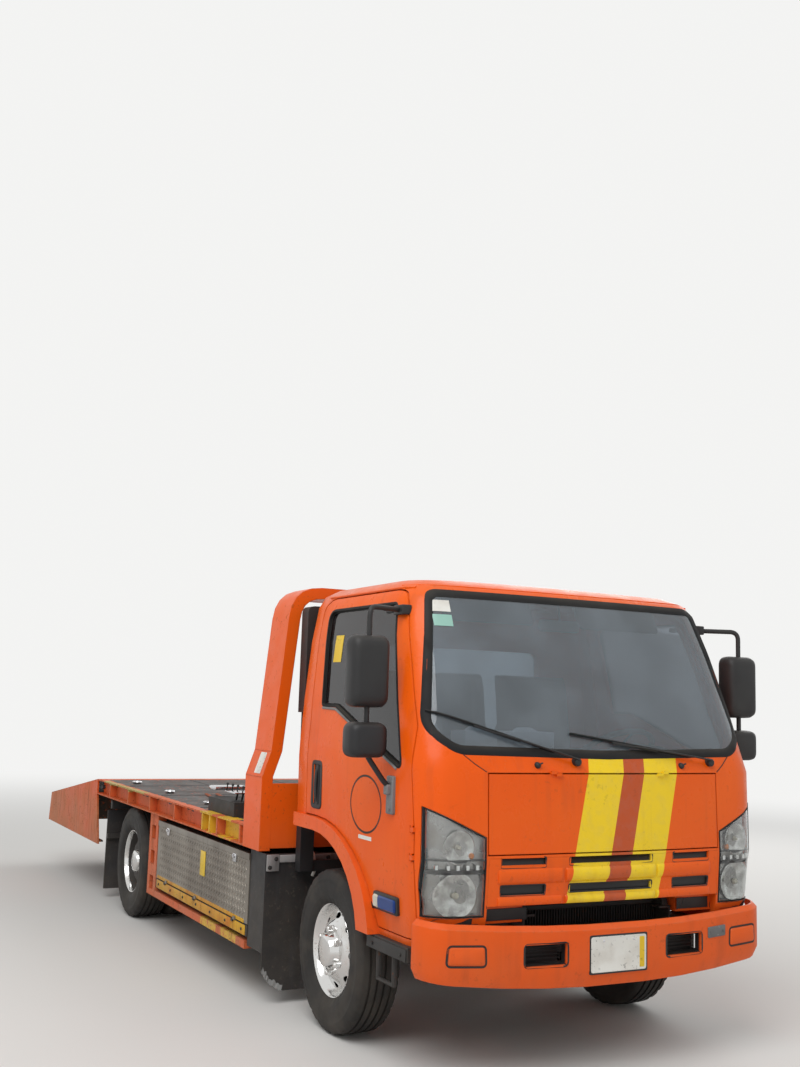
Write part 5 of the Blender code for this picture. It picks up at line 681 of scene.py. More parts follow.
class Form:
    """One mesh in the making."""

    def __init__(self, name: str) -> None:
        """Starts an empty mesh."""
        self.name = name
        self.mesh = bmesh.new()

    def ring(self, points: Iterable[Vector]) -> list[bmesh.types.BMVert]:
        """Adds a row of points."""
        return [self.mesh.verts.new(point) for point in points]

    def skin(self, first: Sequence, second: Sequence, closed: bool = True) -> None:
        """Joins two rows of points by faces."""
        count = len(first)
        for index in range(count if closed else count - 1):
            after = (index + 1) % count
            corners = [first[index], first[after], second[after], second[index]]
            if len(set(corners)) > 2:
                self.mesh.faces.new(list(dict.fromkeys(corners)))

    def loft(self, rows: Sequence[Sequence[Vector]], capped: bool = True, closed: bool = True,
             around: bool = False) -> "Form":
        """Joins rows of points in order.

        Args:
            rows: rows with as many points each.
            capped: whether the end rows are filled.
            closed: whether each row is a loop.
            around: whether the last row joins the first.

        Returns:
            The form itself.
        """
        made = [self.ring(row) for row in rows]
        for first, second in zip(made, made[1:]):
            self.skin(first, second, closed)
        if around:
            self.skin(made[-1], made[0], closed)
        elif capped and closed:
            self.mesh.faces.new(made[0])
            self.mesh.faces.new(made[-1])
        return self

    def box(self, low: Point, high: Point, bevel: float = 0.0, steps: int = 2) -> "Form":
        """Adds a box between two corners, with its edges rounded by bevel."""
        xs, ys, zs = zip(low, high)
        rows = [[spot(x, y, z) for x, y in ((xs[0], ys[0]), (xs[1], ys[0]), (xs[1], ys[1]), (xs[0], ys[1]))]
                for z in zs]
        before = set(self.mesh.verts)
        self.loft(rows)
        if bevel:
            made = [v for v in self.mesh.verts if v not in before]
            edges = {edge for vert in made for edge in vert.link_edges}
            bmesh.ops.bevel(self.mesh, geom=list(edges), offset=bevel, segments=steps, profile=0.5,
                            affect="EDGES", clamp_overlap=True)
        return self

    def sheet(self, outer: Rows, inner: Rows) -> "Form":
        """Adds a closed shell between two grids of points."""
        rims = []
        for grid in (outer, inner):
            made = [self.ring(line) for line in grid]
            for first, second in zip(made, made[1:]):
                self.skin(first, second, closed=False)
            rims.append((made[0], [line[-1] for line in made], made[-1], [line[0] for line in made]))
        for first, second in zip(*rims):
            self.skin(first, second, closed=False)
        return self

    def sticker(self, place: Placer, low: Pair, high: Pair, lift: float = 0.0016,
                steps: int = 6) -> "Form":
        """Adds a thin label laid on a surface.

        Args:
            place: gives the surface's point for two coordinates and a lift.
            low: the label's lower corner.
            high: the label's upper corner.
            lift: its thickness.
            steps: how finely it follows the surface.

        Returns:
            The form itself.
        """
        across, up = (spread(start, end, steps) for start, end in zip(low, high))
        depths = (lift, lift * 0.25)
        return self.sheet(*([[place(a, b, depth) for a in across] for b in up] for depth in depths))

    def tube(self, path: Sequence[Vector], radius: float, steps: int = 10, flat: float = 1.0) -> "Form":
        """Sweeps a round or flattened section along a path."""
        rows = []
        side = Vector((0, 0, 1))
        if abs((path[1] - path[0]).normalized().z) > 0.9:
            side = Vector((0, 1, 0))
        for index, point in enumerate(path):
            before, after = path[max(index - 1, 0)], path[min(index + 1, len(path) - 1)]
            along = (after - before).normalized()
            side = (side - along * side.dot(along)).normalized()
            across = along.cross(side)
            rows.append([point + (across * cos(2 * pi * i / steps) + side * sin(2 * pi * i / steps) * flat)
                         * radius for i in range(steps)])
        return self.loft(rows)

    def turn(self, profile: Sequence[Pair], centre: Vector, axis: str = "X", steps: int = 48,
             share: Callable[[int, float, float], Pair] = lambda index, along, out: (along, out)) -> "Form":
        """Turns a profile of distances along and out from an axis into a round form.

        Args:
            profile: pairs of distance along the axis and radius.
            centre: the axis's origin.
            axis: X, Y or Z.
            steps: points around.
            share: moves a profile point at one step of the turn.

        Returns:
            The form itself.
        """
        first = "XYZ".index(axis)
        ahead, side, top = (Vector([i == (first + shift) % 3 for i in range(3)]) for shift in range(3))
        rows = []
        for index in range(steps):
            angle = 2 * pi * index / steps
            row = []
            for along, out in profile:
                moved, wide = share(index, along, out)
                row.append(centre + ahead * moved + (side * cos(angle) + top * sin(angle)) * wide)
            rows.append(row)
        self.loft(rows, capped=False, closed=False, around=True)
        bmesh.ops.remove_doubles(self.mesh, verts=self.mesh.verts, dist=1e-6)
        return self

    def ball(self, centre: Vector, radius: float, stretch: Point = (1, 1, 1), steps: int = 12) -> "Form":
        """Adds a ball, or an egg if stretched."""
        made = bmesh.ops.create_uvsphere(self.mesh, u_segments=steps * 2, v_segments=steps, radius=radius)
        for vert in made["verts"]:
            vert.co = Vector(part * scale for part, scale in zip(vert.co, stretch)) + centre
        return self

    def bolt(self, head: Vector, out: Vector, size: float = 0.009) -> "Form":
        """Adds a six-sided bolt head with its washer, facing out."""
        turn = out.to_track_quat("Z", "Y")
        for radius, low, high, steps in ((size * 1.5, 0.0, size * 0.25, 16),
                                         (size, size * 0.2, size * 0.9, 6)):
            self.loft([[head + turn @ Vector((a, b, z)) for a, b in oval(0.0, 0.0, radius, radius, steps)]
                       for z in (low, high)])
        return self

    def done(self, finish: Finish | Glass, body: str, sharp: float = 35.0, slot: Optional[str] = None,
             replaces: Sequence[str] = (), hand: int = 1) -> bpy.types.Object:
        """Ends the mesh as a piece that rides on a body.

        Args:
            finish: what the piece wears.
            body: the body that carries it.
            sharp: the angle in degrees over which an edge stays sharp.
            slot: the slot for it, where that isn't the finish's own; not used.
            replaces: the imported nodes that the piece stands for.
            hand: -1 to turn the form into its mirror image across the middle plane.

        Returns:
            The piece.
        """
        for vert in self.mesh.verts:
            vert.co.x *= hand
        bmesh.ops.recalc_face_normals(self.mesh, faces=self.mesh.faces)
        limit = radians(sharp)
        for face in self.mesh.faces:
            face.smooth = True
        for edge in self.mesh.edges:
            edge.smooth = len(edge.link_faces) == 2 and edge.calc_face_angle(0.0) < limit
        data = bpy.data.meshes.new(self.name)
        self.mesh.to_mesh(data)
        self.mesh.free()
        data.materials.append(finish.make())
        made = bpy.data.objects.new(self.name, data)
        bpy.context.scene.collection.objects.link(made)
        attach(made, body)
        slot = slot or finish.slot
        for node in replaces:
            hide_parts(node)
        log.info("piece %s: %d faces on %s", self.name, len(data.polygons), body)
        return made


class Ground:
    """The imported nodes' surface, on which trim is laid."""

    def __init__(self, *nodes: str) -> None:
        """Gathers the nodes' faces.

        Args:
            nodes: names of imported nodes.
        """
        self.trees = []
        for name in nodes:
            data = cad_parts[name].data
            faces = [tuple(face.vertices) for face in data.polygons]
            self.trees.append(BVHTree.FromPolygons([vert.co.copy() for vert in data.vertices], faces))

    def hit(self, start: Vector, along: Vector) -> Optional[tuple[Vector, Vector]]:
        """The first place and normal that a ray meets."""
        best: Optional[tuple[Vector, Vector]] = None
        nearest = 1e9
        for tree in self.trees:
            place, normal, _, distance = tree.ray_cast(start, along)
            if place is not None and distance < nearest:
                nearest, best = distance, (place, normal if normal.dot(along) < 0 else -normal)
        return best

    def front(self, x: float, z: float, lift: float = 0.0) -> Vector:
        """The point of the nose at a place in the front view, lifted off it."""
        for pull in (0.0, 0.01, 0.02, 0.04, 0.08):
            found = self.hit(Vector((x * (1 - pull), NOSE_VIEW_Y, z)), Vector((0, 1, 0)))
            if found is not None and found[0].y < NOSE_LIMIT_Y:
                return found[0] + found[1] * lift
        return spot(x, -1.0, z)

    def stack(self, outline: Sequence[Pair], steps: Sequence[Pair], hand: int = 1) -> Rows:
        """Rows that follow an outline over the nose.

        Args:
            outline: points in the front view.
            steps: how far each row is grown and lifted.
            hand: -1 to lay the outline on the other side.

        Returns:
            One row for each step.
        """
        return [[self.front(hand * x, z, lift) for x, z in grown(outline, grow)] for grow, lift in steps]

    def side(self, hand: int, y: float, z: float, lift: float = 0.0) -> Vector:
        """The point of one side at a place in the side view, lifted off it."""
        for pull in (0.0, 0.004, 0.012, 0.03):
            found = self.hit(spot(hand * SIDE_VIEW_X, y + pull, z), Vector((-hand, 0, 0)))
            if found is not None and found[0].x * hand > SIDE_LIMIT_X:
                return found[0] + found[1] * lift
        return spot(hand * 0.97, y, z)


SILL_GREY = Finish("sill_strip", "black_plastic", (0.30, 0.30, 0.295), 0.5, metal=0.2,
                   drift=(0.16, 0.16, 0.155), grain=0.2,
                   layers=(Layer(Mask.PATCHES, GRIME, 0.4, 0.8, 9.0),))
GREEN_LABEL = Finish("label_green", None, (0.30, 0.52, 0.44), 0.4, drift=(0.26, 0.46, 0.40), grain=0.05)
STRIPE_PAINT = Finish("faded_yellow", "orange_paint", (0.66, 0.38, 0.02), 0.5, drift=(0.50, 0.20, 0.03),
                      round_edge=0.001,
                      layers=(Layer(Mask.SPECKS, RUST, 0.7, 0.9, 8.0),
                              Layer(Mask.STREAKS, GRIME, 0.4, 0.8, 5.0),
                              Layer(Mask.PATCHES, (0.55, 0.11, 0.03), 0.6, 0.7, 6.0)))
STRAP = Finish("woven_strap", "seat_cloth", (0.30, 0.08, 0.03), 0.85, drift=(0.22, 0.07, 0.04), grain=0.8,
               grain_scale=420.0)
FRAY = Finish("torn_edge", "black_plastic", (0.34, 0.34, 0.33), 0.85, drift=(0.22, 0.22, 0.215), grain=0.9,
              grain_scale=240.0)
SEAT_CLOTH = Finish("seat_cloth", "seat_cloth", (0.075, 0.078, 0.085), 0.88, drift=(0.055, 0.057, 0.062),
                    grain=0.8,
                    grain_scale=520.0, layers=(Layer(Mask.TOPS, DUST, 0.18, 0.95, 6.0),))
WHITE = Finish("plate_white", None, (0.80, 0.79, 0.75), 0.35, drift=(0.68, 0.67, 0.62), grain=0.05,
               layers=(Layer(Mask.SPECKS, GRIME, 0.5, 0.8, 8.0), Layer(Mask.PATCHES, DUST, 0.25, 0.8, 7.0)))
PAPER = Finish("paper_white", "cab_trim", (0.86, 0.90, 0.92), 0.7, drift=(0.80, 0.85, 0.88), grain=0.03)
AMBER = Finish("amber_paint", None, YELLOW, 0.4, drift=(0.70, 0.46, 0.03), grain=0.05,
               layers=(Layer(Mask.SPECKS, GRIME, 0.5, 0.8, 8.0),))
GREY_CAST = Finish("bracket_casting", "black_plastic", (0.20, 0.20, 0.205), 0.55, metal=0.35,
                   drift=(0.13, 0.13, 0.13), grain=0.4,
                   layers=(Layer(Mask.SPECKS, BARE, 0.5, 0.5, 7.0), Layer(Mask.TOPS, DUST, 0.4, 0.9, 6.0)))
BRIGHT = Finish("lamp_chrome", "wheel_chrome", (0.86, 0.86, 0.85), 0.10, metal=1.0, drift=(0.70, 0.70, 0.69),
                grain=0.03,
                layers=(Layer(Mask.PATCHES, DUST, 0.12, 0.6, 12.0),))
LAMP_BOWL = Finish("lamp_bowl", "wheel_chrome", (0.62, 0.62, 0.60), 0.17, metal=1.0,
                   drift=(0.30, 0.29, 0.28), drift_scale=24.0,
                   grain=0.05, layers=(Layer(Mask.PATCHES, DUST, 0.15, 0.6, 12.0),))
LAMP_GREY = Finish("lamp_housing", "black_plastic", (0.40, 0.39, 0.38), 0.26, metal=0.85,
                   drift=(0.26, 0.25, 0.24), grain=0.1,
                   layers=(Layer(Mask.PATCHES, DUST, 0.35, 0.8, 9.0),))
BLUE_LENS = Finish("blue_lens", None, (0.008, 0.045, 0.22), 0.16, coat=0.2, shine=0.2,
                   drift=(0.005, 0.03, 0.15),
                   grain=0.05)
RED_LENS = Finish("red_lens", None, (0.42, 0.010, 0.008), 0.16, coat=0.6, drift=(0.30, 0.008, 0.006),
                  grain=0.05,
                  layers=(Layer(Mask.PATCHES, DUST, 0.25, 0.8, 9.0),))
ORANGE_LENS = Finish("orange_lens", None, (0.78, 0.22, 0.010), 0.16, coat=0.6, drift=(0.6, 0.17, 0.01),
                     grain=0.05,
                     layers=(Layer(Mask.PATCHES, DUST, 0.25, 0.8, 9.0),))
PALE_LENS = Finish("pale_lens", None, (0.62, 0.58, 0.48), 0.2, coat=0.5, drift=(0.5, 0.46, 0.36), grain=0.05)
SILVER = Finish("mirror_glass", None, (0.80, 0.82, 0.83), 0.03, metal=1.0, drift=(0.76, 0.78, 0.79),
                grain=0.0)
INK = Finish("dark_line", None, (0.020, 0.016, 0.014), 0.6, drift=(0.04, 0.03, 0.025), grain=0.1)


SCREEN_OUTLINE = [(0.0, 1.412, 0.0), (0.800, 1.427, 0.150), (0.918, 1.520, 0.150), (0.800, 2.160, 0.060),
                  (-0.800, 2.160, 0.060), (-0.918, 1.520, 0.150), (-0.800, 1.427, 0.150)]
WINDOW_OUTLINE = [(-0.790, 1.330, 0.030), (-0.545, 2.105, 0.030), (0.235, 2.105, 0.060),
                  (0.160, 1.605, 0.020),
                  (-0.010, 1.605, 0.060)]


@dataclass
class ScreenTrim:
    """Rubber, wipers, washer nozzles and panel lines round the windscreen."""

    rubber_out: float = 0.020
    rubber_in: float = 0.026
    rubber_lift: float = 0.005
    pivots: tuple[Pair, ...] = ((-0.187, 1.385), (0.628, 1.385))
    tips: tuple[Pair, ...] = ((-0.900, 1.590), (-0.190, 1.500))
    nozzles: tuple[Pair, ...] = ((-0.400, 1.368), (0.440, 1.368))

    def build(self) -> None:
        """Makes the trim on the cab."""
        ground = Ground("cab_shell", "windscreen", "front_lid")
        self.make_rubber(ground)
        self.make_wipers(ground)
        self.make_nozzles(ground)
        self.make_lines(ground)

    def make_rubber(self, ground: Ground) -> None:
        """Lays the black rubber over the edge of the glass."""
        outline = dense(rounded(SCREEN_OUTLINE, 10), 0.04)
        form = Form("screen_rubber")
        form.loft(ground.stack(outline, ((self.rubber_out, -0.004), (self.rubber_out * 0.5, self.rubber_lift),
                                         (-self.rubber_in * 0.8, self.rubber_lift * 0.6),
                                         (-self.rubber_in, -0.001))), capped=False)
        form.done(Finishes.rubber, "cab", 60)

    def make_wipers(self, ground: Ground) -> None:
        """Lays two wipers on the glass."""
        arms, blades = Form("wiper_arms"), Form("wiper_blades")
        for pivot, tip in zip(self.pivots, self.tips):
            base, end = Vector(pivot), Vector(tip)
            root = ground.front(base.x, base.y, 0.0)
            arms.turn([(-0.030, 0.0), (-0.030, 0.012), (-0.024, 0.019), (0.004, 0.021), (0.004, 0.0)], root,
                      "Y", 18)
            line = [ground.front(*(base.lerp(end, share)), lift) for share, lift in
                    ((0.0, 0.030), (0.12, 0.034), (0.30, 0.032), (0.45, 0.028), (0.56, 0.020))]
            arms.tube(bent_path(line, 0.02), 0.0075, 8, 0.6)
            hold = [ground.front(*(base.lerp(end, share)), 0.017) for share in (0.40, 0.56, 0.72)]
            arms.tube(hold, 0.006, 6)
            up = Vector((-(end - base).y, (end - base).x)).normalized() * -0.010
            for start, lift, radius in ((0.16, 0.011, 0.0055), (0.15, 0.004, 0.0035)):
                blades.tube([ground.front(*(base.lerp(end, share) + up), lift)
                             for share in spread(start, 1.0, 14)], radius, 6)
        arms.done(Finishes.plastic, "cab")
        blades.done(Finishes.rubber, "cab")

    def make_nozzles(self, ground: Ground) -> None:
        """Adds the washer nozzles on the panel under the glass."""
        form = Form("washer_nozzles")
        for x, z in self.nozzles:
            root = ground.front(x, z, 0.0)
            form.turn([(-0.016, 0.0), (-0.016, 0.007), (-0.012, 0.012), (-0.004, 0.015), (0.003, 0.016),
                       (0.003, 0.0)], root, "Y", 14)
            form.tube([root + Vector((0, -0.010, 0.004)), root + Vector((0.020, -0.014, 0.012))], 0.004, 6)
        form.done(Finishes.plastic, "cab")

    def make_lines(self, ground: Ground) -> None:
        """Draws the gaps between the nose's panels."""
        form = Form("nose_panel_gaps")
        for hand in (-1, 1):
            cowl = [(0.668, 1.338), (0.720, 1.372), (0.770, 1.412)]
            form.tube([ground.front(hand * x, z, 0.0002) for x, z in cowl], 0.0022, 6)
            foot = [(0.668, 0.975), (0.668, 0.750)]
            form.tube([ground.front(hand * x * 0.985, z, 0.0) for x, z in foot], 0.0018, 6)
        form.done(INK, "cab", slot="black_plastic")


@dataclass
class DoorTrim:
    """Rubber, handle, marker lamp and fittings of one door."""

    hand: int
    body: str
    lamp: tuple[float, float, float, float] = (-0.775, -0.535, 0.690, 0.770)
    handle: tuple[float, float, float, float] = (0.120, 0.200, 1.087, 1.308)

    def name(self, part: str) -> str:
        """The piece's name on this side."""
        return f"{part}_{side_of(self.hand)}"

    def build(self) -> None:
        """Makes the door's fine parts."""
        ground = Ground(self.name("door"), self.name("door_glass"))
        self.make_rubber(ground)
        self.make_sill(ground)
        self.make_handle(ground)
        self.make_lamp(ground)
        if self.hand < 0:
            self.make_ring(ground)

    def make_rubber(self, ground: Ground) -> None:
        """Lays the rubber round the window."""
        outline = dense(rounded(WINDOW_OUTLINE, 8))
        form = Form(self.name("window_rubber"))
        rows = []
        for grow, lift in ((0.010, -0.002), (0.006, 0.003), (-0.004, 0.0035)):
            rows.append([ground.side(self.hand, y, z, 0.0) + Vector((self.hand * lift, 0, 0))
                         for y, z in grown(outline, max(grow, 0.004))])
            if grow < 0:
                rows[-1] = [Vector((point.x, y + FRONT_AXLE_Y, z)) for point, (y, z) in
                            zip(rows[-1], grown(outline, grow))]
        rows.append([point - Vector((self.hand * 0.016, 0, 0)) for point in rows[-1]])
        inner = grown(outline, -0.012)
        rows.append([Vector((point.x, y + FRONT_AXLE_Y, z)) for point, (y, z) in zip(rows[-1], inner)])
        form.loft(rows, capped=False)
        form.done(Finishes.rubber, self.body, 50)

    def make_sill(self, ground: Ground) -> None:
        """Lays the worn pale strip along the window's lower edge."""
        form = Form(self.name("window_sill_strip"))
        corners = [(0.150, 1.596), (-0.010, 1.592), (-0.040, 1.583), (-0.740, 1.338)]
        line = []
        for start, end in zip(corners, corners[1:]):
            count = max(2, int((Vector(end) - Vector(start)).length / 0.05))
            line += [Vector(start).lerp(Vector(end), i / count) for i in range(count)]
        line.append(Vector(corners[-1]))
        path = [ground.side(self.hand, y, z - 0.004, 0.001) for y, z in line]
        form.tube(path, 0.0065, 8)
        form.done(SILL_GREY, self.body)

    def make_handle(self, ground: Ground) -> None:
        """Makes the black pull handle in its recess."""
        low_y, high_y, low_z, high_z = self.handle
        middle = (low_y + high_y) / 2
        face = ground.side(self.hand, high_y + 0.03, low_z + 0.1).x * self.hand
        form = Form(self.name("handle_frame"))
        outline = panel((low_y - 0.026, low_z - 0.014), (high_y + 0.026, high_z + 0.014), 0.034)
        rows = [[spot(self.hand * (face + depth), y, z) for y, z in grown(outline, grow)] for grow, depth in
                ((0.0, -0.001), (-0.003, 0.004), (-0.022, 0.003), (-0.027, -0.006))]
        form.loft(rows, capped=False)
        form.mesh.faces.new(form.mesh.verts[-len(outline):])
        form.sticker(lambda y, z, lift: ground.side(self.hand, y, z, lift), (low_y + 0.001, low_z + 0.001),
                     (high_y - 0.001, high_z - 0.001))
        form.done(Finishes.plastic, self.body, 40)
        grip = Form(self.name("handle_grip"))
        line = [spot(self.hand * (face + depth), middle, z) for depth, z in
                ((-0.012, low_z + 0.010), (0.005, low_z + 0.040), (0.009, (low_z + high_z) / 2),
                 (0.005, high_z - 0.040), (-0.012, high_z - 0.010))]
        grip.tube(bent_path(line, 0.03), 0.013, 10, 0.55)
        grip.turn([(0.0, 0.0), (0.0, 0.010), (0.003, 0.010), (0.004, 0.0)],
                  spot(self.hand * (face - 0.012), middle + 0.022, low_z + 0.03), "X", 16)
        grip.done(Finishes.plastic, self.body)

    def make_lamp(self, ground: Ground) -> None:
        """Makes the marker lamp low on the door, with its blue and pale lenses."""
        low_y, high_y, low_z, high_z = self.lamp
        split = low_y + (high_y - low_y) * 0.74
        for part, start, end, finish, grow, lift in (
                ("marker_case", low_y, high_y, Finishes.plastic, 0.0, 0.016),
                ("marker_lens", low_y + 0.010, split, BLUE_LENS, -0.012, 0.026),
                ("marker_end", split + 0.004, high_y - 0.010, PALE_LENS, -0.012, 0.024)):
            form = Form(self.name(part))
            outline = panel((start, low_z - grow), (end, high_z + grow), 0.014, 4)
            base = [ground.side(self.hand, y, z, -0.002) for y, z in outline]
            crest = [ground.side(self.hand, y, z, lift * 0.75) for y, z in outline]
            top = [ground.side(self.hand, y, z, lift) for y, z in grown(outline, -0.006)]
            form.loft([base, crest, top])
            form.done(finish, self.body, 40)

    def make_ring(self, ground: Ground) -> None:
        """Draws a plain oval ring and a bare label on the door."""
        form = Form(self.name("oval_ring"))
        form.loft([[ground.side(self.hand, y, z, 0.0006)
                    for y, z in oval(-0.425, 1.149, 0.165 + grow, 0.132 + grow, 64)]
                   for grow in (0.005, -0.005)], capped=False)
        form.done(INK, self.body)
        label = Form(self.name("bare_label"))
        label.sticker(lambda y, z, lift: ground.side(self.hand, y, z, lift), (-0.497, 0.984), (-0.357, 1.002))
        label.done(WHITE, self.body)


@dataclass
class Mirrors:
    """The two mirrors of one side on their bent arm."""

    hand: int
    body: str
    inner: float = 1.022
    outer: float = 1.212
    middle_y: float = -0.700
    depth: float = 0.110
    heads: tuple[Pair, ...] = ((1.605, 1.935), (1.380, 1.540))

    def build(self) -> None:
        """Makes the arm, the heads and the glasses in place of the plain node."""
        side = side_of(self.hand)
        arm = Form(f"mirror_arm_{side}")
        centre = (self.inner + self.outer) / 2
        line = [self.at(0.955, self.middle_y, 1.235), self.at(1.010, self.middle_y, 1.262),
                self.at(centre, self.middle_y, 1.400), self.at(centre, self.middle_y, 2.068),
                self.at(0.905, -0.600, 2.068)]
        arm.tube(bent_path(line, 0.045, 8), 0.0125, 12)
        arm.done(Finishes.plastic, self.body, replaces=[f"mirrors_{side}"])
        for index, (low, high) in enumerate(self.heads):
            self.make_head(f"mirror_head_{index + 1}_{side}", low, high)
        foot = Form(f"mirror_foot_{side}")
        foot.box((0.930, self.middle_y - 0.033, 1.128), (0.992, self.middle_y + 0.030, 1.300), 0.008, 3)
        foot.box((0.950, self.middle_y - 0.020, 1.215), (1.012, self.middle_y + 0.018, 1.262), 0.007, 3)
        for up in (1.150, 1.275):
            foot.bolt(spot(0.992, self.middle_y - 0.012, up), Vector((1, 0, 0)), 0.008)
        foot.done(GREY_CAST, self.body, hand=self.hand)
        top = Form(f"mirror_top_bracket_{side}")
        top.box((0.872, -0.650, 2.045), (0.925, -0.560, 2.092), 0.006, 3)
        top.box((0.868, -0.560, 2.062), (0.898, -0.420, 2.088), 0.006, 2)
        top.done(Finishes.plastic, self.body, hand=self.hand)

    def at(self, x: float, y: float, z: float) -> Vector:
        """A point on this side."""
        return spot(self.hand * x, y, z)

    def make_head(self, name: str, low: float, high: float) -> None:
        """Makes one rounded housing with its glass at the back."""
        centre = Vector(((self.inner + self.outer) / 2, 0.0, (low + high) / 2))
        half = Vector(((self.outer - self.inner) / 2, self.depth / 2, (high - low) / 2))
        rows = []
        for share, shrink in ((-1.0, 0.62), (-0.93, 0.78), (-0.70, 0.92), (-0.30, 0.985), (0.30, 1.0),
                              (0.80, 0.985), (0.96, 0.955), (1.0, 0.90)):
            y = self.middle_y + half.y * share
            reach = Vector((half.x * shrink, half.z * (0.12 + 0.88 * shrink)))
            outline = panel(-reach, reach, 0.045 * shrink)
            rows.append([self.at(centre.x + a, y, centre.z + b) for a, b in outline])
        form = Form(name)
        form.loft(rows)
        form.done(Finishes.plastic, self.body, 45)
        glass = Form(name.replace("head", "glass"))
        reach = Vector((half.x * 0.84, half.z * 0.90))
        outline = panel(-reach, reach, 0.030)
        glass.loft([[self.at(centre.x + a, self.middle_y + half.y + y, centre.z + b) for a, b in outline]
                    for y in (-0.006, -0.0005)])
        glass.done(SILVER, self.body)


@dataclass
class Headlamp:
    """One headlamp: case, reflectors, divider and clear cover."""

    hand: int
    inner: float = 0.668
    outer: float = 0.944
    bottom: float = 0.713
    top_inner: float = 1.054
    top_outer: float = 1.184
    split: float = 0.905
    depth: float = 0.032
    columns: int = 14
    rows: int = 18
    bowls: tuple[Point, ...] = ((0.800, 0.806, 0.094), (0.796, 1.012, 0.070))

    def build(self) -> None:
        """Makes the lamp in place of the plain node."""
        side = side_of(self.hand)
        ground = Ground(f"headlamp_{side}")
        self.make_cover(ground, side)
        self.make_case(ground, side)
        self.make_bowls(ground, side)
        self.make_gasket(ground, side)

    def make_gasket(self, ground: Ground, side: str) -> None:
        """Lays the dark rubber edge round the lamp."""
        corners = ((self.inner, self.bottom), (self.outer, self.bottom), (self.outer, self.top_outer),
                   (self.inner, self.top_inner))
        outline = []
        for index, start in enumerate(corners):
            end = corners[(index + 1) % len(corners)]
            outline += [(start[0] + (end[0] - start[0]) * i / 12, start[1] + (end[1] - start[1]) * i / 12)
                        for i in range(12)]
        form = Form(f"lamp_gasket_{side}")
        form.loft(ground.stack(outline, ((-0.001, -0.003), (-0.001, 0.0015), (-0.003, 0.0030),
                                         (-0.007, 0.0025),
                                         (-0.008, -0.003)), self.hand), capped=False)
        form.done(Finishes.rubber, "cab", 50)

    def grid(self, ground: Ground, lift: float, inset: float = 0.0) -> Rows:
        """Points over the lamp's face in rows, lifted off it."""
        found = []
        for row in range(self.rows + 1):
            line = []
            for column in range(self.columns + 1):
                across, up = column / self.columns, row / self.rows
                x = self.inner + inset + (self.outer - self.inner - 2 * inset) * across
                top = self.top_inner + (self.top_outer - self.top_inner) * across
                z = self.bottom + inset + (top - self.bottom - 2 * inset) * up
                line.append(ground.front(self.hand * x, z, lift))
            found.append(line)
        return found

    def make_cover(self, ground: Ground, side: str) -> None:
        """Makes the clear cover."""
        form = Form(f"lamp_cover_{side}")
        form.sheet(self.grid(ground, -0.0005), self.grid(ground, -0.0035))
        form.done(LENS, "cab", 50, replaces=[f"headlamp_{side}"])

    def make_case(self, ground: Ground, side: str) -> None:
        """Makes the case behind the cover, its dividers and its bright teeth."""
        case = Form(f"lamp_case_{side}")
        case.sheet(self.grid(ground, -self.depth + 0.006, 0.004), self.grid(ground, -self.depth, 0.004))
        case.done(LAMP_GREY, "cab", 50)
        bar = Form(f"lamp_divider_{side}")
        for z, wide in ((self.split, 0.015), (self.split + 0.052, 0.005)):
            outer = [ground.front(self.hand * x, z - wide / 2, -0.0045)
                     for x in spread(self.inner + 0.006, self.outer - 0.006, 14)]
            top = [point + Vector((0, 0, wide)) for point in outer]
            back = [point + Vector((0, 0.022, 0)) for point in outer]
            back_top = [point + Vector((0, 0.022, 0)) for point in top]
            bar.loft([outer, top, back_top, back], capped=False, closed=False, around=True)
        bar.done(Finishes.dark_trim, "cab", slot="black_plastic")
        teeth = Form(f"lamp_teeth_{side}")
        for index in range(5):
            x = self.inner + 0.040 + index * 0.048
            low = ground.front(self.hand * x, self.split + 0.020, -0.012)
            teeth.loft([[low + Vector((i * 0.008, j * 0.004, k * 0.010))
                         for i, j in ((-1, -1), (1, -1), (1, 1), (-1, 1))] for k in (-1, 1)])
        teeth.done(BRIGHT, "cab")

    def make_bowls(self, ground: Ground, side: str) -> None:
        """Makes the bright bowls with their bulbs."""
        bowls, bulbs = Form(f"lamp_bowls_{side}"), Form(f"lamp_bulbs_{side}")
        for x, z, radius in self.bowls:
            centre = ground.front(self.hand * x, z, 0.0) + Vector((0, 0.004, 0))
            for form, profile, steps in (
                    (bowls, ((0.006, 1.06), (0.004, 1.02), (0.006, 0.97), (0.014, 0.80), (0.020, 0.55),
                             (0.024, 0.28), (0.025, 0.0)), 40),
                    (bulbs, ((0.004, 0.0), (0.005, 0.10), (0.010, 0.14), (0.024, 0.16), (0.026, 0.0)), 16)):
                form.turn([(along, radius * share) for along, share in profile], centre, "Y", steps)
        for vertex in bowls.mesh.verts:
            cover = ground.front(vertex.co.x, vertex.co.z, -0.006)
            vertex.co.y = max(vertex.co.y, cover.y)
        bowls.done(LAMP_BOWL, "cab", 60)
        bulbs.done(PALE_LENS, "cab", slot="lamp_glass")
        winker = Form(f"lamp_winker_{side}")
        winker.ball(ground.front(self.hand * 0.735, 0.975, 0.0) + Vector((0, 0.018, 0)), 0.014, (1, 0.7, 1))
        winker.done(ORANGE_LENS, "cab", slot="lamp_glass")


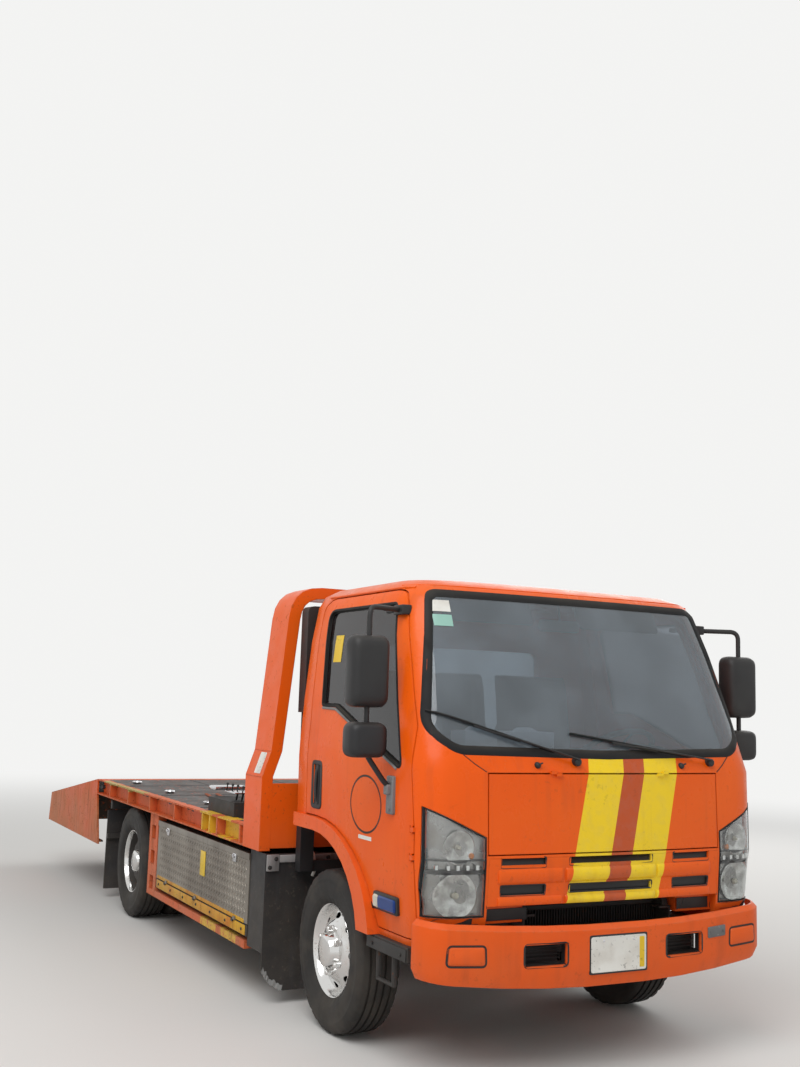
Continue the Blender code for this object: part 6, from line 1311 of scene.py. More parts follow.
@dataclass
class BumperTrim:
    """Number plate, fog covers, slot frames and tag on the bumper."""

    plate_half: Pair = (0.155, 0.0775)
    plate_z: float = 0.536
    plate_y: float = -1.110

    def build(self) -> None:
        """Makes the fine parts of the bumper."""
        ground = Ground("bumper")
        self.make_plate()
        self.make_fog_covers(ground)
        self.make_slots(ground)
        self.make_tag(ground)

    def make_plate(self) -> None:
        """Hangs a bare number plate in its holder."""
        (half_x, half_z), face = self.plate_half, self.plate_y
        low, high = self.plate_z - half_z, self.plate_z + half_z
        holder = Form("plate_holder")
        outline = panel((-half_x - 0.008, low - 0.008), (half_x + 0.008, high + 0.008), 0.010, 3)
        holder.loft([[spot(x, y, z) for x, z in outline] for y in (face - 0.0008, face + 0.012)])
        holder.done(Finishes.plastic, "chassis")
        plate = Form("number_plate")
        outline = panel((-half_x, low), (half_x, high), 0.012, 4)
        plate.loft([[spot(x, face - rise, z) for x, z in grown(outline, grow)] for grow, rise in
                    ((0.0, 0.0008), (0.0, 0.0028), (-0.004, 0.0033), (-0.007, 0.0023))])
        plate.done(WHITE, "chassis", 50, slot="orange_paint")
        strip = Form("plate_strip")
        outline = panel((half_x - 0.038, low + 0.010), (half_x - 0.010, high - 0.010), 0.004, 2)
        strip.loft([[spot(x, face - y, z) for x, z in outline] for y in (0.0020, 0.0028)])
        strip.done(AMBER, "chassis", slot="orange_paint")
        screws = Form("plate_screws")
        for x in (-0.085, 0.085):
            screws.turn([(-0.0015, 0.0), (-0.0015, 0.004), (-0.0005, 0.006), (0.0, 0.006)],
                        spot(x, face - 0.0024, self.plate_z + 0.058), "Y", 12)
        screws.done(Finishes.rod, "chassis")

    def make_fog_covers(self, ground: Ground) -> None:
        """Makes the blind covers where fog lamps would be, each ringed by a dark band that is partly the shut
        gap and partly painted shadow of the recess.
        """
        gaps, covers = Form("fog_cover_gap_shade"), Form("fog_covers")
        outline = dense(rounded([(0.690, 0.520, 0.016), (0.868, 0.528, 0.016), (0.862, 0.606, 0.016),
                                 (0.694, 0.600, 0.016)], 5), 0.012)
        for hand in (-1, 1):
            gaps.loft(ground.stack(outline, ((0.008, 0.0006), (-0.001, 0.0006)), hand), capped=False)
            covers.loft(ground.stack(outline, ((-0.002, -0.001), (-0.004, 0.004), (-0.009, 0.0065)), hand))
        # The dark band is partly the real shut gap, partly painted shadow of the recessed pocket.
        gaps.done(INK, "chassis", slot="black_plastic")
        covers.done(Finishes.bumper, "chassis", 50)

    def make_slots(self, ground: Ground) -> None:
        """Frames the two slots and closes them with dark bars before a back plate."""
        frames, bars = Form("bumper_slot_frames"), Form("bumper_slot_bars")
        for hand in (-1, 1):
            outline = rounded([(hand * 0.285, 0.506, 0.012), (hand * 0.495, 0.510, 0.012),
                               (hand * 0.495, 0.592, 0.012), (hand * 0.285, 0.592, 0.012)], 4)
            rows = ground.stack(outline, ((0.012, 0.0005), (0.010, 0.003), (0.004, 0.003)))
            rows.append([point + Vector((0, 0.05, 0)) for point in rows[-1]])
            frames.loft(rows, capped=False)
            for z in (0.524, 0.540, 0.556, 0.572):
                bars.tube([spot(hand * 0.275, -1.040, z), spot(hand * 0.505, -1.030, z)], 0.003, 6)
            left, right = sorted((hand * 0.27, hand * 0.51))
            bars.box((left, -1.012, 0.50), (right, -1.004, 0.60), 0.002)
        frames.done(Finishes.plastic, "chassis")
        bars.done(Finishes.plastic, "chassis")

    def make_tag(self, ground: Ground) -> None:
        """Makes the small grey cover plate at the left."""
        form = Form("bumper_tag")
        outline = rounded([(0.540, 0.566, 0.006), (0.655, 0.572, 0.006), (0.655, 0.622, 0.006),
                           (0.540, 0.616, 0.006)], 3)
        form.loft(ground.stack(outline, ((0.0, -0.001), (0.0, 0.004), (-0.004, 0.006))))
        for x in (0.556, 0.640):
            form.bolt(ground.front(x, 0.595, 0.006), Vector((0, -1, 0)), 0.005)
        form.done(GREY_CAST, "chassis")


@dataclass
class Wheels:
    """Tyres with their tread, bright rims, nuts and hub caps."""

    radius: float = 0.395
    half_width: float = 0.113
    bead: float = 0.222
    steps: int = 120
    front_x: float = 0.840
    inner_x: float = 0.708
    outer_x: float = 0.958

    def build(self) -> None:
        """Makes the front and the twin rear wheels."""
        for side, hand in SIDES.items():
            front = Vector((hand * self.front_x, FRONT_AXLE_Y, AXLE_Z))
            body = f"front_wheel_{side}"
            self.make_tyre(f"road_tyre_front_{side}", front, body, f"front_tyre_{side}")
            self.make_front_rim(side, hand, front, body)
            body = f"rear_wheels_{side}"
            for place, x in (("inner", self.inner_x), ("outer", self.outer_x)):
                centre = Vector((hand * x, REAR_AXLE_Y, AXLE_Z))
                self.make_tyre(f"road_tyre_rear_{place}_{side}", centre, body, f"rear_tyre_{place}_{side}")
            self.make_rear_rim(side, hand, body)

    def tyre_profile(self) -> list[Pair]:
        """Half sections of the tyre from one bead round the tread to the other."""
        wide = self.half_width
        half = [(0.080, self.bead - 0.004), (0.084, self.bead + 0.002), (0.096, self.bead + 0.016),
                (0.1085, 0.262), (0.1095, 0.266), (wide - 0.0005, 0.290), (wide, 0.304),
                (wide - 0.0005, 0.318),
                (0.1105, 0.336), (0.1120, 0.340), (0.1110, 0.346), (0.1070, 0.362), (0.1020, 0.378),
                (0.0960, 0.3865), (0.0900, 0.3900), (0.0640, 0.3925), (0.0620, 0.3825), (0.0520, 0.3825),
                (0.0500, 0.3930), (0.0260, 0.3945), (0.0240, 0.3835), (0.0140, 0.3835), (0.0120, self.radius)]
        return [(-x, r) for x, r in half] + [(x, r) for x, r in reversed(half)]

    def make_tyre(self, name: str, centre: Vector, body: str, node: str) -> None:
        """Makes one tyre with grooves round it and notches at its shoulders."""

        def notch(index: int, along: float, out: float) -> Pair:
            """Cuts sipes in the ribs and notches in the shoulders."""
            edge = abs(along)
            if 0.088 < edge < 0.1035 and index % 4 == 0:
                return along, out - 0.0065
            if 0.049 < edge < 0.066 and out > 0.39 and index % 2 == 0:
                return along * 1.02, out
            return along, out

        form = Form(name)
        form.turn(self.tyre_profile(), centre, "X", self.steps, notch)
        form.done(Finishes.tyre, body, 38, replaces=[node])

    def make_front_rim(self, side: str, hand: int, centre: Vector, body: str) -> None:
        """Makes the bright cover of a front wheel: lip, pierced disc, nuts and hub."""
        face = [(0.070, 0.2215), (0.086, 0.2260), (0.0905, 0.2230), (0.0885, 0.2170), (0.076, 0.2080),
                (0.056, 0.1980), (0.048, 0.1880), (0.052, 0.1700), (0.066, 0.1500), (0.078, 0.1360),
                (0.083, 0.1260),
                (0.084, 0.1000), (0.086, 0.0900), (0.096, 0.0840), (0.118, 0.0800), (0.128, 0.0740),
                (0.132, 0.0600), (0.1335, 0.0300), (0.134, 0.0)]
        self.disc(f"bright_rim_front_{side}", hand, centre, face, 0.167, (0.015, 0.022), 0.060, body,
                  f"front_rim_{side}")
        self.nuts(f"wheel_nuts_front_{side}", hand, centre, 0.105, 0.084, 6, 0.0145, 0.034, body)
        self.back(f"rim_inside_front_{side}", hand, centre, body)

    def make_rear_rim(self, side: str, hand: int, body: str) -> None:
        """Makes the dished rear rims and their hub."""
        centre = Vector((hand * self.outer_x, REAR_AXLE_Y, AXLE_Z))
        face = [(0.070, 0.2215), (0.086, 0.2260), (0.0905, 0.2230), (0.0885, 0.2170), (0.070, 0.2090),
                (0.030, 0.2040), (-0.010, 0.1990), (-0.026, 0.1900), (-0.030, 0.1750), (-0.026, 0.1500),
                (-0.022, 0.1300), (-0.020, 0.1000), (-0.016, 0.0920), (0.020, 0.0860), (0.060, 0.0800),
                (0.074, 0.0740), (0.079, 0.0600), (0.082, 0.0)]
        self.disc(f"bright_rim_rear_{side}", hand, centre, face, 0.163, (0.015, 0.022), -0.028, body,
                  f"rear_rims_{side}")
        self.nuts(f"wheel_nuts_rear_{side}", hand, centre, 0.111, -0.020, 6, 0.0145, 0.036, body)
        self.back(f"rim_inside_rear_outer_{side}", hand, centre, body)
        inner = Vector((hand * self.inner_x, REAR_AXLE_Y, AXLE_Z))
        self.back(f"rim_inside_rear_inner_{side}", -hand, inner, body)

    def disc(self, name: str, hand: int, centre: Vector, face: list[Pair], hole_ring: float, hole: Pair,
             hole_depth: float, body: str, node: str) -> None:
        """Turns a rim's face and pierces its hand holes."""
        back = [(along - 0.004, max(out - 0.0005, 0.0)) for along, out in reversed(face)]
        form = Form(name)
        form.turn([(hand * a, r) for a, r in face + back], centre, "X", 96)
        made = form.done(Finishes.chrome, body, 40, replaces=[node])
        cutter = Form("hand_holes")
        for index in range(8):
            angle = 2 * pi * index / 8
            out = Vector((0, cos(angle), sin(angle)))
            round_about = Vector((0, -sin(angle), cos(angle)))
            rows = []
            for depth in (-0.03, 0.03):
                rows.append([centre + Vector((hand * (hole_depth + depth), 0, 0)) + out * (hole_ring + hole[0]
                             * cos(2 * pi * i / 20)) + round_about * (hole[1] * sin(2 * pi * i / 20))
                             for i in range(20)])
            cutter.loft(rows)
        pierce(made, cutter)

    def nuts(self, name: str, hand: int, centre: Vector, ring: float, depth: float, count: int, size: float,
             length: float, body: str) -> None:
        """Makes the bright nut caps."""
        form = Form(name)
        profile = [(0.0, size * 1.15), (0.004, size * 1.15), (0.006, size), (length * 0.8, size * 0.92),
                   (length * 0.95, size * 0.65), (length, 0.0)]
        for index in range(count):
            angle = 2 * pi * (index + 0.5) / count
            place = centre + Vector((hand * depth, ring * cos(angle), ring * sin(angle)))
            form.turn([(hand * a, r) for a, r in profile], place, "X", 12)
        form.done(Finishes.chrome, body, 30)

    def back(self, name: str, hand: int, centre: Vector, body: str) -> None:
        """Makes the dark steel barrel and disc behind a rim's bright face."""
        form = Form(name)
        profile = [(0.068, 0.2205), (0.060, 0.2060), (-0.060, 0.1980), (-0.078, 0.2200), (-0.088, 0.2280),
                   (-0.090, 0.2240), (-0.080, 0.2140), (-0.062, 0.1930), (0.010, 0.1890), (0.012, 0.1600),
                   (0.034, 0.1300), (0.036, 0.0), (0.046, 0.0), (0.048, 0.1330), (0.022, 0.1720),
                   (0.022, 0.1900),
                   (0.058, 0.2000)]
        form.turn([(hand * a, r) for a, r in profile], centre, "X", 48)
        form.done(Finishes.black_steel, body, 40)


def pierce(piece: bpy.types.Object, cutter: Form) -> None:
    """Cuts a form out of a piece and applies the cut.

    Args:
        piece: the piece to cut.
        cutter: the closed form to take away.
    """
    bmesh.ops.recalc_face_normals(cutter.mesh, faces=cutter.mesh.faces)
    data = bpy.data.meshes.new(cutter.name)
    cutter.mesh.to_mesh(data)
    cutter.mesh.free()
    tool = bpy.data.objects.new(cutter.name, data)
    bpy.context.scene.collection.objects.link(tool)
    tool.hide_render = True
    change = piece.modifiers.new("cut", "BOOLEAN")
    change.operation = "DIFFERENCE"
    change.solver = "EXACT"
    change.object = tool
    bpy.context.view_layer.update()
    graph = bpy.context.evaluated_depsgraph_get()
    cut = bpy.data.meshes.new_from_object(piece.evaluated_get(graph))
    piece.modifiers.clear()
    piece.data = cut
    bpy.data.objects.remove(tool)


@dataclass
class GrilleTrim:
    """Dark slot liners, the raised bars between the slots, painted shade under the nose, and the cooler
    behind the grille.
    """

    slots: tuple[Point, ...] = ((-0.592, -0.365, 0.050), (-0.236, 0.236, 0.040),
                                                     (0.365, 0.592, 0.050))
    slot_rows: Pair = (0.943, 0.823)
    mouldings: tuple[Point, ...] = ((-0.606, -0.268, 0.009), (-0.256, 0.256, 0.015),
                                                         (0.268, 0.606, 0.009))

    def build(self) -> None:
        """Makes the liners with their bars, the mouldings, the painted shade in the gaps under the nose and
        the cooler.
        """
        ground = Ground("grille", "front_lid", "cab_shell")
        liners, bars = Form("grille_liners"), Form("grille_bars")
        for z in self.slot_rows:
            for low, high, tall in self.slots:
                outline = panel((low - 0.004, z - tall / 2), (high + 0.004, z + tall / 2), 0.010, 4)
                face = [self.place(ground, x, z, zz, tall) for x, zz in outline]
                inner = [self.place(ground, x, z, zz, tall) for x, zz in grown(outline, -0.006)]
                back = [point + Vector((0, 0.040, 0)) for point in inner]
                liners.loft([[p + Vector((0, 0.010, 0)) for p in face],
                             [p - Vector((0, 0.002, 0)) for p in face],
                             inner, back])
                for share in (0.30, 0.70):
                    up = z - tall / 2 + tall * share
                    depth = inner[0].y + 0.022
                    count = 9 if high - low > 0.3 else 5
                    bars.tube([Vector((x, depth, up)) for x in spread(low, high, count)], 0.003, 6)
        liners.done(Finishes.plastic, "cab", 40)
        bars.done(Finishes.plastic, "cab")
        self.make_mouldings(ground)
        self.make_painted_gap_shade(ground)
        self.make_cooler()

    def place(self, ground: Ground, x: float, row: float, z: float, tall: float) -> Vector:
        """The grille's face beside a slot, at a point of the slot's outline."""
        edge = row + (tall / 2 + 0.012) * (1 if z > row else -1)
        edge = min(max(edge, 0.762), 0.960)
        face = ground.front(x, edge, 0.0)
        return Vector((x, face.y, z))

    def make_mouldings(self, ground: Ground) -> None:
        """Raises the rounded bars between the slots, the middle ones further than the outer ones."""
        form = Form("grille_mouldings")
        ends = ((0.0, 0.0), (0.003, 0.7), (0.009, 1.0))
        for low, high, lift in self.mouldings:
            along = [(low + shift, share) for shift, share in ends]
            along += [(x, 1.0) for x in spread(low, high, 14)[1:-1]]
            along += [(high - shift, share) for shift, share in reversed(ends)]
            for floor, top in ((0.750, 0.795), (0.851, 0.915)):
                rows = []
                up = spread(floor, top, 10)
                for x, share in along:
                    crest = [ground.front(x, z, 0.0004 + lift * share * sin(pi * i / 10) ** 0.55)
                             for i, z in enumerate(up)]
                    back = [ground.front(x, z, -0.002) for z in (up[-1], up[5], up[0])]
                    rows.append(crest + back)
                form.loft(rows)
        form.done(Finishes.nose, "cab", 40)

    def make_painted_gap_shade(self, ground: Ground) -> None:
        """Lays black strips as painted shade over the shut gap under the grille and the lamps."""
        form = Form("nose_painted_shade")
        for hand in (-1, 1):
            for low, high, floor, top in ((0.430, 0.640, 0.687, 0.738), (0.655, 0.955, 0.684, 0.710)):
                outline = [(x, floor) for x in spread(low, high, 8)]
                outline += [(x, top) for x in spread(high, low, 8)]
                form.loft([[ground.front(hand * x, z, lift) for x, z in outline] for lift in (-0.002, 0.003)])
        form.done(Finishes.plastic, "cab", 50)

    def make_cooler(self) -> None:
        """Makes the finned cooler and its frame low behind the nose."""
        fins, case = Form("cooler_fins"), Form("cooler_frame")
        for index in range(58):
            x = -0.430 + index * 0.0151
            fins.box((x, -0.866, 0.470), (x + 0.005, -0.846, 0.700))
        for left, right, floor, top in ((-0.450, 0.450, 0.450, 0.470), (-0.450, 0.450, 0.700, 0.722),
                                        (-0.452, -0.432, 0.450, 0.722), (0.432, 0.452, 0.450, 0.722)):
            case.box((left, -0.872, floor), (right, -0.844, top), 0.004)
        case.box((-0.440, -0.846, 0.462), (0.440, -0.842, 0.712))
        fins.done(Finishes.black_steel, "chassis")
        case.done(Finishes.black_steel, "chassis")


@dataclass
class CabTrim:
    """Gutter, roof seam, marks on the glass and the inside mirror."""

    gutter_z: float = 2.182
    seam_z: float = 2.196

    def build(self) -> None:
        """Makes the cab's remaining outer and upper trim."""
        self.make_gutters()
        self.make_stickers()
        self.make_inside_mirror()

    def make_gutters(self) -> None:
        """Runs a small gutter over each door and a seam over the windscreen."""
        ground = Ground("cab_shell")
        form = Form("roof_gutters")
        for hand in (-1, 1):
            form.tube([ground.side(hand, y, self.gutter_z, 0.001) for y in spread(-0.60, 0.30, 20)], 0.006, 8)
        form.tube([ground.front(x, self.seam_z, 0.0005) for x in spread(-0.86, 0.86, 30)], 0.004, 8)
        form.done(Finishes.cab, "cab")

    def make_stickers(self) -> None:
        """Sticks two bare labels in the corner of the windscreen and one on the door glass."""
        ground = Ground("windscreen")
        for name, z, finish in (("screen_label_upper", 2.095, WHITE),
                                ("screen_label_lower", 2.025, GREEN_LABEL)):
            form = Form(name)
            form.sticker(ground.front, (-0.800, z - 0.030), (-0.705, z + 0.025))
            form.done(finish, "cab")
        glass = Ground("door_glass_right")
        form = Form("door_label")
        form.sticker(lambda y, z, lift: glass.side(-1, y, z, lift), (0.030, 1.830), (0.125, 1.970))
        form.done(AMBER, "door_right")

    def make_inside_mirror(self) -> None:
        """Hangs the inside mirror and two sun visors."""
        back, face, visors = Form("inside_mirror"), Form("inside_mirror_glass"), Form("sun_visors")
        outline = panel((-0.120, 2.010), (0.120, 2.070), 0.020)
        back.loft([[spot(x, y, z) for x, z in grown(outline, grow)] for y, grow in
                   ((-0.618, -0.006), (-0.612, 0.0), (-0.596, 0.0))])
        back.tube([spot(0, -0.612, 2.065), spot(0, -0.600, 2.130), spot(0, -0.585, 2.165)], 0.006, 8)
        face.loft([[spot(x, y, z) for x, z in grown(outline, -0.005)] for y in (-0.5962, -0.5950)])
        for x in (-0.400, 0.400):
            outline = rounded([(x - 0.260, 2.035, 0.03), (x + 0.260, 2.035, 0.03), (x + 0.260, 2.160, 0.01),
                               (x - 0.260, 2.160, 0.01)])
            visors.loft([[spot(a, -0.560 + (b - 2.10) * 0.5 + lift, b) for a, b in grown(outline, grow)]
                         for lift, grow in ((0.0, -0.004), (0.004, 0.0), (0.012, 0.0), (0.016, -0.004))])
        back.done(SILL_GREY, "cab", slot="cab_trim")
        face.done(SILVER, "cab")
        visors.done(Finishes.trim, "cab")


@dataclass
class LockerTrim:
    """Lozenge plate, latch, label and painted sill of one tool locker."""

    hand: int
    side: str
    front_y: float
    rear_y: float = 2.620
    low_z: float = 0.392
    high_z: float = 0.748
    pitch: float = 0.046

    def build(self) -> None:
        """Makes the locker's trim."""
        self.make_lozenges()
        self.make_lid_trim()
        self.make_sill()

    def face(self) -> float:
        """The lid's outer face."""
        found = Ground(f"box_lid_{self.side}").side(self.hand, (self.front_y + self.rear_y) / 2 + 0.07, 0.57)
        return found.x * self.hand

    def make_lozenges(self) -> None:
        """Raises the lozenges of the tread plate on the lid."""
        face = self.face()
        form = Form(f"tread_lozenges_{self.side}")
        rows = int((self.high_z - self.low_z) / self.pitch * 2)
        columns = int((self.rear_y - self.front_y - 0.04) / self.pitch)
        long_half, wide_half, rise = 0.0200, 0.0052, 0.0026
        for row in range(rows):
            for column in range(columns):
                y = self.front_y + 0.034 + (column + 0.5 * (row % 2)) * self.pitch
                z = self.low_z + 0.012 + row * self.pitch / 2
                if y > self.rear_y - 0.024 or z > self.high_z - 0.010:
                    continue
                turn = pi / 4 if (row + column * 2) % 2 == 0 else -pi / 4
                along, across = Vector((0, cos(turn), sin(turn))), Vector((0, -sin(turn), cos(turn)))
                centre = spot(self.hand * face, y, z)
                out = Vector((self.hand * rise, 0, 0))
                sink = out * -0.5
                rim = form.ring([centre + along * long_half + sink, centre + across * wide_half + sink,
                                 centre - along * long_half + sink, centre - across * wide_half + sink])
                top = form.ring([centre + along * long_half * 0.5 + out,
                                 centre + across * wide_half * 0.4 + out,
                                 centre - along * long_half * 0.5 + out,
                                 centre - across * wide_half * 0.4 + out])
                form.skin(rim, top)
                form.mesh.faces.new(top)
                form.mesh.faces.new(rim)
        form.done(Finishes.tread, f"box_lid_{self.side}", 50)

    def make_lid_trim(self) -> None:
        """Adds the bare label, the paint along the lower edge and the catches."""
        face = self.face() + 0.0024
        body = f"box_lid_{self.side}"
        label = Form(f"locker_label_{self.side}")
        middle = self.front_y + (self.rear_y - self.front_y) * 0.45
        label.box((face - 0.0006, middle - 0.048, 0.530), (face + 0.0006, middle + 0.048, 0.680), 0.0004)
        stripe = Form(f"locker_stripe_{self.side}")
        stripe.box((face - 0.002, self.front_y + 0.03, 0.381), (face, self.rear_y - 0.01, 0.402), 0.0005)
        catches = Form(f"locker_catches_{self.side}")
        for y in (self.front_y + 0.22, self.rear_y - 0.22):
            catches.box((face - 0.002, y - 0.026, 0.690), (face + 0.006, y + 0.026, 0.738), 0.003)
            catches.tube([spot(face + 0.009, y - 0.018, 0.728), spot(face + 0.012, y, 0.714),
                          spot(face + 0.009, y + 0.018, 0.728)], 0.004, 8)
        for form, finish in ((label, AMBER), (stripe, STRIPE_PAINT), (catches, Finishes.rod)):
            form.done(finish, body, hand=self.hand)

    def make_sill(self) -> None:
        """Paints the sill under the lid and fits its bolts."""
        sill = Form(f"locker_sill_{self.side}")
        sill.box((1.0705, self.front_y + 0.005, 0.318), (1.0735, self.rear_y - 0.005, 0.372), 0.001)
        bolts = Form(f"locker_bolts_{self.side}")
        for index in range(7):
            y = self.front_y + 0.06 + index * (self.rear_y - self.front_y - 0.12) / 6
            bolts.bolt(spot(1.0735, y, 0.345), Vector((1, 0, 0)), 0.006)
        sill.done(STRIPE_PAINT, "chassis", hand=self.hand)
        bolts.done(Finishes.black_steel, "chassis", hand=self.hand)


@dataclass
class BedTrim:
    """Fine parts of the bed, its tail and its hoop."""

    weld_z: float = 0.9205
    ring_x: float = 0.900
    drum: Point = (0.0, 1.150, 1.060)
    rope_turns: int = 15
    rope_steps: int = 20
    lamp_x: float = 0.93
    tail_lamp_x: float = 0.905
    tail_lamp_z: float = 0.540

    def build(self) -> None:
        """Makes the bed's trim."""
        self.make_floor()
        self.make_hoop()
        self.make_winch()
        self.make_tail()

    def make_floor(self) -> None:
        """Lays weld seams, lashing rings and straps on the floor, and dresses the valve box."""
        seams, rings, straps = Form("deck_seams"), Form("lashing_rings"), Form("wheel_straps")
        for y in (1.90, 2.80, 3.65):
            line = enumerate(spread(-1.02, 1.02, 24))
            seams.tube([spot(x, y + 0.001 * (i % 2), self.weld_z) for i, x in line], 0.003, 6)
        for x in (-0.36, 0.36):
            seams.tube([spot(x, y, self.weld_z) for y in spread(0.95, 4.23, 30)], 0.003, 6)
        for hand in (-1, 1):
            for y in (2.10, 3.00, 3.90):
                x = hand * self.ring_x
                centre = spot(x, y, 0.930)
                loop = oval(0.0, 0.0, 0.032, 0.038, 20)
                rings.tube([centre + Vector((a, b, 0.004)) for a, b in loop + loop[:1]], 0.006, 8)
                rings.box((x - 0.030, y - 0.010, 0.920), (x + 0.030, y + 0.010, 0.936), 0.003)
        for x in (-0.70, -0.62):
            line = [spot(x + 0.010 * sin(i * 1.3), 2.02 + i * 0.07,
                         0.924 + 0.003 * (i % 3)) for i in range(12)]
            straps.tube(line, 0.016, 8, 0.25)
        seams.done(Finishes.deck_steel, "deck")
        rings.done(Finishes.rod, "deck")
        straps.done(STRAP, "deck")
        levers, cap = Form("valve_knobs"), Form("valve_cover")
        for index in range(4):
            y = 1.330 + index * 0.095
            root = spot(-0.952, y, 1.050)
            line = [root + Vector((0, back, up)) for back, up in ((0, 0), (-0.010, 0.022), (-0.016, 0.036))]
            levers.tube(line, 0.004, 8)
            levers.ball(root + Vector((0, -0.017, 0.042)), 0.009)
        cap.box((-1.020, 1.640, 1.050), (-0.800, 1.760, 1.072), 0.006)
        cap.box((-1.010, 1.300, 1.054), (-0.860, 1.480, 1.061), 0.002)
        levers.done(Finishes.plastic, "deck")
        cap.done(Finishes.rod, "deck")

    def make_hoop(self) -> None:
        """Adds the bare patch, the hoses and the weld beads of the hoop."""
        ground = Ground("headboard")
        patch = Form("hoop_patch")
        outline = panel((0.700, 1.215), (0.790, 1.330), 0.006, 2)
        patch.loft([[ground.side(-1, y, z, lift) for y, z in outline] for lift in (0.0002, 0.0014)])
        patch.done(WHITE, "deck", slot="orange_paint")
        hoses = Form("bulkhead_hoses")
        for index in range(4):
            x = -0.860 + index * 0.035
            line = [spot(x, 0.700, 0.990), spot(x, 0.690, 1.140),
                    spot(x + 0.03, 0.650, 1.196 + 0.008 * index),
                    spot(x + 0.08, 0.700, 1.160), spot(x + 0.10, 0.800, 1.000), spot(x + 0.10, 0.900, 0.935),
                    spot(x + 0.02, 1.150, 0.934)]
            hoses.tube(bent_path(line, 0.06, 8), 0.0085, 8)
        hoses.done(Finishes.rubber, "deck")
        beads = Form("hoop_weld_beads")
        for hand in (-1, 1):
            for z in (1.200, 1.340):
                beads.tube([ground.side(hand, y, z, 0.0) for y in spread(0.660, 0.895, 14)], 0.0035, 6)
        beads.done(Finishes.hoop, "deck")

    def make_winch(self) -> None:
        """Winds the rope on the drum in two layers."""
        rope = Form("winch_rope")
        centre = spot(*self.drum)
        for start, end, radius in ((-0.250, 0.250, 0.060), (0.250, -0.250, 0.071)):
            path = []
            for index, x in enumerate(spread(start, end, self.rope_turns * self.rope_steps)):
                angle = 2 * pi * index / self.rope_steps
                path.append(centre + Vector((x, radius * cos(angle), radius * sin(angle))))
            rope.tube(path, 0.0065, 6)
        rope.done(Finishes.rod, "winch_drum")

    def make_tail(self) -> None:
        """Adds the tail's end, the lamps on the frame's end and the tail's hinges."""
        lamps, cases, hinges = Form("rear_lamps"), Form("rear_lamp_cases"), Form("tail_hinges")
        self.make_tail_end()
        for hand in (-1, 1):
            centre = hand * self.lamp_x
            cases.box((centre - 0.10, 4.130, 0.702), (centre + 0.10, 4.178, 0.770), 0.006)
            for x in (-0.06, 0.0, 0.06):
                middle = centre + x
                lamps.box((middle - 0.026, 4.174, 0.712), (middle + 0.026, 4.188, 0.760), 0.004)
            hinges.tube([spot(hand * 1.060, 4.280, 0.865), spot(hand * 1.086, 4.280, 0.865)], 0.016, 12)
        cases.done(Finishes.plastic, "chassis")
        lamps.done(RED_LENS, "chassis")
        hinges.done(Finishes.black_steel, "deck")

    def make_tail_end(self) -> None:
        """Sets lamps, a bare plate and reflectors into the tail's rear face."""
        ground = Ground("beaver_tail")
        names = ("stop_lamps", "turn_lamps", "reverse_lamps", "lamp_frames")
        red, amber, pale, frames = (Form(f"tail_{name}") for name in names)

        def behind(x: float, z: float, lift: float) -> Vector:
            """The tail's rear face at a place, lifted off it."""
            found = ground.hit(spot(x, 9.0, z), Vector((0, -1, 0)))
            return (found[0] if found else spot(x, 6.29, z)) + Vector((0, lift, 0))

        def pad(form: Form, x: float, z: float, wide: float, high: float, lift: float) -> None:
            """Adds a rounded pad on the rear face."""
            outline = panel((x - wide, z - high), (x + wide, z + high), min(wide, high) * 0.3, 4)
            form.loft([[behind(a, b, depth) for a, b in grown(outline, grow)] for grow, depth in
                       ((0.0, -0.002), (0.0, lift * 0.7), (-0.004, lift))])

        for hand in (-1, 1):
            x, z = hand * self.tail_lamp_x, self.tail_lamp_z
            pad(frames, x, z, 0.125, 0.050, 0.008)
            for form, shift, wide in ((red, 0.070, 0.040), (amber, -0.010, 0.034), (pale, -0.082, 0.030)):
                pad(form, x + hand * shift, z, wide, 0.038, 0.018)
            pad(red, hand * 0.560, z, 0.060, 0.020, 0.008)
        plate = Form("rear_plate")
        pad(plate, 0.0, 0.545, 0.160, 0.055, 0.006)
        frames.done(Finishes.plastic, "deck")
        red.done(RED_LENS, "deck")
        amber.done(ORANGE_LENS, "deck")
        pale.done(PALE_LENS, "deck")
        plate.done(WHITE, "deck")


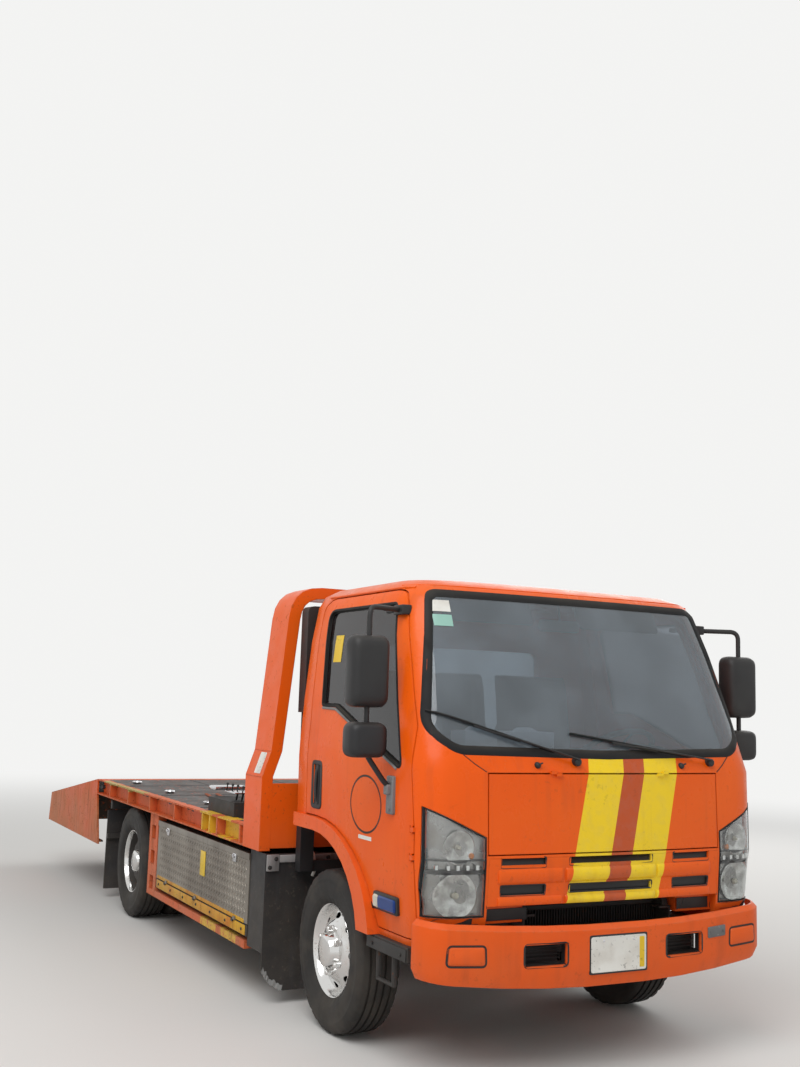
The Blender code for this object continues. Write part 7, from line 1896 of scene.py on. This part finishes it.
@dataclass
class ChassisTrim:
    """Guard clamps and torn edges, step bars, tank straps and brake pots."""

    tank_face_x: float = 1.0405

    def build(self) -> None:
        """Makes the chassis trim."""
        self.make_guard_trim()
        self.make_steps()
        self.make_tank()
        self.make_axles()

    def make_guard_trim(self) -> None:
        """Clamps the front guards, frays their torn corners and hangs the white strap."""
        for side, hand in SIDES.items():
            clamps, fray, bolts = (Form(f"guard_{part}_{side}") for part in ("clamps", "fray", "bolts"))
            clamps.box((0.990, 0.586, 0.700), (1.062, 0.5995, 0.788), 0.003)
            clamps.box((0.520, 0.588, 0.745), (0.990, 0.5995, 0.785), 0.003)
            for x, z in ((1.010, 0.765), (1.045, 0.720), (0.700, 0.765), (0.850, 0.765), (0.560, 0.765)):
                bolts.bolt(spot(x, 0.586, z), Vector((0, -1, 0)), 0.008)
            draw = random.Random(7)
            outer, inner, outer_back, inner_back = [], [], [], []
            for index in range(25):
                share = index / 24
                bend = min(share / 0.45, 1.0)
                after = max((share - 0.45) / 0.55, 0.0)
                x, z = 1.062 - 0.037 * bend - 0.080 * after, 0.182 - 0.057 * bend - 0.048 * after
                outer.append(spot(x + 0.004, 0.594 - draw.uniform(0.0, 0.008),
                                  z - draw.uniform(0.002, 0.014)))
                inner.append(spot(x - 0.008, 0.5975, z + 0.014 + draw.uniform(-0.006, 0.010)))
            outer_back = [point + Vector((0, 0.0025, 0)) for point in outer]
            inner_back = [point + Vector((0, 0.0025, 0)) for point in inner]
            fray.loft([outer, inner, inner_back, outer_back], capped=False, closed=False, around=True)
            clamps.done(Finishes.tank, "chassis", hand=hand)
            fray.done(FRAY, "chassis", hand=hand)
            bolts.done(Finishes.black_steel, "chassis", hand=hand)
        strap = Form("white_strap")
        line = [spot(-0.800, 0.590, 0.800), spot(-0.803, 0.560, 0.790), spot(-0.800, 0.548, 0.750),
                spot(-0.796, 0.552, 0.700), spot(-0.806, 0.556, 0.672)]
        strap.tube(bent_path(line, 0.02), 0.010, 8, 0.3)
        strap.done(WHITE, "chassis", slot="seat_cloth")

    def make_steps(self) -> None:
        """Adds raised bars and a bent guard to each step."""
        for side, hand in SIDES.items():
            bars, skirt = Form(f"step_bars_{side}"), Form(f"step_skirt_{side}")
            for index in range(9):
                y = -0.835 + index * 0.042
                bars.box((0.800, y, 0.5445), (0.945, y + 0.014, 0.5495), 0.0015)
            skirt.box((0.9555, -0.850, 0.506), (0.9600, -0.460, 0.560), 0.002)
            for y in (-0.80, -0.52):
                skirt.bolt(spot(0.960, y, 0.530), Vector((1, 0, 0)), 0.006)
            bars.done(Finishes.deck_steel, "cab", hand=hand)
            skirt.done(Finishes.plastic, "cab", hand=hand)

    def make_tank(self) -> None:
        """Straps the tank and fits its cap."""
        face = self.tank_face_x
        straps, cap = Form("tank_straps"), Form("tank_cap")
        for y in (1.00, 1.42):
            straps.box((face, y - 0.020, 0.340), (face + 0.003, y + 0.020, 0.690), 0.001)
            straps.box((0.560, y - 0.020, 0.7155), (1.000, y + 0.020, 0.7185), 0.001)
        cap.turn([(0.0, 0.0), (0.0, 0.040), (0.012, 0.042), (0.022, 0.040), (0.026, 0.034), (0.027, 0.0)],
                 spot(face, 1.210, 0.640), "X", 28)
        straps.done(Finishes.black_steel, "chassis")
        cap.done(Finishes.plastic, "chassis")

    def make_axles(self) -> None:
        """Adds the brake pots at the rear axle."""
        pots = Form("brake_pots")
        for hand in (-1, 1):
            centre = Vector((hand * 0.500, REAR_AXLE_Y - 0.200, 0.470))
            pots.turn([(-0.075, 0.0), (-0.075, 0.050), (-0.060, 0.062), (-0.004, 0.064), (0.0, 0.072),
                       (0.010, 0.072),
                       (0.014, 0.064), (0.050, 0.058), (0.064, 0.040), (0.066, 0.0)], centre, "Y", 24)
        pots.done(Finishes.black_steel, "chassis")


@dataclass
class Interior:
    """Crowned seats, gauges, gear lever and paper boxes on the dashboard."""

    seats: tuple[tuple[str, float, float], ...] = (("driver", 0.457, 0.245), ("middle", -0.080, 0.200),
                                                   ("passenger", -0.546, 0.210))
    seat_z: float = 1.162

    def build(self) -> None:
        """Makes the cab's inside."""
        for index, (name, centre, half) in enumerate(self.seats):
            self.make_seat(name, centre, half, index == 0)
        self.make_base()
        self.make_dash()

    def cushion(self, form: Form, place: Placer, half: float, long: float,
                thick: float, crown: float) -> None:
        """Adds a stuffed pad with a crowned top, soft edges and two sewn lines.

        Args:
            form: the form to add to.
            place: turns the distances across, along and out into a point.
            half: half its width.
            long: its length.
            thick: its thickness at the edge.
            crown: how far the middle rises over the edge.
        """
        across, along = 28, 28
        top, low = [], []
        for row in range(along + 1):
            v = row / along
            line, under = [], []
            for column in range(across + 1):
                u = column / across * 2 - 1
                edge = (1 - abs(u) ** 6) * (1 - abs(2 * v - 1) ** 8)
                soft = max(edge, 0.0) ** 0.35
                seam = 0.007 * sum(EULER ** (-((u - at) / 0.035) ** 2) for at in (-0.52, 0.52))
                cross = 0.006 * EULER ** (-((v - 0.36) / 0.03) ** 2) if abs(u) < 0.52 else 0.0
                wrinkle = 0.0015 * sin(u * 17 + v * 5) * sin(v * 23)
                crowned = crown * (1 - u * u) * (1 - (2 * v - 1) ** 2)
                rise = thick * (0.35 + 0.65 * soft) + crowned - seam - cross
                pull = 1 - 0.02 * (1 - soft)
                line.append(place(u * half * pull, v * long, rise + wrinkle))
                under.append(place(u * half * 0.985, v * long, 0.0))
            top.append(line)
            low.append(under)
        form.sheet(top, low)

    def make_seat(self, name: str, centre: float, half: float, first: bool) -> None:
        """Makes one seat's cushion and back."""
        pad = Form(f"{name}_cushion")
        self.cushion(pad, lambda a, b, c: spot(centre + a, -0.138 + b, self.seat_z + c), half, 0.470, 0.125,
                     0.020)
        made = pad.done(SEAT_CLOTH, "cab", 60, replaces=["seats"] if first else [])
        lean = Vector((0.0, 0.16, 0.987)).normalized()
        out = Vector((0.0, -0.987, 0.16))
        foot = spot(centre, 0.262, 1.170)
        back = Form(f"{name}_backrest")
        self.cushion(back, lambda a, b, c: foot + Vector((a, 0, 0)) + lean * b + out * c, half * 0.97, 0.640,
                     0.085,
                     0.018)
        back.done(SEAT_CLOTH, "cab", 60)

    def make_base(self) -> None:
        """Makes the seats' base and the gear lever."""
        base = Form("seat_base")
        base.box((-0.740, -0.080, 1.0008), (0.740, 0.355, 1.160), 0.012, 3)
        base.done(Finishes.dark_trim, "cab")
        lever = Form("gear_lever")
        lever.tube(bent_path([spot(0.110, -0.480, 1.020), spot(0.110, -0.470, 1.200),
                              spot(0.120, -0.380, 1.330)], 0.05),
                   0.007, 8)
        lever.ball(spot(0.120, -0.378, 1.345), 0.024, (1, 1, 1.2))
        lever.turn([(0.0, 0.0), (0.0, 0.060), (0.020, 0.052), (0.040, 0.036), (0.060, 0.028), (0.080, 0.012),
                    (0.080, 0.0)],
                   spot(0.110, -0.480, 1.0008), "Z", 20)
        lever.done(Finishes.dark_trim, "cab")

    def make_dash(self) -> None:
        """Adds the gauge hood, the dials and two paper boxes."""
        hood, dials, papers = Form("gauge_hood"), Form("gauge_faces"), Form("dash_boxes")
        rows = []
        for index in range(13):
            angle = pi * index / 12
            rows.append([spot(0.440 + 0.190 * cos(angle) * grow, y, 1.385 + 0.075 * sin(angle) * grow)
                         for y, grow in ((-0.780, 0.95), (-0.660, 1.0), (-0.625, 0.97), (-0.635, 0.90),
                                         (-0.700, 0.86))])
        hood.loft(rows, capped=False, closed=False)
        bmesh.ops.solidify(hood.mesh, geom=hood.mesh.faces[:], thickness=0.004)
        for x in (0.350, 0.440, 0.530):
            dials.turn([(0.0, 0.0), (0.0, 0.036), (0.004, 0.038), (0.006, 0.036), (0.003, 0.033),
                        (0.003, 0.0)],
                       spot(x, -0.602, 1.330), "Y", 28)
        for x, y, turn, half in ((-0.590, -0.770, 0.10, 0.095), (-0.300, -0.760, -0.06, 0.130)):
            corners = panel((-half, -0.060), (half, 0.060), 0.006, 3)
            papers.loft([[spot(x + a * cos(turn) - b * sin(turn), y + a * sin(turn) + b * cos(turn),
                               1.4325 + lift)
                          for a, b in grown(corners, grow)]
                         for lift, grow in ((0.0, -0.002), (0.003, 0.0), (0.077, 0.0), (0.080, -0.002))])
            papers.loft([[spot(x + a * cos(turn), y + b + 0.01 * sin(9 * a / half), 1.5115 + lift)
                          for a, b in oval(0.0, 0.0, half * grow, 0.022 * grow, 16)]
                         for lift, grow in ((0.0, 0.5), (0.010, 0.45), (0.020, 0.30))])
        shelf = Form("dash_shelf")
        shelf.box((-0.760, -0.850, 1.3905), (0.180, -0.610, 1.4320), 0.014, 3)
        shelf.done(Finishes.dark_trim, "cab")
        hood.done(Finishes.dark_trim, "cab")
        dials.done(WHITE, "cab", slot="cab_trim")
        papers.done(PAPER, "cab")


@dataclass
class Studio:
    """Floor, light and camera."""

    eye: Point = (-3.489, -8.188, 1.640)
    yaw: float = 0.474176
    pitch: float = 0.140487
    roll: float = 0.0316424
    focal_share: float = 1182.38 / 1067
    sensor: float = 36.0
    floor_radius: float = 60.0
    floor_tone: Colour = (0.72, 0.71, 0.69)
    sky_tone: Colour = (0.90, 0.90, 0.89)
    sky_light: float = 0.60
    fade: Pair = (3.5, 17.0)
    aim: Point = (0.0, -1.0, 0.8)

    def build(self) -> None:
        """Makes the camera, the floor, the sky and the lamps."""
        self.make_camera()
        self.make_floor()
        self.make_sky()
        self.make_lamps()

    def make_camera(self) -> None:
        """Stands the camera where the photographer stood."""
        ahead = Vector((sin(self.yaw) * cos(self.pitch), cos(self.yaw) * cos(self.pitch), sin(self.pitch)))
        aside = Vector((cos(self.yaw), -sin(self.yaw), 0.0))
        above = aside.cross(ahead)
        right = aside * cos(self.roll) + above * sin(self.roll)
        top = above * cos(self.roll) - aside * sin(self.roll)
        data = bpy.data.cameras.new("camera")
        data.sensor_width = self.sensor
        data.sensor_fit = "AUTO"
        data.lens = self.focal_share * self.sensor
        data.clip_start = 0.1
        data.clip_end = 300.0
        camera = bpy.data.objects.new("camera", data)
        turn = Matrix((right, top, -ahead)).transposed().to_4x4()
        camera.matrix_world = Matrix.Translation(self.eye) @ turn
        bpy.context.scene.collection.objects.link(camera)
        bpy.context.scene.camera = camera

    def make_floor(self) -> None:
        """Lays the pale floor, which fades into the sky far away."""
        mesh = bpy.data.meshes.new("floor")
        made = bmesh.new()
        bmesh.ops.create_circle(made, cap_ends=True, segments=96, radius=self.floor_radius)
        made.to_mesh(mesh)
        made.free()
        floor = bpy.data.objects.new("floor", mesh)
        bpy.context.scene.collection.objects.link(floor)
        graph = Graph("floor")
        flat = graph.add("SeparateXYZ", {0: graph.place})
        away = graph.sum("SQRT", graph.sum("ADD", graph.sum("MULTIPLY", flat.outputs[0], flat.outputs[0]),
                                           graph.sum("MULTIPLY", flat.outputs[1], flat.outputs[1])))
        ground = graph.add("BsdfPrincipled", {"Base Color": self.floor_tone, "Roughness": 0.9})
        haze = graph.add("Emission", {"Color": self.sky_tone, "Strength": 1.0})
        mixed = graph.add("MixShader", {0: graph.step(away, *self.fade), 1: ground.outputs[0],
                                        2: haze.outputs[0]})
        graph.tree.links.new(mixed.outputs[0], graph.output.inputs[0])
        mesh.materials.append(graph.material)

    def make_sky(self) -> None:
        """Makes an even sky, paler to the camera and in reflections than as a light."""
        world = bpy.data.worlds.new("sky")
        world.use_nodes = True
        bpy.context.scene.world = world
        tree = world.node_tree
        back = tree.nodes["Background"]
        back.inputs["Color"].default_value = (*self.sky_tone, 1.0)
        path = tree.nodes.new("ShaderNodeLightPath")
        seen = path.outputs["Is Camera Ray"]
        for ray in ("Is Glossy Ray", "Is Transmission Ray"):
            either = tree.nodes.new("ShaderNodeMath")
            either.operation = "MAXIMUM"
            tree.links.new(seen, either.inputs[0])
            tree.links.new(path.outputs[ray], either.inputs[1])
            seen = either.outputs[0]
        strength = tree.nodes.new("ShaderNodeMapRange")
        strength.inputs[3].default_value = self.sky_light
        strength.inputs[4].default_value = 1.0
        tree.links.new(seen, strength.inputs[0])
        tree.links.new(strength.outputs[0], back.inputs["Strength"])

    def make_lamps(self) -> None:
        """Hangs two broad soft lamps, the stronger one above the front right."""
        for name, place, size, power in (("key", (-5.0, -6.5, 8.0), 7.0, 520.0),
                                         ("fill", (7.0, 3.0, 6.0), 8.0, 260.0)):
            data = bpy.data.lights.new(name, "AREA")
            data.shape = "DISK"
            data.size = size
            data.energy = power
            lamp = bpy.data.objects.new(name, data)
            lamp.location = place
            lamp.rotation_euler = (Vector(place) - Vector(self.aim)).to_track_quat("Z", "Y").to_euler()
            bpy.context.scene.collection.objects.link(lamp)


def main() -> None:
    """Builds the studio and the truck's pieces in order."""
    logging.basicConfig(level=logging.INFO, format="%(message)s")
    bpy.context.scene.view_settings.view_transform = "Standard"
    Studio().build()
    dress_nodes()
    ScreenTrim().build()
    BumperTrim().build()
    Wheels().build()
    for side, hand in SIDES.items():
        DoorTrim(hand, f"door_{side}").build()
        Mirrors(hand, f"door_{side}").build()
        Headlamp(hand).build()
    GrilleTrim().build()
    CabTrim().build()
    LockerTrim(-1, "right", 0.850).build()
    LockerTrim(1, "left", 1.670).build()
    BedTrim().build()
    ChassisTrim().build()
    Interior().build()


if __name__ == "__main__":
    main()
